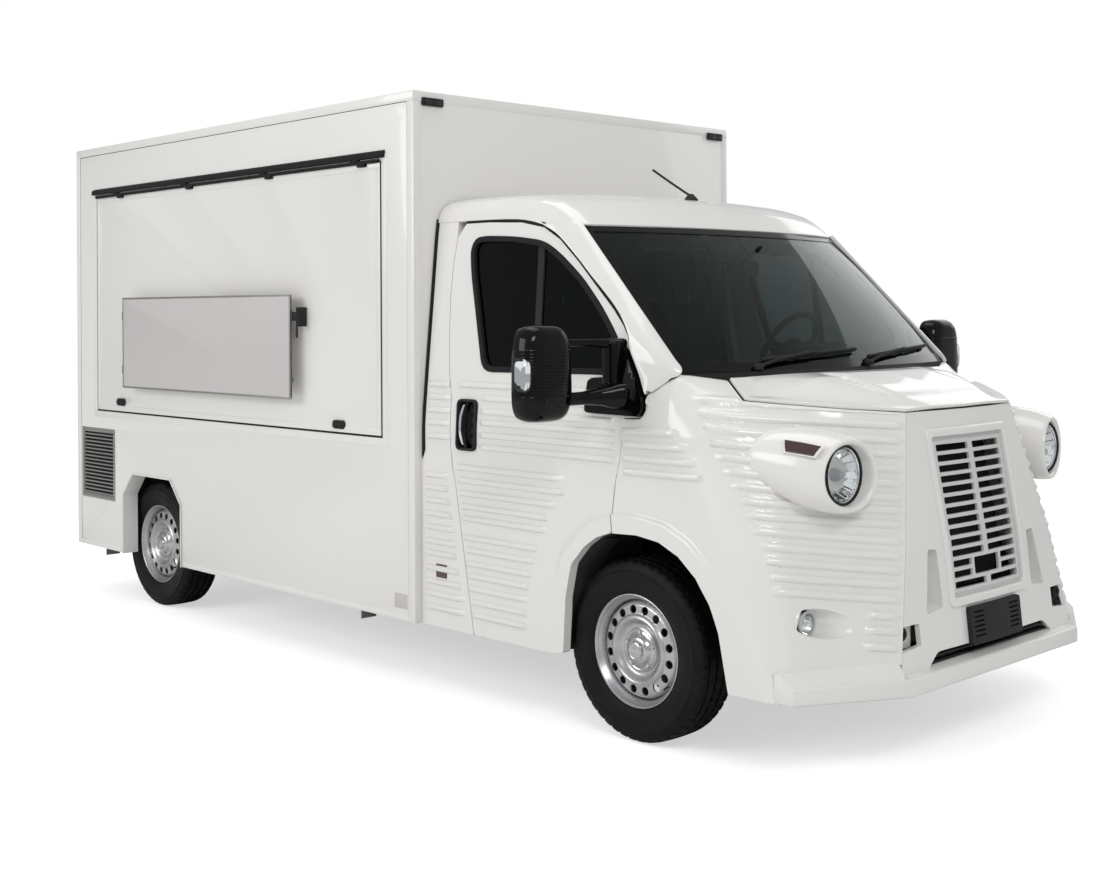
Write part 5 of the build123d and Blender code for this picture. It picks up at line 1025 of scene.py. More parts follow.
def arch_lip():
    """The turned-in edge of the front wheel arch."""
    points = [p for p in ARCH[1:] if p[0] > 1.75]
    line = []
    for (ax, az), (bx, bz) in zip(points, points[1:]):
        for k in range(6):
            line.append((ax + (bx - ax) * k / 6, az + (bz - az) * k / 6))
    line.append(points[-1])
    rows = []
    centre = np.array([1.8095, 0.42])
    for x, z in line:
        away_ = np.array([x, z]) - centre
        away_ /= np.linalg.norm(away_)
        fold_y = float(np.interp(z, PLAN_LEVELS, FOLD_Y))
        y = 1.068 + (fold_y - 1.068) * np.clip((x - 1.81) / 0.6, 0, 1) + 0.002
        rows.append([(x, y, z), (x - away_[0] * 0.004, y - 0.012, z - away_[1] * 0.004),
                     (x - away_[0] * 0.002, y - 0.045, z - away_[1] * 0.002)])
    lip = slab("arch_lip", np.array(rows), 0.006)
    both_sides(lip, "kit", "truck")


def nose_x(y, z):
    """The front panel's surface."""
    half = np.interp(z, PLAN_LEVELS, SEAM_Y)
    share = np.clip(np.abs(y) / half, 0, 1.2)
    prow, seam = np.interp(z, PLAN_LEVELS, PROW_X), np.interp(z, PLAN_LEVELS, SEAM_X)
    return prow + (seam - prow) * share ** 1.3


def nose_half(z):
    return np.interp(z, PLAN_LEVELS, SEAM_Y)


GRILLE_TOP, GRILLE_BOTTOM, GRILLE_HALF_TOP, GRILLE_HALF_BOTTOM = 1.246, 0.568, 0.302, 0.296
FRAME_WIDTH = 0.034


def on_nose(y, z, lift=0.0):
    return float(nose_x(y, z)) + lift


def nose_band(name, outer, inner, low, high):
    """A band on the front panel between two outlines given in y and z."""
    count = len(outer)
    vertices, faces = [], []
    for points, depth in ((outer, high), (inner, high), (inner, low), (outer, low)):
        vertices += [(on_nose(y, z, depth), y, z) for y, z in points]
    for row in range(4):
        after = (row + 1) % 4
        for i in range(count):
            j = (i + 1) % count
            faces.append(quad(count, row, after, i, j))
    made = new_object(name, vertices, faces)
    return facing_out(made)


def nose_cutter(points, low, high):
    return prism("cut", points, 0, low, high)


def trapezoid(top, bottom, half_top, half_bottom):
    return [(-half_bottom, bottom), (half_bottom, bottom), (half_top, top), (-half_top, top)]


def nose_skin():
    ys = np.linspace(-1, 1, 110)
    zs = grid_span(0.372, 1.3125, 0.010)
    uu, zz = np.meshgrid(ys, zs, indexing="ij")
    half = nose_half(zz) - 0.003
    yy = uu * half
    xx = nose_x(yy, zz)
    sheet = slab("nose_skin", np.stack([xx, yy, zz], axis=-1), 0.020)
    cuts = [nose_cutter(rounded(trapezoid(GRILLE_TOP - 0.03, GRILLE_BOTTOM + 0.03, GRILLE_HALF_TOP - 0.03,
                                          GRILLE_HALF_BOTTOM - 0.03), 0.02), 2.4, 3.0)]
    for side in (1, -1):
        tall = [(side * 0.336, 0.580), (side * 0.446, 0.566), (side * 0.396, 0.802), (side * 0.342, 0.796)]
        square = [(side * 0.500, 0.463), (side * 0.622, 0.452), (side * 0.612, 0.543),
                  (side * 0.500, 0.543)]
        cuts += [nose_cutter(rounded(tall, 0.014), 2.5, 3.0), nose_cutter(rounded(square, 0.006), 2.5, 3.0)]
    cuts.append(nose_cutter(rounded([(-0.47, 0.372), (0.47, 0.372), (0.40, 0.425), (-0.40, 0.425)], 0.02),
                            2.5, 3.0))
    combined(sheet, cuts, "DIFFERENCE", "MANIFOLD")
    piece(sheet, "kit", "truck", ("nose_panel",))
    pockets = []
    for side in (1, -1):
        tall = [(side * 0.332, 0.575), (side * 0.451, 0.560), (side * 0.400, 0.808), (side * 0.338, 0.801)]
        vertices, faces = [], []
        outline = rounded(tall, 0.016)
        count = len(outline)
        middle = (side * 0.392, 0.690)
        for shrink, depth in ((1.0, -0.004), (0.97, -0.016), (0.74, -0.095)):
            for y, z in outline:
                upright = shrink if shrink > 0.9 else 0.86
                vertices.append((on_nose(y, z, depth), middle[0] + (y - middle[0]) * shrink,
                                 middle[1] + (z - middle[1]) * upright))
        for row in range(2):
            for i in range(count):
                j = (i + 1) % count
                faces.append(quad(count, row, row + 1, i, j))
        faces.append(tuple(range(2 * count, 3 * count)))
        pocket = new_object("pocket", vertices, faces)
        thick = pocket.modifiers.new("Wall", "SOLIDIFY")
        thick.thickness = 0.004
        thick.offset = 0
        baked(pocket)
        facing_out(pocket)
        pockets.append(pocket)
        deep = on_nose(side * 0.56, 0.50)
        box = brick("notch", (deep - 0.045, min(side * 0.500, side * 0.560), 0.450),
                    (deep - 0.040, max(side * 0.500, side * 0.560), 0.546))
        pockets.append(box)
    piece(merged("nose_pockets", pockets), "kit", "truck")
    eyes = []
    for side in (1, -1):
        centre = (on_nose(0.585, 0.512) - 0.030, side * 0.583, 0.512)
        eyes.append(lathe("eye", [(0.017, -0.020), (0.024, -0.015), (0.024, 0.015), (0.017, 0.020),
                                  (0.010, 0.015), (0.010, -0.015)], 0, centre, 24))
    piece(merged("tow_eyes", eyes), "black", "truck")


def grille():
    """Raised frame, slatted plate with a centre rib, and a black sheet behind it as painted shade for the
    space behind the slats.
    """
    outer = rounded(trapezoid(GRILLE_TOP, GRILLE_BOTTOM, GRILLE_HALF_TOP, GRILLE_HALF_BOTTOM), 0.035, 6)
    inner = rounded(trapezoid(GRILLE_TOP - FRAME_WIDTH, GRILLE_BOTTOM + FRAME_WIDTH,
                              GRILLE_HALF_TOP - FRAME_WIDTH, GRILLE_HALF_BOTTOM - FRAME_WIDTH), 0.022, 6)
    a, b = denser_pair(outer, inner)
    frame_ring = nose_band("grille_frame", a, b, -0.030, 0.012)
    softened(frame_ring, 0.010, 4)
    piece(frame_ring, "kit", "truck")
    step_a, step_b = denser_pair(rounded(trapezoid(GRILLE_TOP - 0.030, GRILLE_BOTTOM + 0.030,
                                                   GRILLE_HALF_TOP - 0.030, GRILLE_HALF_BOTTOM - 0.030),
                                                   0.024, 6),
                                 rounded(trapezoid(GRILLE_TOP - 0.062, GRILLE_BOTTOM + 0.062,
                                                   GRILLE_HALF_TOP - 0.060, GRILLE_HALF_BOTTOM - 0.060),
                                                   0.010, 6))
    ledge = nose_band("grille_ledge", step_a, step_b, -0.026, -0.010)
    softened(ledge, 0.003, 2)
    top, bottom, half = GRILLE_TOP - 0.050, GRILLE_BOTTOM + 0.050, GRILLE_HALF_TOP - 0.048
    zs = grid_span(bottom, top, 0.05)
    ys = np.linspace(-half, half, 9)
    yy, zz = np.meshgrid(ys, zs, indexing="ij")
    plate = slab("grille_plate", np.stack([nose_x(yy, zz) - 0.004, yy, zz], axis=-1), 0.012)
    cuts = []
    rows = 14
    pitch = (top - bottom - 0.016) / rows
    for row in range(rows):
        low = bottom + 0.008 + row * pitch + 0.0070
        high = low + pitch - 0.0140
        for side in (1, -1):
            near, far = 0.016, half - 0.020
            if row in (1, 2):
                near = 0.108
            slot = [(side * near, low), (side * far, low), (side * far, high), (side * near, high)]
            cuts.append(nose_cutter(rounded(slot, 0.006, 3), 2.5, 3.0))
    low = bottom + 0.008 + 1 * pitch + 0.0070
    high = low + 2 * pitch - 0.0140
    cuts.append(nose_cutter(rounded([(-0.092, low), (0.092, low), (0.092, high), (-0.092, high)], 0.008,
                                    3), 2.5, 3.0))
    cutter = merged("cuts", cuts)
    combined(plate, [cutter], "DIFFERENCE", "EXACT")
    softened(plate, 0.003, 2)
    piece(merged("grille_slats", [plate, ledge]), "frame", "truck", ("grille",))
    # A black sheet 90 mm behind the slats: painted shade standing in for the dark space behind the grille.
    dark = slab("grille_painted_shade", np.stack([nose_x(yy, zz) - 0.090, yy * 1.05, zz], axis=-1), 0.006)
    piece(dark, "dark", "truck")


def plate_holder():
    """Blank black number plate holder with vent slots, and the slot of the lower intake."""
    low, high, half = 0.415, 0.562, 0.190
    zs, ys = grid_span(low, high, 0.03), np.linspace(-half, half, 7)
    yy, zz = np.meshgrid(ys, zs, indexing="ij")
    plate = slab("plate_holder", np.stack([nose_x(yy, zz) + 0.020, yy, zz], axis=-1), 0.028)
    combined(plate, [nose_cutter(rounded(trapezoid(high - 0.001, low + 0.001, half - 0.001, half - 0.001),
                                         0.014), 2.5, 3.0)], "INTERSECT", "MANIFOLD")
    slots = []
    for side in (1, -1):
        for k in range(6):
            z = low + 0.030 + k * 0.018
            slots.append(brick("slot", (2.79, min(side * 0.095, side * 0.168), z),
                               (2.90, max(side * 0.095, side * 0.168), z + 0.007)))
    combined(plate, [merged("slots", slots)], "DIFFERENCE", "EXACT")
    softened(plate, 0.003, 2)
    piece(plate, "black", "truck")
    rails = []
    for k in range(2):
        z = 0.378 + k * 0.024
        rails.append(brick("rail", (2.755, -0.46 + k * 0.03, z), (2.790, 0.46 - k * 0.03, z + 0.008)))
    rails.append(brick("back", (2.70, -0.50, 0.366), (2.712, 0.50, 0.435)))
    piece(softened(merged("lower_intake", rails), 0.002), "black", "truck")


def bonnet_skin():
    """Faceted bonnet with a raised centre and two creases."""
    xs = np.linspace(0, 1, 46)
    us = np.linspace(-1, 1, 97)
    u, t = np.meshgrid(us, xs, indexing="ij")
    side = np.array([(2.1010, 0.762, 1.4320), (2.2435, 0.846, 1.3625), (2.3500, 0.752, 1.3490),
                     (2.5095, 0.588, 1.3300), (2.6600, 0.392, 1.3150)])
    marks = np.array([0, 0.30, 0.47, 0.73, 1.0])
    edge = np.stack([np.interp(t, marks, side[:, k]) for k in range(3)], axis=-1)
    rear_x = np.interp(np.abs(u), [0, 0.5, 0.8, 1], [2.222, 2.197, 2.150, 2.101])
    front_x = np.interp(np.abs(u), [0, 1], [2.683, 2.660])
    x = rear_x + (front_x - rear_x) * t
    to_edge = step(np.abs(u), 0.55, 1.0)
    x = np.where(np.abs(u) > 0.55, x * (1 - to_edge) + edge[..., 0] * to_edge, x)
    y = u * edge[..., 1]
    middle = np.interp(t, [0, 0.25, 0.6, 0.9, 1], [1.440, 1.428, 1.385, 1.338, 1.318])
    plateau = 1 - step(np.abs(u), 0.50, 0.93)
    centre = 0.010 * (1 - step(np.abs(y), 0.30, 0.34)) * step(t, 0.02, 0.10) * (1 - step(t, 0.72, 0.82))
    z = edge[..., 2] + (middle - edge[..., 2]) * plateau + centre
    crease = 1 - step(np.abs(np.abs(y) - 0.335), 0.006, 0.022)
    z = z - 0.006 * crease * step(t, 0.05, 0.15) * (1 - step(t, 0.66, 0.78))
    z = np.minimum(z, 1.4395)
    sheet = slab("bonnet_skin", np.stack([x, y, z], axis=-1), 0.014)
    softened(sheet, 0.004, 2, 50)
    piece(sheet, "cab", "bonnet", ("bonnet",))


POD_ROWS = [(2.690, 0.757, 1.101, 0.118, 0.118), (2.698, 0.757, 1.101, 0.127, 0.127),
            (2.691, 0.757, 1.101, 0.136, 0.137), (2.660, 0.758, 1.103, 0.1420, 0.1440),
            (2.600, 0.762, 1.108, 0.1490, 0.1510), (2.540, 0.770, 1.115, 0.1530, 0.1530),
            (2.480, 0.781, 1.124, 0.1530, 0.1480), (2.420, 0.795, 1.134, 0.1470, 0.1370),
            (2.370, 0.810, 1.143, 0.1350, 0.1210), (2.325, 0.826, 1.150, 0.1160, 0.1010),
            (2.285, 0.842, 1.155, 0.0880, 0.0760), (2.258, 0.855, 1.158, 0.0520, 0.0440),
            (2.248, 0.860, 1.159, 0.0180, 0.0150)]
LAMP = (2.626, 0.757, 1.101)


def pod_rings():
    """The nacelle's outer skin from its lip to its tail."""
    turns = np.linspace(0, 2 * pi, 65)[:-1]
    return [[(x - SLANT * level(x) * (1 + cos(a)) / 2, y + wide * cos(a), z + tall * sin(a))
             for a in turns] for x, y, z, wide, tall in POD_ROWS]


SLANT = 0.056


def level(x):
    """How far the slanted mouth of the nacelle is felt at a distance along it."""
    return float(np.clip((x - 2.575) / 0.09, 0, 1))


def pod_point(u, a, lift):
    """A point on the nacelle between its rows, raised outwards."""
    rows = np.array(POD_ROWS)
    x, y, z, wide, tall = [np.interp(u, np.arange(len(rows)), rows[:, k]) for k in range(5)]
    return (x, y + (wide + lift) * cos(a), z + (tall + lift) * sin(a))


def headlamps():
    outer = pod_rings()
    turns = np.linspace(0, 2 * pi, 65)[:-1]
    inner = [[(x - SLANT * level(x) * (1 + cos(a)) / 2, 0.757 + r * cos(a), 1.101 + r * sin(a))
              for a in turns] for x, r in ((2.596, 0.102), (2.604, 0.108), (2.660, 0.111), (2.684, 0.1125))]
    shell = loft("pod_shell", inner + outer, closed=True)
    sub = shell.modifiers.new("Soft", "SUBSURF")
    sub.levels = 1
    baked(shell)
    both_sides(shell, "kit", "truck")
    ring = lathe("lamp_ring", [(0.1035, 0.004), (0.1045, 0.012), (0.1085, 0.014), (0.1115, 0.008),
                               (0.1115, -0.012), (0.1035, -0.012)], 0, LAMP, 72)
    both_sides(ring, "black", "truck")
    bowl = [(0.0, -0.070), (0.024, -0.068), (0.050, -0.056), (0.074, -0.034), (0.094, -0.006),
            (0.102, 0.004), (0.104, 0.002), (0.096, -0.012), (0.076, -0.040), (0.050, -0.062),
            (0.024, -0.075), (0.0, -0.077)]
    dish = lathe("lamp_bowl", bowl, 0, LAMP, 72)
    blades = []
    for k in range(14):
        angle = 2 * pi * k / 14 + 0.1
        points, back = [], []
        for radius, depth in ((0.032, -0.058), (0.062, -0.040), (0.092, -0.002)):
            for a in (angle - 0.15, angle + 0.15):
                points.append((LAMP[0] + depth + (0.006 if a > angle else 0.0), LAMP[1] + radius * cos(a),
                               LAMP[2] + radius * sin(a)))
        back = [(x - 0.005, y, z) for x, y, z in points]
        faces = [(0, 1, 3, 2), (2, 3, 5, 4)]
        faces += [tuple(6 + i for i in f[::-1]) for f in faces[:2]]
        faces += [(1, 0, 6, 7), (3, 1, 7, 9), (5, 3, 9, 11), (4, 5, 11, 10), (2, 4, 10, 8), (0, 2, 8, 6)]
        blades.append(new_object("blade", points + back, faces))
    both_sides(merged("lamp_reflector", [dish] + blades), "mirror", "truck")
    bulb = lathe("lamp_bulb", [(0.0, 0.0), (0.014, -0.004), (0.021, -0.018), (0.024, -0.036),
                               (0.030, -0.052), (0.0, -0.060)], 0, LAMP, 32)
    both_sides(bulb, "grille", "truck")
    lens = lathe("lamp_lens", [(0.0, 0.020), (0.040, 0.018), (0.075, 0.013), (0.096, 0.006), (0.1030, 0.0),
                               (0.1030, -0.003), (0.096, 0.002), (0.075, 0.009),
                               (0.040, 0.014), (0.0, 0.016)], 0, LAMP, 72)
    left = both_sides(lens, "clear", "truck")[0]
    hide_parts("front_lamps")
    sub = lathe("lamp_trim", [(0.088, -0.004), (0.1015, 0.006), (0.1020, 0.003), (0.090, -0.008)], 0, LAMP,
                72)
    both_sides(sub, "chrome", "truck")


def indicators():
    """Dark trapezoid lamps let into the nacelles, with a pale surround below."""
    corners = [(-0.34, 3.95), (-0.36, 5.75), (-0.05, 6.10), (-0.05, 3.70)]
    for name, grow, lift, look, slot in (("indicator", 0.0, 0.0035, "smoke", "lamp_glass"),
                                         ("indicator_bed", 0.16, 0.0012, "kit", "kit_white")):
        middle = np.mean(corners, axis=0)
        marks = [middle + (np.array(c) - middle) * (1 + grow) for c in corners]
        rows = []
        for s in np.linspace(0, 1, 10):
            row = []
            for t in np.linspace(0, 1, 14):
                bottom = marks[0] * (1 - t) + marks[1] * t
                top = marks[3] * (1 - t) + marks[2] * t
                turn, u = bottom * (1 - s) + top * s
                row.append(pod_point(u, INDICATOR_TURN + turn, lift))
            rows.append(row)
        sheet = slab(name, np.array(rows), 0.008)
        softened(sheet, 0.0015, 2, 50)
        both_sides(sheet, look, "truck")


INDICATOR_TURN = 0.80


def bumper_skin():
    """The bumper's lip, and the ledge that slopes from it up to the cheeks."""
    dressed("bumper", "kit", 0.010, 4)
    outer = [(2.602, 1.042, LEDGE_FOOT), (2.706, 0.850, LEDGE_FOOT), (2.828, 0.628, LEDGE_FOOT),
             (2.829, 0.30, LEDGE_FOOT), (2.829, 0.0, LEDGE_FOOT)]
    outer = smooth_free(outer, 12)
    rows = []
    for x, y, z in outer:
        if y > 0.63:
            inner = (float(cheek_x(y, 0.410)) - 0.004, y, 0.402 + 0.02 * (1.05 - y) / 0.42)
            inner = (min(inner[0], x - 0.004), y, inner[2])
        else:
            inner = (on_nose(y, 0.40) - 0.045, y, 0.380)
        rows.append([(x, y, z - 0.006), (x - 0.002, y, z),
                     tuple(0.5 * (np.array((x, y, z)) + np.array(inner))), inner,
                     (inner[0] - 0.03, y, inner[2] - 0.004)])
    both_sides(slab("bumper_ledge", np.array(rows), 0.006), "kit", "truck")
    end = prism("ledge_end", [(2.530, 0.303), (2.606, 0.303), (2.606, 0.364), (2.549, 0.405),
                              (2.530, 0.405)], 1, 0.985, 1.045)
    both_sides(softened(end, 0.003, 2) or end, "kit", "truck")
    grid = [prism("mesh_bar", [(2.700, z), (2.706, z), (2.706, z + 0.004), (2.700, z + 0.004)], 1, -0.46,
                  0.46) for z in (0.378, 0.390, 0.402, 0.414)]
    back = brick("mesh_back", (2.660, -0.47, 0.366), (2.668, 0.47, 0.430))
    piece(merged("lower_mesh", grid + [back]), "black", "truck")


def smooth_free(points, per):
    made = []
    for a, b in zip(points, points[1:]):
        for k in range(per):
            made.append(tuple(np.array(a) + (np.array(b) - np.array(a)) * k / per))
    made.append(points[-1])
    return made


# Greenhouse: roof, screen pillars, windscreen and mirrors
def smooth_path(points, count):
    """A Catmull-Rom run through points, evenly parted in the points' own order."""
    pts = np.array(points, float)
    pts = np.vstack([2 * pts[0] - pts[1], pts, 2 * pts[-1] - pts[-2]])
    marks = np.linspace(0, len(points) - 1, count)
    made = []
    for mark in marks:
        i = min(int(mark), len(points) - 2)
        t = mark - i
        p0, p1, p2, p3 = pts[i], pts[i + 1], pts[i + 2], pts[i + 3]
        made.append(0.5 * (2 * p1 + (p2 - p0) * t + (2 * p0 - 5 * p1 + 4 * p2 - p3) * t * t
                           + (3 * p1 - p0 - 3 * p2 + p3) * t ** 3))
    return np.array(made)


ROOF_FALL = ([0, 0.30, 0.505, 0.65, 0.75, 0.827, 0.90, 0.95, 1.0],
             [0, 0.004, 0.025, 0.08, 0.17, 0.31, 0.55, 0.77, 1.0])
ROOF_REAR = [(CAB_REAR, 0.9785, 2.1155), (CAB_REAR, 0.966, 2.158), (CAB_REAR, 0.938, 2.190),
             (CAB_REAR, 0.895, 2.212), (CAB_REAR, 0.80, 2.229), (CAB_REAR, 0.50, 2.243),
             (CAB_REAR, 0.0, 2.2495)]
ROOF_FRONT = [(1.250, 0.950, 2.0775), (1.315, 0.934, 2.0775), (1.368, 0.913, 2.077), (1.4080, 0.888, 2.074),
              (1.4480, 0.80, 2.074), (1.5210, 0.50, 2.074), (1.5600, 0.0, 2.074)]


def roof_skin():
    rear = smooth_path(ROOF_REAR, 61)
    front = smooth_path(ROOF_FRONT, 61)
    runs = []
    for share in np.linspace(0, 1, 60):
        fall = np.interp(share, *ROOF_FALL)
        row = rear * (1 - share) + front * share
        row[:, 2] = rear[:, 2] + (front[:, 2] - rear[:, 2]) * fall
        runs.append(np.vstack([row, row[-2::-1] * (1, -1, 1)]))
    sheet = slab("roof_skin", np.array(runs)[::-1], 0.020)
    softened(sheet, 0.004, 2, 60)
    piece(sheet, "cab", "truck", ("cab_roof",))


def pillar_skin():
    outer = [(1.250, 2.0775), (1.352, 2.0215), (1.476, 1.920), (1.577, 1.828), (1.698, 1.721),
             (1.760, 1.656), (1.796, 1.602), (1.8100, 1.550), (1.876, 1.450), (1.912, 1.380)]
    outer = smooth_path([(x, on_side(x, z, -0.004), z) for x, z in outer], 70)
    inner = [(1.4080, 0.888, 2.074), (1.5288, 0.8997, 1.9513), (1.6496, 0.9114, 1.8295),
             (1.7703, 0.9230, 1.7078), (1.8911, 0.9347, 1.5860), (1.9700, 0.9420, 1.5070),
             (2.0120, 0.9455, 1.4640), (1.985, 0.968, 1.448), (1.956, 0.988, 1.428), (1.918, 1.030, 1.390)]
    inner = smooth_path(inner, 70)
    knee = np.stack([0.22 * outer[:, 0] + 0.78 * inner[:, 0], outer[:, 1] - 0.004,
                     0.22 * outer[:, 2] + 0.78 * inner[:, 2]], axis=1)
    rows = []
    for t in np.linspace(0, 1, 18):
        rows.append((1 - t) ** 2 * outer + 2 * t * (1 - t) * knee + t * t * inner)
    sheet = slab("pillar_skin", np.stack(rows, axis=1), 0.018)
    softened(sheet, 0.003, 2, 60)
    left = both_sides(sheet, "cab", "truck")[0]
    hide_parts("windscreen_frame")


def door_gap_strip():
    """The dark seal that shows in the gap over and ahead of the door."""
    path = [(0.765, 2.1125)] + [(x, z + 0.002) for x, z in ROOF_SEAM[1:]] + [(1.870, 1.454)]
    clean = []
    for (ax, az), (bx, bz) in zip(path, path[1:]):
        for k in range(5):
            clean.append((ax + (bx - ax) * k / 5, az + (bz - az) * k / 5))
    clean.append(path[-1])
    rows = [[(x, on_side(x, z, -0.013), z - 0.010), (x, on_side(x, z, -0.010), z),
             (x, on_side(x, z, -0.013), z + 0.010)] for x, z in clean]
    both_sides(slab("door_seal", np.array(rows), 0.010), "seal", "truck")


def screen_point(u, v, lift=0.0):
    u, v = np.asarray(u, float), np.asarray(v, float)
    bow = 1 - np.abs(u) ** 2.2
    bottom = np.stack([2.0110 + 0.1480 * bow, 0.9430 * u, 1.4635 + 0 * u], axis=-1)
    top = np.stack([1.4110 + 0.1480 * bow, 0.8865 * u, 2.0690 + 0 * u], axis=-1)
    point = bottom * (1 - v[..., None]) + top * v[..., None]
    bulge = (0.016 * 4 * v * (1 - v) + lift)[..., None]
    return point + bulge * np.array([0.7, 0.0, 0.714])


def screen_sheet(name, u_limits, v_limits, lift, thickness, counts):
    u, v = np.meshgrid(np.linspace(*u_limits, counts[0]), np.linspace(*v_limits, counts[1]), indexing="ij")
    return slab(name, screen_point(u, v, lift), thickness)


def windscreen():
    glass = screen_sheet("screen_glass", (-0.985, 0.985), (0.012, 0.988), -0.003, 0.005, (60, 24))
    piece(glass, "glass", "truck", ("windscreen",))
    strips = [screen_sheet("strip", (-1, 1), (0.955, 1.0), -0.0005, 0.003, (60, 4)),
              screen_sheet("strip", (-1, 1), (0.0, 0.055), -0.0005, 0.003, (60, 4)),
              screen_sheet("strip", (-1, -0.962), (0.05, 0.96), -0.0005, 0.003, (4, 24)),
              screen_sheet("strip", (0.962, 1), (0.05, 0.96), -0.0005, 0.003, (4, 24))]
    piece(merged("screen_border", strips), "gloss", "truck")
    sensor = screen_sheet("sensor_patch", (-0.09, 0.09), (0.82, 0.96), -0.009, 0.003, (8, 6))
    piece(sensor, "dark", "truck")
    mount = loft("mirror_mount", [[(x + 0.012 * cos(a), 0.018 * sin(a), z + 0.012 * cos(a))
                                   for a in np.linspace(0, 2 * pi, 17)[:-1]]
                                  for x, z in ((1.655, 1.985), (1.600, 1.955), (1.560, 1.925))])
    head = prism("inside_mirror", rounded([(-0.125, 1.865), (0.125, 1.865), (0.120, 1.935),
                                           (-0.120, 1.935)], 0.028, 5), 0, 1.525, 1.560)
    softened(head, 0.010, 3)
    piece(merged("inside_mirror", [mount, head]), "black", "truck")


def cowl_panel():
    us = np.linspace(-1, 1, 60)
    rear = screen_point(us, np.zeros(60), -0.004)
    front_x = np.interp(np.abs(us), [0, 0.5, 0.62, 0.8, 1], [2.214, 2.186, 2.148, 2.102, 2.060])
    front = np.stack([front_x, us * 0.80, np.full(60, 1.424)], axis=-1)
    rows = [rear, rear * 0.6 + front * 0.4 - (0, 0, 0.016), front - (0, 0, 0.010)]
    sheet = slab("cowl_panel", np.stack(rows, axis=1), 0.010)
    piece(sheet, "black", "truck")


def wiper(name, foot, tip, blade_half):
    """Arm from the cowl and its blade on the glass."""
    base, top = screen_point(foot[0], foot[1], 0.012), screen_point(tip[0], tip[1], 0.030)
    arm = tube(name, [tuple(base), tuple(base * 0.6 + top * 0.4 + np.array([0.004, 0, 0.014])),
                      tuple(top)], 0.0075)
    knuckle = lathe("knuckle", [(0.0, -0.012), (0.020, -0.012), (0.022, 0.0), (0.016, 0.012),
                                (0.0, 0.014)], 2, tuple(base), 20)
    direction = np.array([tip[0] - foot[0], tip[1] - foot[1]])
    direction = direction / np.linalg.norm(direction)
    parts = [arm, knuckle]
    for lift, radius in ((0.006, 0.0045), (0.016, 0.007)):
        line = []
        for k in np.linspace(-1, 1, 7):
            line.append(tuple(screen_point(tip[0] + direction[0] * k * blade_half,
                                           tip[1] + direction[1] * k * blade_half * 0.45,
                                           lift + 0.006 * (1 - k * k) * (lift > 0.01))))
        parts.append(tube("blade", line, radius))
    return merged(name, parts)


def wipers():
    first = wiper("wiper_right", (-0.62, 0.015), (-0.25, 0.075), 0.34)
    second = wiper("wiper_left", (0.12, 0.015), (0.50, 0.075), 0.36)
    piece(merged("wiper_set", [first, second]), "black", "truck", ("wipers",))


def superellipse(half_y, half_z, power, count=56):
    made = []
    for a in np.linspace(0, 2 * pi, count + 1)[:-1]:
        c, s = cos(a), sin(a)
        made.append((half_y * abs(c) ** (2 / power) * (1 if c >= 0 else -1),
                     half_z * abs(s) ** (2 / power) * (1 if s >= 0 else -1)))
    return made


HEAD_Y, HEAD_Z = 1.4000, 1.470


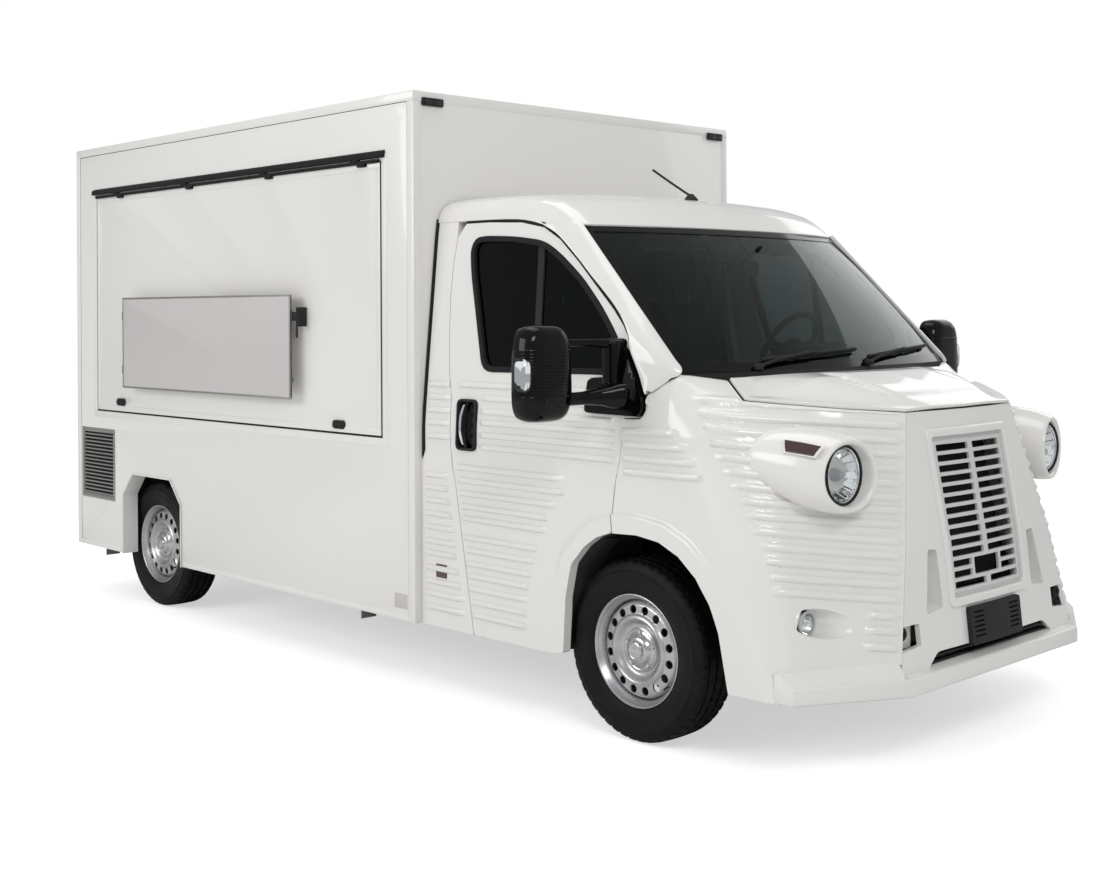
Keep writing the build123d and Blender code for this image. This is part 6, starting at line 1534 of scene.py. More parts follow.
def mirror():
    """Tall rounded head with a fluted band, two arms, foot and clear indicator."""
    rings = []
    for x, hy, hz, power in ((1.679, 0.106, 0.160, 4.2), (1.665, 0.110, 0.167, 4.2),
                             (1.663, 0.116, 0.175, 4.2), (1.669, 0.121, 0.181, 4.4),
                             (1.695, 0.1250, 0.1850, 4.4), (1.725, 0.1250, 0.1845, 4.0),
                             (1.745, 0.1190, 0.1780, 3.8), (1.761, 0.1060, 0.1650, 3.6),
                             (1.7695, 0.0850, 0.1420, 3.4), (1.7730, 0.0500, 0.1000, 3.2),
                             (1.7735, 0.0100, 0.0200, 2.6)):
        rings.append([(x, HEAD_Y + y * (1 - 0.045 * z / 0.185), HEAD_Z + z)
                      for y, z in superellipse(hy, hz, power, 72)])
    shell = loft("mirror_shell", rings)
    trims = []
    for z, radius in [(HEAD_Z + 0.090, 0.0032),
                      (HEAD_Z - 0.086, 0.0032)] + [(HEAD_Z - 0.068 + k * 0.0121, 0.0022)
                                                   for k in range(13)]:
        points = []
        for a in np.linspace(-0.43 * pi, 0.43 * pi, 17):
            c, s = cos(a), sin(a)
            points.append((1.695 + 0.0785 * abs(c) ** 0.62,
                           HEAD_Y + 0.1245 * (1 if s >= 0 else -1) * abs(s) ** 0.5, z))
        trims.append(tube("flute", points, radius))
    both_sides(merged("mirror_shell", [shell] + trims), "gloss", "door_{side}",
               "mirror_{side}")
    glass_rings = [[(x, HEAD_Y + y, HEAD_Z + z) for y, z in superellipse(0.104 * k, 0.158 * k, 4.2)]
                   for x, k in ((1.677, 1.0), (1.6745, 0.985))]
    both_sides(loft("mirror_glass", glass_rings), "chrome", "door_{side}")
    for name, look, grow in (("mirror_indicator", "clear", 1.0), ("indicator_bowl", "mirror", 0.90)):
        lamp_rings = []
        for y, hx, hz in ((1.500, 0.040, 0.068), (1.522, 0.040, 0.066), (1.5285, 0.034, 0.058),
                          (1.5295, 0.014, 0.034)):
            lamp_rings.append([(1.722 + a * grow, y - 0.003 * (grow < 1), HEAD_Z - 0.002 + b * grow)
                               for a, b in superellipse(hx, hz, 4.0, 32)])
        both_sides(loft(name, lamp_rings), look, "door_{side}")
    foot = sheet_in_outline("mirror_foot", rounded(offset_outline(MIRROR_BASE, 0.006), 0.02, 4), 0.020,
                            0.050, 0.02)
    softened(foot, 0.012, 3, 50)
    lower = loft("lower_arm", [[(cx + a, y, z + b) for a, b in superellipse(hx, hz, 3.0, 28)]
                               for y, cx, z, hx, hz in
                               ((1.040, 1.770, 1.372, 0.075, 0.060), (1.085, 1.762, 1.372, 0.062, 0.052),
                                (1.130, 1.742, 1.370, 0.040, 0.034),
                                (1.200, 1.728, 1.368, 0.030, 0.026), (1.290, 1.718, 1.366, 0.028, 0.025),
                                (1.330, 1.716, 1.366, 0.028, 0.025))])
    upper = loft("upper_arm", [[(cx + a, y, z + b) for a, b in superellipse(hx, hz, 3.0, 28)]
                               for y, cx, z, hx, hz in
                               ((0.985, 1.735, 1.570, 0.050, 0.030), (1.060, 1.728, 1.578, 0.036, 0.022),
                                (1.150, 1.712, 1.584, 0.026, 0.016),
                                (1.300, 1.694, 1.586, 0.024, 0.015), (1.340, 1.690, 1.586, 0.024, 0.015))])
    post = loft("arm_post", [[(1.745 + a, 1.048 + b, z) for a, b in superellipse(0.040, 0.036, 3.0, 28)]
                             for z in (1.350, 1.45, 1.56, 1.592)])
    softened(post, 0.012, 3)
    arms = merged("mirror_arms", [foot, lower, upper, post])
    both_sides(arms, "gloss", "door_{side}")


def cab_box_seal():
    """The black gasket between the cab and the box."""
    rows = []
    for z in grid_span(0.32, 2.13, 0.05):
        y = on_side(CAB_REAR, z)
        rows.append([(0.574, y - 0.014, z), (0.567, y - 0.009, z), (0.5605, y - 0.014, z)])
    both_sides(slab("cab_seal", np.array(rows), 0.012), "seal", "truck")


def antenna():
    foot = lathe("antenna_foot", [(0.0, -0.006), (0.034, -0.006), (0.034, 0.004), (0.022, 0.018),
                                  (0.010, 0.030), (0.0, 0.032)], 2, (1.2535, 0.0, 2.226), 28)
    rod = tube("antenna_rod", [(1.2535, 0.0, 2.246), (1.16, 0.0, 2.298), (1.0135, 0.0, 2.387)], 0.0055)
    piece(merged("antenna", [foot, rod]), "black", "truck")


# Wheels: grooved tyres on silver steel rims
TREAD_SLOTS = 48
SECTION = [(-0.083, 0.2135), (-0.0840, 0.2215), (-0.0905, 0.2275), (-0.0965, 0.2380), (-0.0990, 0.2430),
           (-0.0998, 0.2455), (-0.1025, 0.2560), (-0.1060, 0.2720), (-0.1075, 0.2900), (-0.1068, 0.3080),
           (-0.1078, 0.3110), (-0.1078, 0.3145), (-0.1050, 0.3170), (-0.1020, 0.3270), (-0.1005, 0.3345),
           (-0.0985, 0.3380), (-0.0965, 0.3430), (-0.0930, 0.3500), (-0.0870, 0.3560), (-0.0800, 0.3585),
           (-0.0725, 0.3598), (-0.0700, 0.3600), (-0.0690, 0.3530), (-0.0620, 0.3530), (-0.0610, 0.3603),
           (-0.0450, 0.3612), (-0.0270, 0.3617), (-0.0262, 0.3535), (-0.0172, 0.3535), (-0.0164, 0.3619),
           (0.0, 0.3620)]
SECTION = SECTION + [(-a, r) for a, r in SECTION[-2::-1]]


def tyre_mesh(x, y):
    """A lathe with lateral slots on the shoulders, slanting sipes on the middle ribs and ribbed sidewalls."""
    turns = TREAD_SLOTS * 5
    along = np.array([a for a, _ in SECTION])
    radius = np.array([r for _, r in SECTION])
    turn = np.arange(turns)
    grid = np.repeat(radius[:, None], turns, axis=1)
    shoulder = (np.abs(along) > 0.0718) & (np.abs(along) < 0.0975) & (radius > 0.345)
    middle = (np.abs(along) < 0.060) & (radius > 0.3595)
    grid[np.ix_(shoulder, turn % 5 == 0)] -= 0.0055
    for row in np.where(middle)[0]:
        shift = int(round(along[row] * 60))
        grid[row, (turn + shift) % 5 == 2] -= 0.0040
    angle = 2 * pi * turn / turns
    vertices = np.stack([x + grid * np.cos(angle), np.repeat(y + along[:, None], turns, axis=1),
                         AXLE_HEIGHT + grid * np.sin(angle)], axis=2)
    rows = len(SECTION)
    faces = []
    for row in range(rows):
        after = (row + 1) % rows
        for k in range(turns):
            near = (k + 1) % turns
            faces.append(quad(turns, row, after, k, near))
    made = new_object("tyre", vertices.reshape(-1, 3), faces)
    return facing_out(made)


BARREL = [(0.2125, 0.0800), (0.2165, 0.0890), (0.2205, 0.0925), (0.2240, 0.0915), (0.2245, 0.0870),
          (0.2215, 0.0830), (0.2185, 0.0780), (0.2135, 0.0745), (0.2060, 0.0620), (0.2040, 0.0400),
          (0.2040, -0.0620), (0.2130, -0.0740), (0.2205, -0.0800), (0.2225, -0.0860), (0.2170, -0.0860),
          (0.2070, -0.0740), (0.1985, -0.0620), (0.1980, 0.0400), (0.2000, 0.0620), (0.2075, 0.0740)]
DISC_FRONT = [(0.1990, 0.0300), (0.1965, 0.0420), (0.1900, 0.0560), (0.1810, 0.0650), (0.1740, 0.0675),
              (0.1500, 0.0690), (0.1440, 0.0705), (0.1395, 0.0770), (0.1345, 0.0815), (0.1285, 0.0830),
              (0.1225, 0.0805), (0.1150, 0.0720), (0.1060, 0.0610), (0.0990, 0.0565), (0.0900, 0.0550),
              (0.0, 0.0550)]
DISC_BACK = [(0.0, 0.0470), (0.0900, 0.0470), (0.1000, 0.0490), (0.1100, 0.0560), (0.1250, 0.0720),
             (0.1345, 0.0725), (0.1440, 0.0610), (0.1740, 0.0595), (0.1840, 0.0520), (0.1910, 0.0390),
             (0.1935, 0.0300)]
HUB_CAP = [(0.0, 0.0500), (0.0880, 0.0500), (0.0885, 0.0580), (0.0860, 0.0625), (0.0830, 0.0640),
           (0.0800, 0.0615), (0.0760, 0.0605), (0.0660, 0.0640), (0.0600, 0.0700), (0.0560, 0.0775),
           (0.0520, 0.0815), (0.0440, 0.0845), (0.0390, 0.0855), (0.0370, 0.0900), (0.0345, 0.0950),
           (0.0310, 0.0965), (0.0270, 0.0945), (0.0200, 0.0950), (0.0100, 0.0975), (0.0, 0.0980)]
HOLES, HOLE_CIRCLE, HOLE_RADIUS = 16, 0.1615, 0.0172


def wheel(name, x, y, body):
    centre = (x, y, AXLE_HEIGHT)
    tyre = tyre_mesh(x, y)
    barrel = lathe("barrel", BARREL, 1, centre, 96)
    disc = lathe("disc", DISC_FRONT + DISC_BACK, 1, centre, 128)
    holes = []
    for k in range(HOLES):
        angle = 2 * pi * (k + 0.5) / HOLES
        hole = lathe("hole", [(0, 0), (HOLE_RADIUS, 0), (HOLE_RADIUS, 0.09), (0, 0.09)], 1,
                     (x + HOLE_CIRCLE * cos(angle), y + 0.02, AXLE_HEIGHT + HOLE_CIRCLE * sin(angle)), 28)
        holes.append(hole)
    combined(disc, [merged("holes", holes)], "DIFFERENCE", "MANIFOLD")
    softened(disc, 0.0012, 2, 40)
    valve = tube("valve", [(x + 0.150, y + 0.064, AXLE_HEIGHT - 0.118),
                           (x + 0.153, y + 0.085, AXLE_HEIGHT - 0.122),
                           (x + 0.155, y + 0.096, AXLE_HEIGHT - 0.124)], 0.0040)
    both_wheels([(tyre, "tyre", "tyre", "tyre"),
                 (merged("rim", [barrel, disc]), "rim", "rim_silver", "rim")], name, body)
    cap = [lathe("cap", HUB_CAP, 1, centre, 72)]
    for k in range(5):
        angle = 2 * pi * k / 5 + 0.3
        cap.append(lathe("bolt", [(0, 0.052), (0.0090, 0.052), (0.0090, 0.0665), (0.0075, 0.0695),
                                  (0, 0.0700)], 1,
                         (x + 0.0715 * cos(angle), y, AXLE_HEIGHT + 0.0715 * sin(angle)), 18))
    both_wheels([(merged("cap", cap), "hub", "rim_silver", ""), (valve, "black", "rim_silver", "")], name,
                body)


def both_wheels(parts, name, body):
    for made, look, slot, node in parts:
        made.name = name + "_" + (node or look)
        both_sides(made, look, body, node + "_" + name + "_{side}" if node else "")


def wheels():
    wheel("front", FRONT_AXLE, 0.9055, "wheel_front_{side}")
    wheel("rear", REAR_AXLE, 0.8955, "wheel_rear_{side}")


def wheel_housings():
    """Dark front arch liners and their slanting rear leaf."""
    points = [(1.385, 0.300), (1.405, 0.330), (1.440, 0.545), (1.500, 0.690), (1.590, 0.768), (1.68, 0.815),
              (1.81, 0.842), (1.95, 0.835), (2.08, 0.790), (2.18, 0.705), (2.25, 0.590), (2.30, 0.450),
              (2.335, 0.320)]
    path = smooth_path(points, 60)
    rows = []
    for x, z in path:
        y = 1.048 - max(0.0, x - 2.15) * 0.30
        rows.append([(x, y, z), (x, y - 0.10, z + 0.006), (x, 0.800, z + 0.010), (x, 0.62, z + 0.010)])
    both_sides(slab("arch_liner", np.array(rows), 0.006), "liner", "truck")
    rows = []
    for t in np.linspace(0, 1, 24):
        z = 0.310 + (0.79 - 0.310) * t
        x = 1.400 + 0.02 * t + 0.16 * t ** 3
        rows.append([(x - 0.006, 1.052, z), (x + 0.010, 1.030, z), (x + 0.020, 0.965, z - 0.01),
                     (x + 0.022, 0.86, z - 0.02)])
    both_sides(slab("liner_leaf", np.array(rows), 0.006), "liner", "truck")


# Serving box: clad walls, edge profiles, hatch, sign board, vent and lamps
BOX_REAR, BOX_FRONT, BOX_SIDE, BOX_LOW, BOX_HIGH = -2.780, 0.559, 1.109, SILL, 2.714
HINGE_SHARES = (0.08, 0.36, 0.64, 0.92)
REAR_ARCH = [(-2.2005, 0.295), (-2.2005, 0.640), (-2.0825, 0.770), (-1.6535, 0.770), (-1.5355, 0.640),
             (-1.5355, 0.295)]


def flat_on_side(name, low, high, out, depth, width=0.002):
    """A thin block on the right wall, from x, z limits, standing out by a distance."""
    made = brick(name, (low[0], -BOX_SIDE - out, low[1]), (high[0], -BOX_SIDE + depth, high[1]))
    return softened(made, width, 2) if width else made


def edge_profiles():
    """Aluminium corner profiles along the box edges, sprayed white."""
    rise, leg = 0.0025, 0.046
    parts = []
    for side in (1, -1):
        y0, y1 = (BOX_SIDE - 0.004, BOX_SIDE + rise) if side > 0 else (-BOX_SIDE - rise, -BOX_SIDE + 0.004)
        for x0, x1, z0, z1 in ((BOX_FRONT - leg, BOX_FRONT + 0.001, BOX_LOW, BOX_HIGH - leg),
                               (BOX_REAR, BOX_REAR + leg, BOX_LOW, BOX_HIGH - leg),
                               (BOX_REAR, BOX_FRONT, BOX_HIGH - leg, BOX_HIGH - 0.002),
                               (BOX_REAR + leg, -2.2305, BOX_LOW, BOX_LOW + 0.030),
                               (-1.505, BOX_FRONT - leg, BOX_LOW, BOX_LOW + 0.030)):
            parts.append(softened(brick("profile", (x0, y0, z0), (x1, y1, z1)), 0.0016, 2))
    for x0, x1 in ((BOX_FRONT - 0.004, BOX_FRONT + rise), (BOX_REAR - rise, BOX_REAR + 0.004)):
        for y0, y1, z0, z1 in ((-BOX_SIDE, -BOX_SIDE + leg, BOX_LOW, BOX_HIGH - leg),
                               (BOX_SIDE - leg, BOX_SIDE, BOX_LOW, BOX_HIGH - leg),
                               (-BOX_SIDE, BOX_SIDE, BOX_HIGH - leg, BOX_HIGH - 0.002)):
            parts.append(softened(brick("profile", (x0, y0, z0), (x1, y1, z1)), 0.0016, 2))
    piece(merged("edge_profiles", parts), "kit", "truck")
    lines = []
    for y in (-BOX_SIDE - 0.0002, BOX_SIDE - 0.0004):
        for x0, x1, z0, z1 in ((BOX_REAR + leg, BOX_FRONT - leg, BOX_HIGH - leg - 0.003, BOX_HIGH - leg),
                               (BOX_FRONT - leg - 0.0025, BOX_FRONT - leg, BOX_LOW, BOX_HIGH - leg),
                               (BOX_REAR + leg, BOX_REAR + leg + 0.0025, BOX_LOW, BOX_HIGH - leg)):
            lines.append(brick("line", (x0, y, z0), (x1, y + 0.0006, z1)))
    lines.append(brick("line", (BOX_FRONT - 0.0004, -BOX_SIDE + leg, BOX_HIGH - leg - 0.003),
                       (BOX_FRONT + 0.0002, BOX_SIDE - leg, BOX_HIGH - leg)))
    piece(merged("profile_lines", lines), "seal", "truck")


def arch_trim():
    """A folded lip round each rear wheel opening."""
    outer = REAR_ARCH
    inner = offset_outline(REAR_ARCH, 0.022)
    inner[0], inner[-1] = (outer[0][0] + 0.022, 0.295), (outer[-1][0] - 0.022, 0.295)
    out = offset_outline(REAR_ARCH, -0.008)
    out[0], out[-1] = (outer[0][0] - 0.008, 0.295), (outer[-1][0] + 0.008, 0.295)
    vertices, faces = [], []
    count = len(outer)
    for points, y in ((out, BOX_SIDE + 0.004), (outer, BOX_SIDE + 0.004), (outer, BOX_SIDE - 0.09),
                      (out, BOX_SIDE - 0.002)):
        vertices += [(x, y, z) for x, z in points]
    for i in range(count - 1):
        for row in range(3):
            faces.append((row * count + i, row * count + i + 1, (row + 1) * count + i + 1,
                          (row + 1) * count + i))
    sheet = new_object("rear_arch_trim", vertices, faces)
    solid = sheet.modifiers.new("Sheet", "SOLIDIFY")
    solid.thickness = 0.003
    solid.offset = 0
    baked(sheet)
    softened(sheet, 0.001, 2)
    both_sides(sheet, "kit", "truck")


def box_walls():
    for node in ("box_front_wall", "box_left_wall", "box_right_wall", "box_rear_wall"):
        dressed(node, "panel", 0.0015, 2)
    dressed("box_roof", "panel", 0.006, 3)
    plain("box_floor", "floor")
    cap = merged("roof_rim", [softened(brick("rim", low, high), 0.004, 3) for low, high in
                              (((BOX_REAR, -BOX_SIDE, 2.690), (BOX_FRONT, -BOX_SIDE + 0.045, BOX_HIGH)),
                               ((BOX_REAR, BOX_SIDE - 0.045, 2.690), (BOX_FRONT, BOX_SIDE, BOX_HIGH)),
                               ((BOX_FRONT - 0.045, -BOX_SIDE, 2.690), (BOX_FRONT, BOX_SIDE, BOX_HIGH)),
                               ((BOX_REAR, -BOX_SIDE, 2.690), (BOX_REAR + 0.045, BOX_SIDE, BOX_HIGH)))])
    piece(cap, "kit", "truck")


def hatch():
    """The hatch leaf with its edge frame, hinge, two latches and inner stiffeners."""
    dressed("hatch_panel", "panel", 0.0012, 2)
    x0, x1, z0, z1 = -2.507, 0.311, 1.133, 2.405
    wide = 0.030
    frame_parts = [flat_on_side("leaf_frame", low, high, 0.0035, 0.004, 0.0015) for low, high in
                   (((x0, z0), (x1, z0 + wide)), ((x0, z1 - wide), (x1, z1)),
                    ((x0, z0 + wide), (x0 + wide, z1 - wide)), ((x1 - wide, z0 + wide), (x1, z1 - wide)))]
    piece(merged("leaf_frame", frame_parts), "kit", "hatch")
    gap = [flat_on_side("gap", low, high, 0.0006, 0.004, 0) for low, high in
           (((x0 - 0.010, z0 - 0.010), (x0 - 0.001, z1 + 0.006)),
            ((x1 + 0.001, z0 - 0.010), (x1 + 0.010, z1 + 0.006)),
            ((x0 - 0.010, z0 - 0.010), (x1 + 0.010, z0 - 0.001)))]
    piece(merged("hatch_gap", gap), "seal", "truck")
    surround = [flat_on_side("surround", low, high, 0.0025, 0.004, 0.0015) for low, high in
                (((x0 - 0.046, z0 - 0.046), (x1 + 0.046, z0 - 0.012)),
                 ((x0 - 0.046, z0 - 0.012), (x0 - 0.012, 2.44)),
                 ((x1 + 0.012, z0 - 0.012), (x1 + 0.046, 2.44)))]
    piece(merged("hatch_surround", surround), "kit", "truck")
    strip = prism("hatch_strip", [(-BOX_SIDE + 0.002, 2.4260), (-BOX_SIDE - 0.0150, 2.4260),
                                  (-BOX_SIDE - 0.0175, 2.4310), (-BOX_SIDE - 0.0160, 2.4500),
                                  (-BOX_SIDE + 0.002, 2.4620)], 0, -2.5545, 0.3495)
    softened(strip, 0.002, 2)
    piece(strip, "seal", "truck")
    hinge = [tube("hinge_rod", [(x0, -1.118, 2.412), (-1.1, -1.118, 2.412), (x1, -1.118, 2.412)], 0.0088)]
    covers = []
    for share in HINGE_SHARES:
        start = x0 - 0.008 + share * (x1 - x0 + 0.016)
        hinge.append(brick("knuckle", (start - 0.0005, -1.1235, 2.412), (start + 0.0600, -1.1085, 2.4335)))
        covers.append(softened(brick("cover", (start + 0.0595, -1.1280, 2.3905),
                                     (start + 0.1205, -1.1085, 2.4110)), 0.002, 2))
    piece(merged("hatch_hinge", hinge), "seal", "truck")
    piece(merged("hinge_leaves", covers), "seal", "hatch")
    for k, (x, z) in enumerate(((-2.2145, 1.187), (-0.0205, 1.169))):
        plate = prism("latch", rounded([(x - 0.050, z - 0.021), (x + 0.050, z - 0.021),
                                        (x + 0.050, z + 0.021), (x - 0.050, z + 0.021)], 0.021, 6), 1,
                                        -BOX_SIDE - 0.010, -BOX_SIDE + 0.002)
        softened(plate, 0.004, 3)
        grip = lathe("latch_grip", [(0, -0.021), (0.013, -0.021), (0.014, -0.014), (0.012, 0.0), (0, 0.0)],
                     1, (x - 0.016, -BOX_SIDE, z), 24)
        lever = softened(brick("lever", (x - 0.010, -BOX_SIDE - 0.018, z - 0.007),
                               (x + 0.036, -BOX_SIDE - 0.006, z + 0.007)), 0.004, 2)
        piece(merged("latch_%d" % (k + 1), [plate, grip, lever]), "black", "hatch")
    bars = [softened(brick("stiffener", (x - 0.02, -1.069, 1.16), (x + 0.02, -1.052, 2.38)), 0.003, 2)
            for x in (-2.46, -1.10, 0.26)]
    piece(merged("hatch_stiffeners", bars), "zinc", "hatch")


def sign():
    """Blank board in a thin frame, with posts, an upper clasp and a side hinge."""
    x0, x1, z0, z1, y0, y1 = -2.060, -0.331, 1.280, 1.800, -1.183, -1.171
    board = prism("sign_face", rounded([(x0, z0), (x1, z0), (x1, z1), (x0, z1)], 0.006, 4), 1, y0 + 0.002,
                  y1)
    softened(board, 0.0015, 2)
    posts = [lathe("post", [(0, 0), (0.024, 0), (0.024, 0.006), (0.013, 0.008), (0.013, 0.060),
                            (0, 0.060)], 1, (x, -1.1705, z), 28)
             for x in (x0 + 0.09, x1 - 0.09) for z in (z0 + 0.09, z1 - 0.09)]
    piece(board, "sign", "hatch", ("sign_board",))
    piece(merged("sign_posts", posts), "zinc", "hatch")
    edge = 0.010
    rim = [softened(brick("edge", (a, y0, b), (c, y1 - 0.001, d)), 0.0012, 2) for a, b, c, d in
           ((x0, z0, x1, z0 + edge), (x0, z1 - edge, x1, z1), (x0, z0 + edge, x0 + edge, z1 - edge),
            (x1 - edge, z0 + edge, x1, z1 - edge))]
    piece(merged("sign_rim", rim), "alloy", "hatch")
    clasp = [softened(brick("clasp", (x1 - 0.004, -1.171, 1.668), (x1 + 0.045, -1.158, 1.712)), 0.003, 2),
             softened(brick("clasp", (x1 + 0.026, -1.166, 1.640), (x1 + 0.044, -1.112, 1.735)), 0.003, 2),
             tube("clasp_lever", [(x1 + 0.034, -1.165, 1.70), (x1 + 0.052, -1.176, 1.64),
                                  (x1 + 0.050, -1.176, 1.585)], 0.005)]
    clasp += [softened(brick("hinge", (x0 - 0.030, -1.171, z), (x0 + 0.01, -1.160, z + 0.05)), 0.003, 2)
              for z in (1.36, 1.67)]
    piece(merged("sign_clasp", clasp), "black", "hatch")


def vent_louvre():
    dressed("vent", "alloy", 0.0008, 1)
    x0, x1, z0, z1 = -2.711, -2.310, 0.600, 1.010
    rim = [flat_on_side("vent_rim", low, high, 0.003, 0.001, 0.0015) for low, high in
           (((x0 - 0.008, z0 - 0.008), (x1 + 0.008, z0 + 0.012)),
            ((x0 - 0.008, z1 - 0.012), (x1 + 0.008, z1 + 0.008)),
            ((x0 - 0.008, z0 + 0.012), (x0 + 0.012, z1 - 0.012)),
            ((x1 - 0.012, z0 + 0.012), (x1 + 0.008, z1 - 0.012)))]
    mesh = brick("vent_back", (x0 + 0.012, -BOX_SIDE + 0.030, z0 + 0.012),
                 (x1 - 0.012, -BOX_SIDE + 0.034, z1 - 0.012))
    piece(merged("vent_rim", rim), "alloy", "truck")
    piece(mesh, "dark", "truck")


def box_fittings():
    """Front marker lamps, a blank label, and the rear door with its lamps and bumper."""
    for k, y in enumerate((-1.000, 1.000)):
        base = softened(prism("marker", rounded([(y - 0.062, 2.649), (y + 0.062, 2.649),
                                                 (y + 0.062, 2.685), (y - 0.062, 2.685)], 0.006, 3), 0,
                                                 BOX_FRONT - 0.001, BOX_FRONT + 0.012), 0.003, 2)
        piece(base, "black", "truck")
        lenses = []
        for a, b in ((y - 0.052, y - 0.006), (y + 0.006, y + 0.052)):
            outline = rounded([(a, 2.655), (b, 2.655), (b, 2.679), (a, 2.679)], 0.004, 3)
            lenses.append(softened(prism("marker_lens", outline, 0, BOX_FRONT + 0.010, BOX_FRONT + 0.017),
                                   0.003, 2))
        piece(merged("marker_lens_%d" % (k + 1), lenses), "clear", "truck")
        base.name = "marker_base_%d" % (k + 1)
    label = flat_on_side("blank_label", (0.405, 0.352), (0.500, 0.420), 0.0008, 0.001, 0.0004)
    piece(label, "sign", "truck")
    for node, look, width in (("rear_lamps", "red", 0.006), ("rear_bumper", "chassis", 0.008),
                              ("rear_door", "panel", 0.0015)):
        dressed(node, look, width, 3)
    frame_parts = [softened(brick("door_frame", (-2.7835, a, b), (-2.778, c, d)), 0.0015, 2)
                   for a, b, c, d in
                   ((-0.43, 0.44, -0.386, 2.40), (0.386, 0.44, 0.43, 2.40), (-0.43, 2.362, 0.43, 2.40),
                    (-0.43, 0.44, 0.43, 0.478))]
    piece(merged("rear_door_frame", frame_parts), "kit", "truck")
    grip = tube("rear_grip", [(-2.783, 0.33, 1.15), (-2.803, 0.33, 1.16), (-2.803, 0.33, 1.66),
                              (-2.783, 0.33, 1.67)], 0.009)
    piece(grip, "chrome", "rear_door")
    for side in (1, -1):
        lamp = softened(brick("high_lamp_left" if side > 0 else "high_lamp_right",
                              (-2.7865, side * 0.86 - 0.05, 2.52), (-2.779, side * 0.86 + 0.05, 2.57)),
                        0.004, 2)
        piece(lamp, "red", "truck")


def under_box():
    for node in ("steady_front_left", "steady_front_right", "steady_rear_left", "steady_rear_right"):
        dressed(node, "zinc", 0.0015, 2)
    for node, look in (("chassis_frame", "chassis"), ("rear_axle", "chassis"), ("cab_floor", "chassis"),
                       ("engine", "cast"),
                       ("knuckle_left", "cast"), ("knuckle_right", "cast")):
        plain(node, look)


def counter():
    dressed("serving_counter", "stainless", 0.002, 2)
    shelf = softened(brick("counter_lip", (-2.505, -0.520, 1.085), (0.312, -0.505, 1.125)), 0.004, 3)
    piece(shelf, "stainless", "truck")


# Cab inside: dashboard, wheel, seats and trim
def dashboard():
    """A soft-topped fascia with binnacle, centre stack, vents and glove box."""
    profile = [(1.960, 1.090), (1.955, 1.380), (1.935, 1.425), (1.860, 1.448), (1.760, 1.452),
               (1.690, 1.440), (1.640, 1.405), (1.615, 1.350), (1.605, 1.250), (1.625, 1.130),
               (1.680, 1.085)]
    ys = [-0.83, -0.70, -0.5, -0.2, 0.0, 0.2, 0.5, 0.7, 0.83]
    rings = []
    for y in ys:
        pull = 0.012 if abs(y) > 0.8 else 0.0
        rings.append([(x + (0.02 if x < 1.7 else -0.01) * (pull > 0), y, z - pull) for x, z in profile])
    body = loft("fascia", rings)
    softened(body, 0.020, 3, 50)
    piece(body, "dash", "truck", ("dashboard",))
    hood_rings = []
    for x, half, top in ((1.850, 0.150, 1.500), (1.780, 0.168, 1.545), (1.700, 0.172, 1.556),
                         (1.655, 0.165, 1.548), (1.640, 0.150, 1.530)):
        ring = [(x, 0.45 - half, 1.42), (x, 0.45 - half, top - 0.05), (x, 0.45 - half * 0.82, top - 0.012),
                (x, 0.45 - half * 0.4, top), (x, 0.45 + half * 0.4, top),
                (x, 0.45 + half * 0.82, top - 0.012), (x, 0.45 + half, top - 0.05), (x, 0.45 + half, 1.42)]
        hood_rings.append(ring)
    hood = loft("binnacle", hood_rings)
    softened(hood, 0.012, 3, 40)
    piece(hood, "dash", "truck")
    dials = [lathe("dial", [(0, -0.006), (0.046, -0.006), (0.050, 0.0), (0.046, 0.004), (0.042, 0.001),
                            (0, 0.001)], 0, (1.636, y, 1.485), 32) for y in (0.37, 0.53)]
    piece(merged("dials", dials), "gloss", "truck")
    stack = softened(brick("centre_stack", (1.590, -0.16, 1.10), (1.640, 0.16, 1.40)), 0.014, 3)
    screen_face = softened(brick("console_screen", (1.584, -0.12, 1.27), (1.596, 0.12, 1.385)), 0.006, 2)
    piece(stack, "dash", "truck")
    piece(screen_face, "gloss", "truck")
    vents = []
    for y in (-0.72, -0.24, 0.24, 0.72):
        vents.append(softened(brick("air_vent", (1.598, y - 0.065, 1.330), (1.630, y + 0.065, 1.400)),
                              0.008, 2))
        for k in range(4):
            vents.append(brick("air_slat", (1.594, y - 0.055, 1.341 + k * 0.015),
                               (1.602, y + 0.055, 1.345 + k * 0.015)))
    piece(merged("air_vents", vents), "black", "truck")
    box_lid = softened(brick("glove_lid", (1.594, -0.66, 1.12), (1.622, -0.22, 1.30)), 0.014, 3)
    piece(box_lid, "dash", "truck")
    lever = [tube("gear_lever", [(1.57, 0.02, 1.16), (1.53, 0.02, 1.22), (1.49, 0.02, 1.275)], 0.010),
             lathe("gear_knob", [(0, -0.03), (0.018, -0.028), (0.024, -0.005), (0.022, 0.012),
                                 (0.010, 0.022), (0, 0.024)], 2, (1.485, 0.02, 1.285), 24),
             softened(brick("gear_base", (1.53, -0.06, 1.10), (1.61, 0.10, 1.17)), 0.012, 3)]
    piece(merged("gear_lever", lever), "black", "truck")


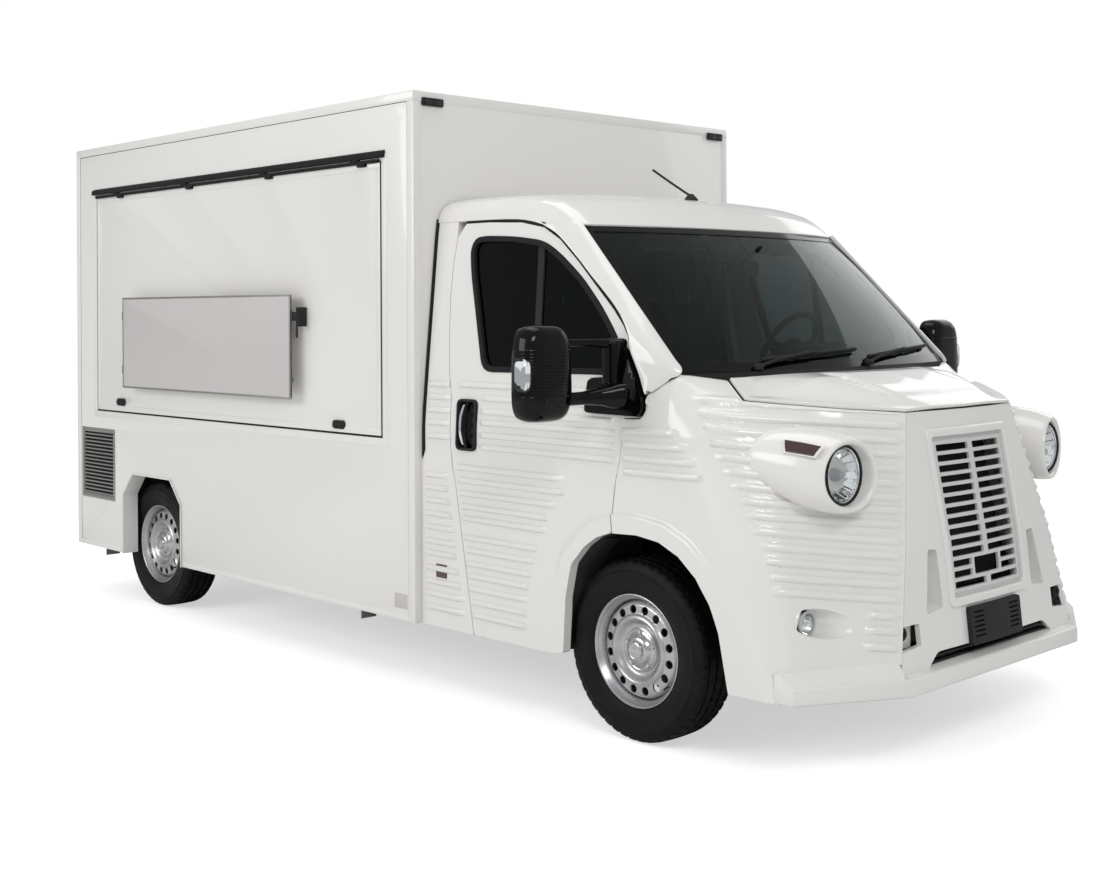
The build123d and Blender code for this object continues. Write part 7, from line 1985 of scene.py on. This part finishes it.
def steering():
    """Rim, three spokes and pad on the raked axis."""
    centre = np.array([1.4795, 0.450, 1.535])
    axis = np.array([-cos(radians(30)), 0, sin(radians(30))])
    side = np.array([0.0, 1.0, 0.0])
    up = np.cross(side, axis)
    up = up / np.linalg.norm(up)
    if up[2] < 0:
        up = -up
    rings = []
    turns, around = 72, 14
    vertices = []
    for i in range(turns):
        a = 2 * pi * i / turns
        radial = side * cos(a) + up * sin(a)
        for k in range(around):
            b = 2 * pi * k / around
            thick = 0.0150 + 0.0016 * cos(8 * a) * (sin(b) < 0)
            vertices.append(centre + radial * (0.1745 + thick * cos(b)) + axis * thick * sin(b))
    faces = []
    for i in range(turns):
        for k in range(around):
            faces.append((i * around + k, ((i + 1) % turns) * around + k,
                          ((i + 1) % turns) * around + (k + 1) % around, i * around + (k + 1) % around))
    rim = new_object("steering_rim", vertices, faces)
    parts = [rim]
    for a in (radians(8), radians(172), radians(270)):
        start = centre + (side * cos(a) + up * sin(a)) * 0.035 - axis * 0.018
        end = centre + (side * cos(a) + up * sin(a)) * 0.170
        across = -side * sin(a) + up * cos(a)
        ring_a = [tuple(start + across * u * 0.024 + axis * v * 0.008)
                  for u, v in superellipse(1, 1, 2.6, 20)]
        ring_b = [tuple((start + end) / 2 + across * u * 0.017 + axis * (v * 0.007 - 0.006))
                  for u, v in superellipse(1, 1, 2.6, 20)]
        ring_c = [tuple(end + across * u * 0.020 + axis * v * 0.007)
                  for u, v in superellipse(1, 1, 2.6, 20)]
        parts.append(loft("spoke", [ring_a, ring_b, ring_c]))
    rings = []
    for depth, size in ((-0.045, 0.050), (-0.020, 0.062), (-0.004, 0.060), (0.004, 0.050), (0.007, 0.028),
                        (0.008, 0.006)):
        rings.append([tuple(centre + side * u * size + up * (v * size * 0.9 - 0.006) + axis * depth)
                      for u, v in superellipse(1, 1, 3.0, 40)])
    parts.append(loft("pad", rings))
    piece(merged("steering_wheel_skin", parts), "black", "steering_wheel",
          ("steering_wheel",))
    dressed("steering_column", "black", 0.006, 3)
    stalks = [tube("stalk", [(1.54, 0.45 + s * 0.03, 1.505), (1.53, 0.45 + s * 0.10, 1.512),
                             (1.525, 0.45 + s * 0.165, 1.518)], 0.0075) for s in (1, -1)]
    piece(merged("stalks", stalks), "black", "truck")


def pillow(name, centre, size, crown=0.32, channels=(), bolster=0.0, lean=0.0):
    """A crowned soft closed form: fuller in the middle, tucked along its seams and channels."""
    cells = (30, 34)
    u, v = np.meshgrid(np.linspace(-1, 1, cells[0]), np.linspace(-1, 1, cells[1]), indexing="ij")
    edge_u, edge_v = 1 - np.abs(u) ** 5, 1 - np.abs(v) ** 5
    full = np.clip(edge_u, 0, 1) ** 0.45 * np.clip(edge_v, 0, 1) ** 0.45
    puff = full * (1 + crown * (1 - u * u) * (1 - v * v) * 0.35)
    for place, along, depth, reach in channels:
        t = u if along == "u" else v
        puff -= depth * np.exp(-((t - place) / 0.05) ** 2) * full * (np.abs(v if along == "u" else u) < reach)
    puff += bolster * full * np.exp(-((np.abs(v) - 0.80) / 0.14) ** 2)
    corner = 1 - 0.045 * np.clip(np.abs(u), 0, 1) ** 6 * np.clip(np.abs(v), 0, 1) ** 6
    x = u * size[0] / 2 * corner
    y = v * size[1] / 2 * corner
    top = size[2] / 2 * puff
    low = -size[2] / 2 * full * 0.92
    vertices, faces = [], []
    rows, columns = cells
    for sheet in (top, low):
        for i in range(rows):
            for j in range(columns):
                vertices.append((x[i, j], y[i, j], sheet[i, j]))
    half = rows * columns
    for i in range(rows - 1):
        for j in range(columns - 1):
            a, b = i * columns + j, (i + 1) * columns + j
            c, d = b + 1, a + 1
            faces.append((a, b, c, d))
            faces.append((half + a, half + d, half + c, half + b))
    made = new_object(name, vertices, faces)
    facing_out(made, 1e-5)
    turn = Matrix.Rotation(lean, 4, "Y")
    made.data.transform(Matrix.Translation(Vector(centre)) @ turn)
    return made


def creases(made, amount, size):
    """Small folds in the cover."""
    rng = np.random.default_rng(11)
    count = len(made.data.vertices)
    flat = np.empty(count * 3)
    made.data.vertices.foreach_get("co", flat)
    points = flat.reshape(-1, 3)
    normals = np.array([v.normal[:] for v in made.data.vertices])
    wave = np.zeros(count)
    for _ in range(7):
        direction = rng.normal(size=3)
        direction /= np.linalg.norm(direction)
        wave += np.sin(points @ direction * size * rng.uniform(0.7, 1.4) + rng.uniform(0, 6.28))
    points = points + normals * (wave / 7 * amount)[:, None]
    made.data.vertices.foreach_set("co", points.reshape(-1))
    made.data.update()


def seats():
    """Cushion, back and headrest of each seat, over the CAD frames."""
    firsts = {"seat_pads": [], "headrests": []}
    for side, y in (("left", 0.45), ("right", -0.45)):
        cushion = pillow("seat_cushion_" + side, (1.060, y, 1.128), (0.495, 0.478, 0.122), 0.30,
                         ((0.0, "u", 0.22, 0.66), (-0.62, "v", 0.20, 0.97), (0.62, "v", 0.20, 0.97),
                          (0.48, "u", 0.16, 0.66), (-0.48, "u", 0.16, 0.66)), bolster=0.22)
        back = pillow("seat_back_" + side, (0.822, y, 1.462), (0.610, 0.474, 0.118), 0.30,
                      ((-0.62, "v", 0.20, 0.92), (0.62, "v", 0.20, 0.92), (0.0, "u", 0.20, 0.66),
                       (0.45, "u", 0.16, 0.66), (-0.45, "u", 0.16, 0.66)), bolster=0.24,
                       lean=radians(79.5) - pi)
        rest = pillow("headrest_" + side, (0.765, y, 1.922), (0.182, 0.258, 0.084), 0.5,
                      ((0.0, "u", 0.10, 0.8),), lean=radians(82) - pi)
        for made, slot, node in ((cushion, "seat_cloth", "seat_pads"), (back, "seat_cloth", "seat_pads"),
                                 (rest, "seat_cloth", "headrests")):
            creases(made, 0.0022, 38.0)
            sub = made.modifiers.new("Soft", "SUBSURF")
            sub.levels = 1
            baked(made)
            piece(made, "cloth", "truck", (), 60)
            firsts[node].append(made)
        piping = []
        for z in (1.128, ):
            loop = [(1.060 + 0.2475 * u, y + 0.239 * v, z) for u, v in superellipse(0.985, 0.985, 7.0, 64)]
            piping.append(tube("piping", loop, 0.0035, cyclic=True))
        rods = [tube("rest_rod", [(0.800, y + s * 0.06, 1.72), (0.782, y + s * 0.06, 1.80),
                                  (0.768, y + s * 0.06, 1.90)], 0.006) for s in (1, -1)]
        piece(merged("seat_piping_" + side, piping), "black", "truck")
        piece(merged("rest_rods_" + side, rods), "chrome", "truck")
        belt = slab("belt_" + side, np.array([[(0.640, y * 2.18, 1.70), (0.640, y * 2.12, 1.70)],
                                              [(0.690, y * 2.10, 1.50), (0.690, y * 2.04, 1.50)],
                                              [(0.71, y * 2.08, 1.10), (0.71, y * 2.02, 1.10)]]), 0.002)
        piece(belt, "black", "truck")
    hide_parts("seat_pads")
    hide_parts("headrests")
    dressed("seat_frames", "black", 0.006, 2)


def cab_inside():
    """Sun visors, rear wall trim, floor mat and pedals."""
    dressed("cab_rear_wall", "trim", 0.003, 2)
    mat = softened(brick("floor_mat", (0.93, -0.78, 0.641), (1.54, 0.78, 0.652)), 0.004, 2)
    piece(mat, "floor", "truck")
    visors = [softened(brick("visor", (1.395, y - 0.19, 1.985), (1.545, y + 0.19, 2.003)), 0.007, 3)
              for y in (-0.42, 0.42)]
    for made in visors:
        made.data.transform(Matrix.Translation((1.47, 0, 1.995)) @ Matrix.Rotation(radians(22), 4, "Y")
                            @ Matrix.Translation((-1.47, 0, -1.995)))
    piece(merged("sun_visors", visors), "liner", "truck")
    pedals = [softened(brick("pedal", (1.655, y - 0.032, 0.76), (1.670, y + 0.032, 0.86)), 0.004, 2)
              for y in (0.33, 0.46, 0.59)]
    arms = [tube("pedal_arm", [(1.665, y, 0.84), (1.72, y, 0.98), (1.74, y, 1.10)], 0.008)
            for y in (0.33, 0.46, 0.59)]
    piece(merged("pedals", pedals + arms), "black", "truck")

door_skin()
side_skin()
door_window()
door_handle()
door_inside()
door_jamb()
corner_skin()
arch_lip()
nose_skin()
grille()
plate_holder()
bonnet_skin()
headlamps()
indicators()
fog_lamps()
bumper_skin()
roof_skin()
pillar_skin()
door_gap_strip()
windscreen()
cowl_panel()
wipers()
mirror()
cab_box_seal()
antenna()
wheels()
wheel_housings()
box_walls()
edge_profiles()
arch_trim()
hatch()
sign()
vent_louvre()
box_fittings()
under_box()
counter()
dashboard()
steering()
seats()
cab_inside()
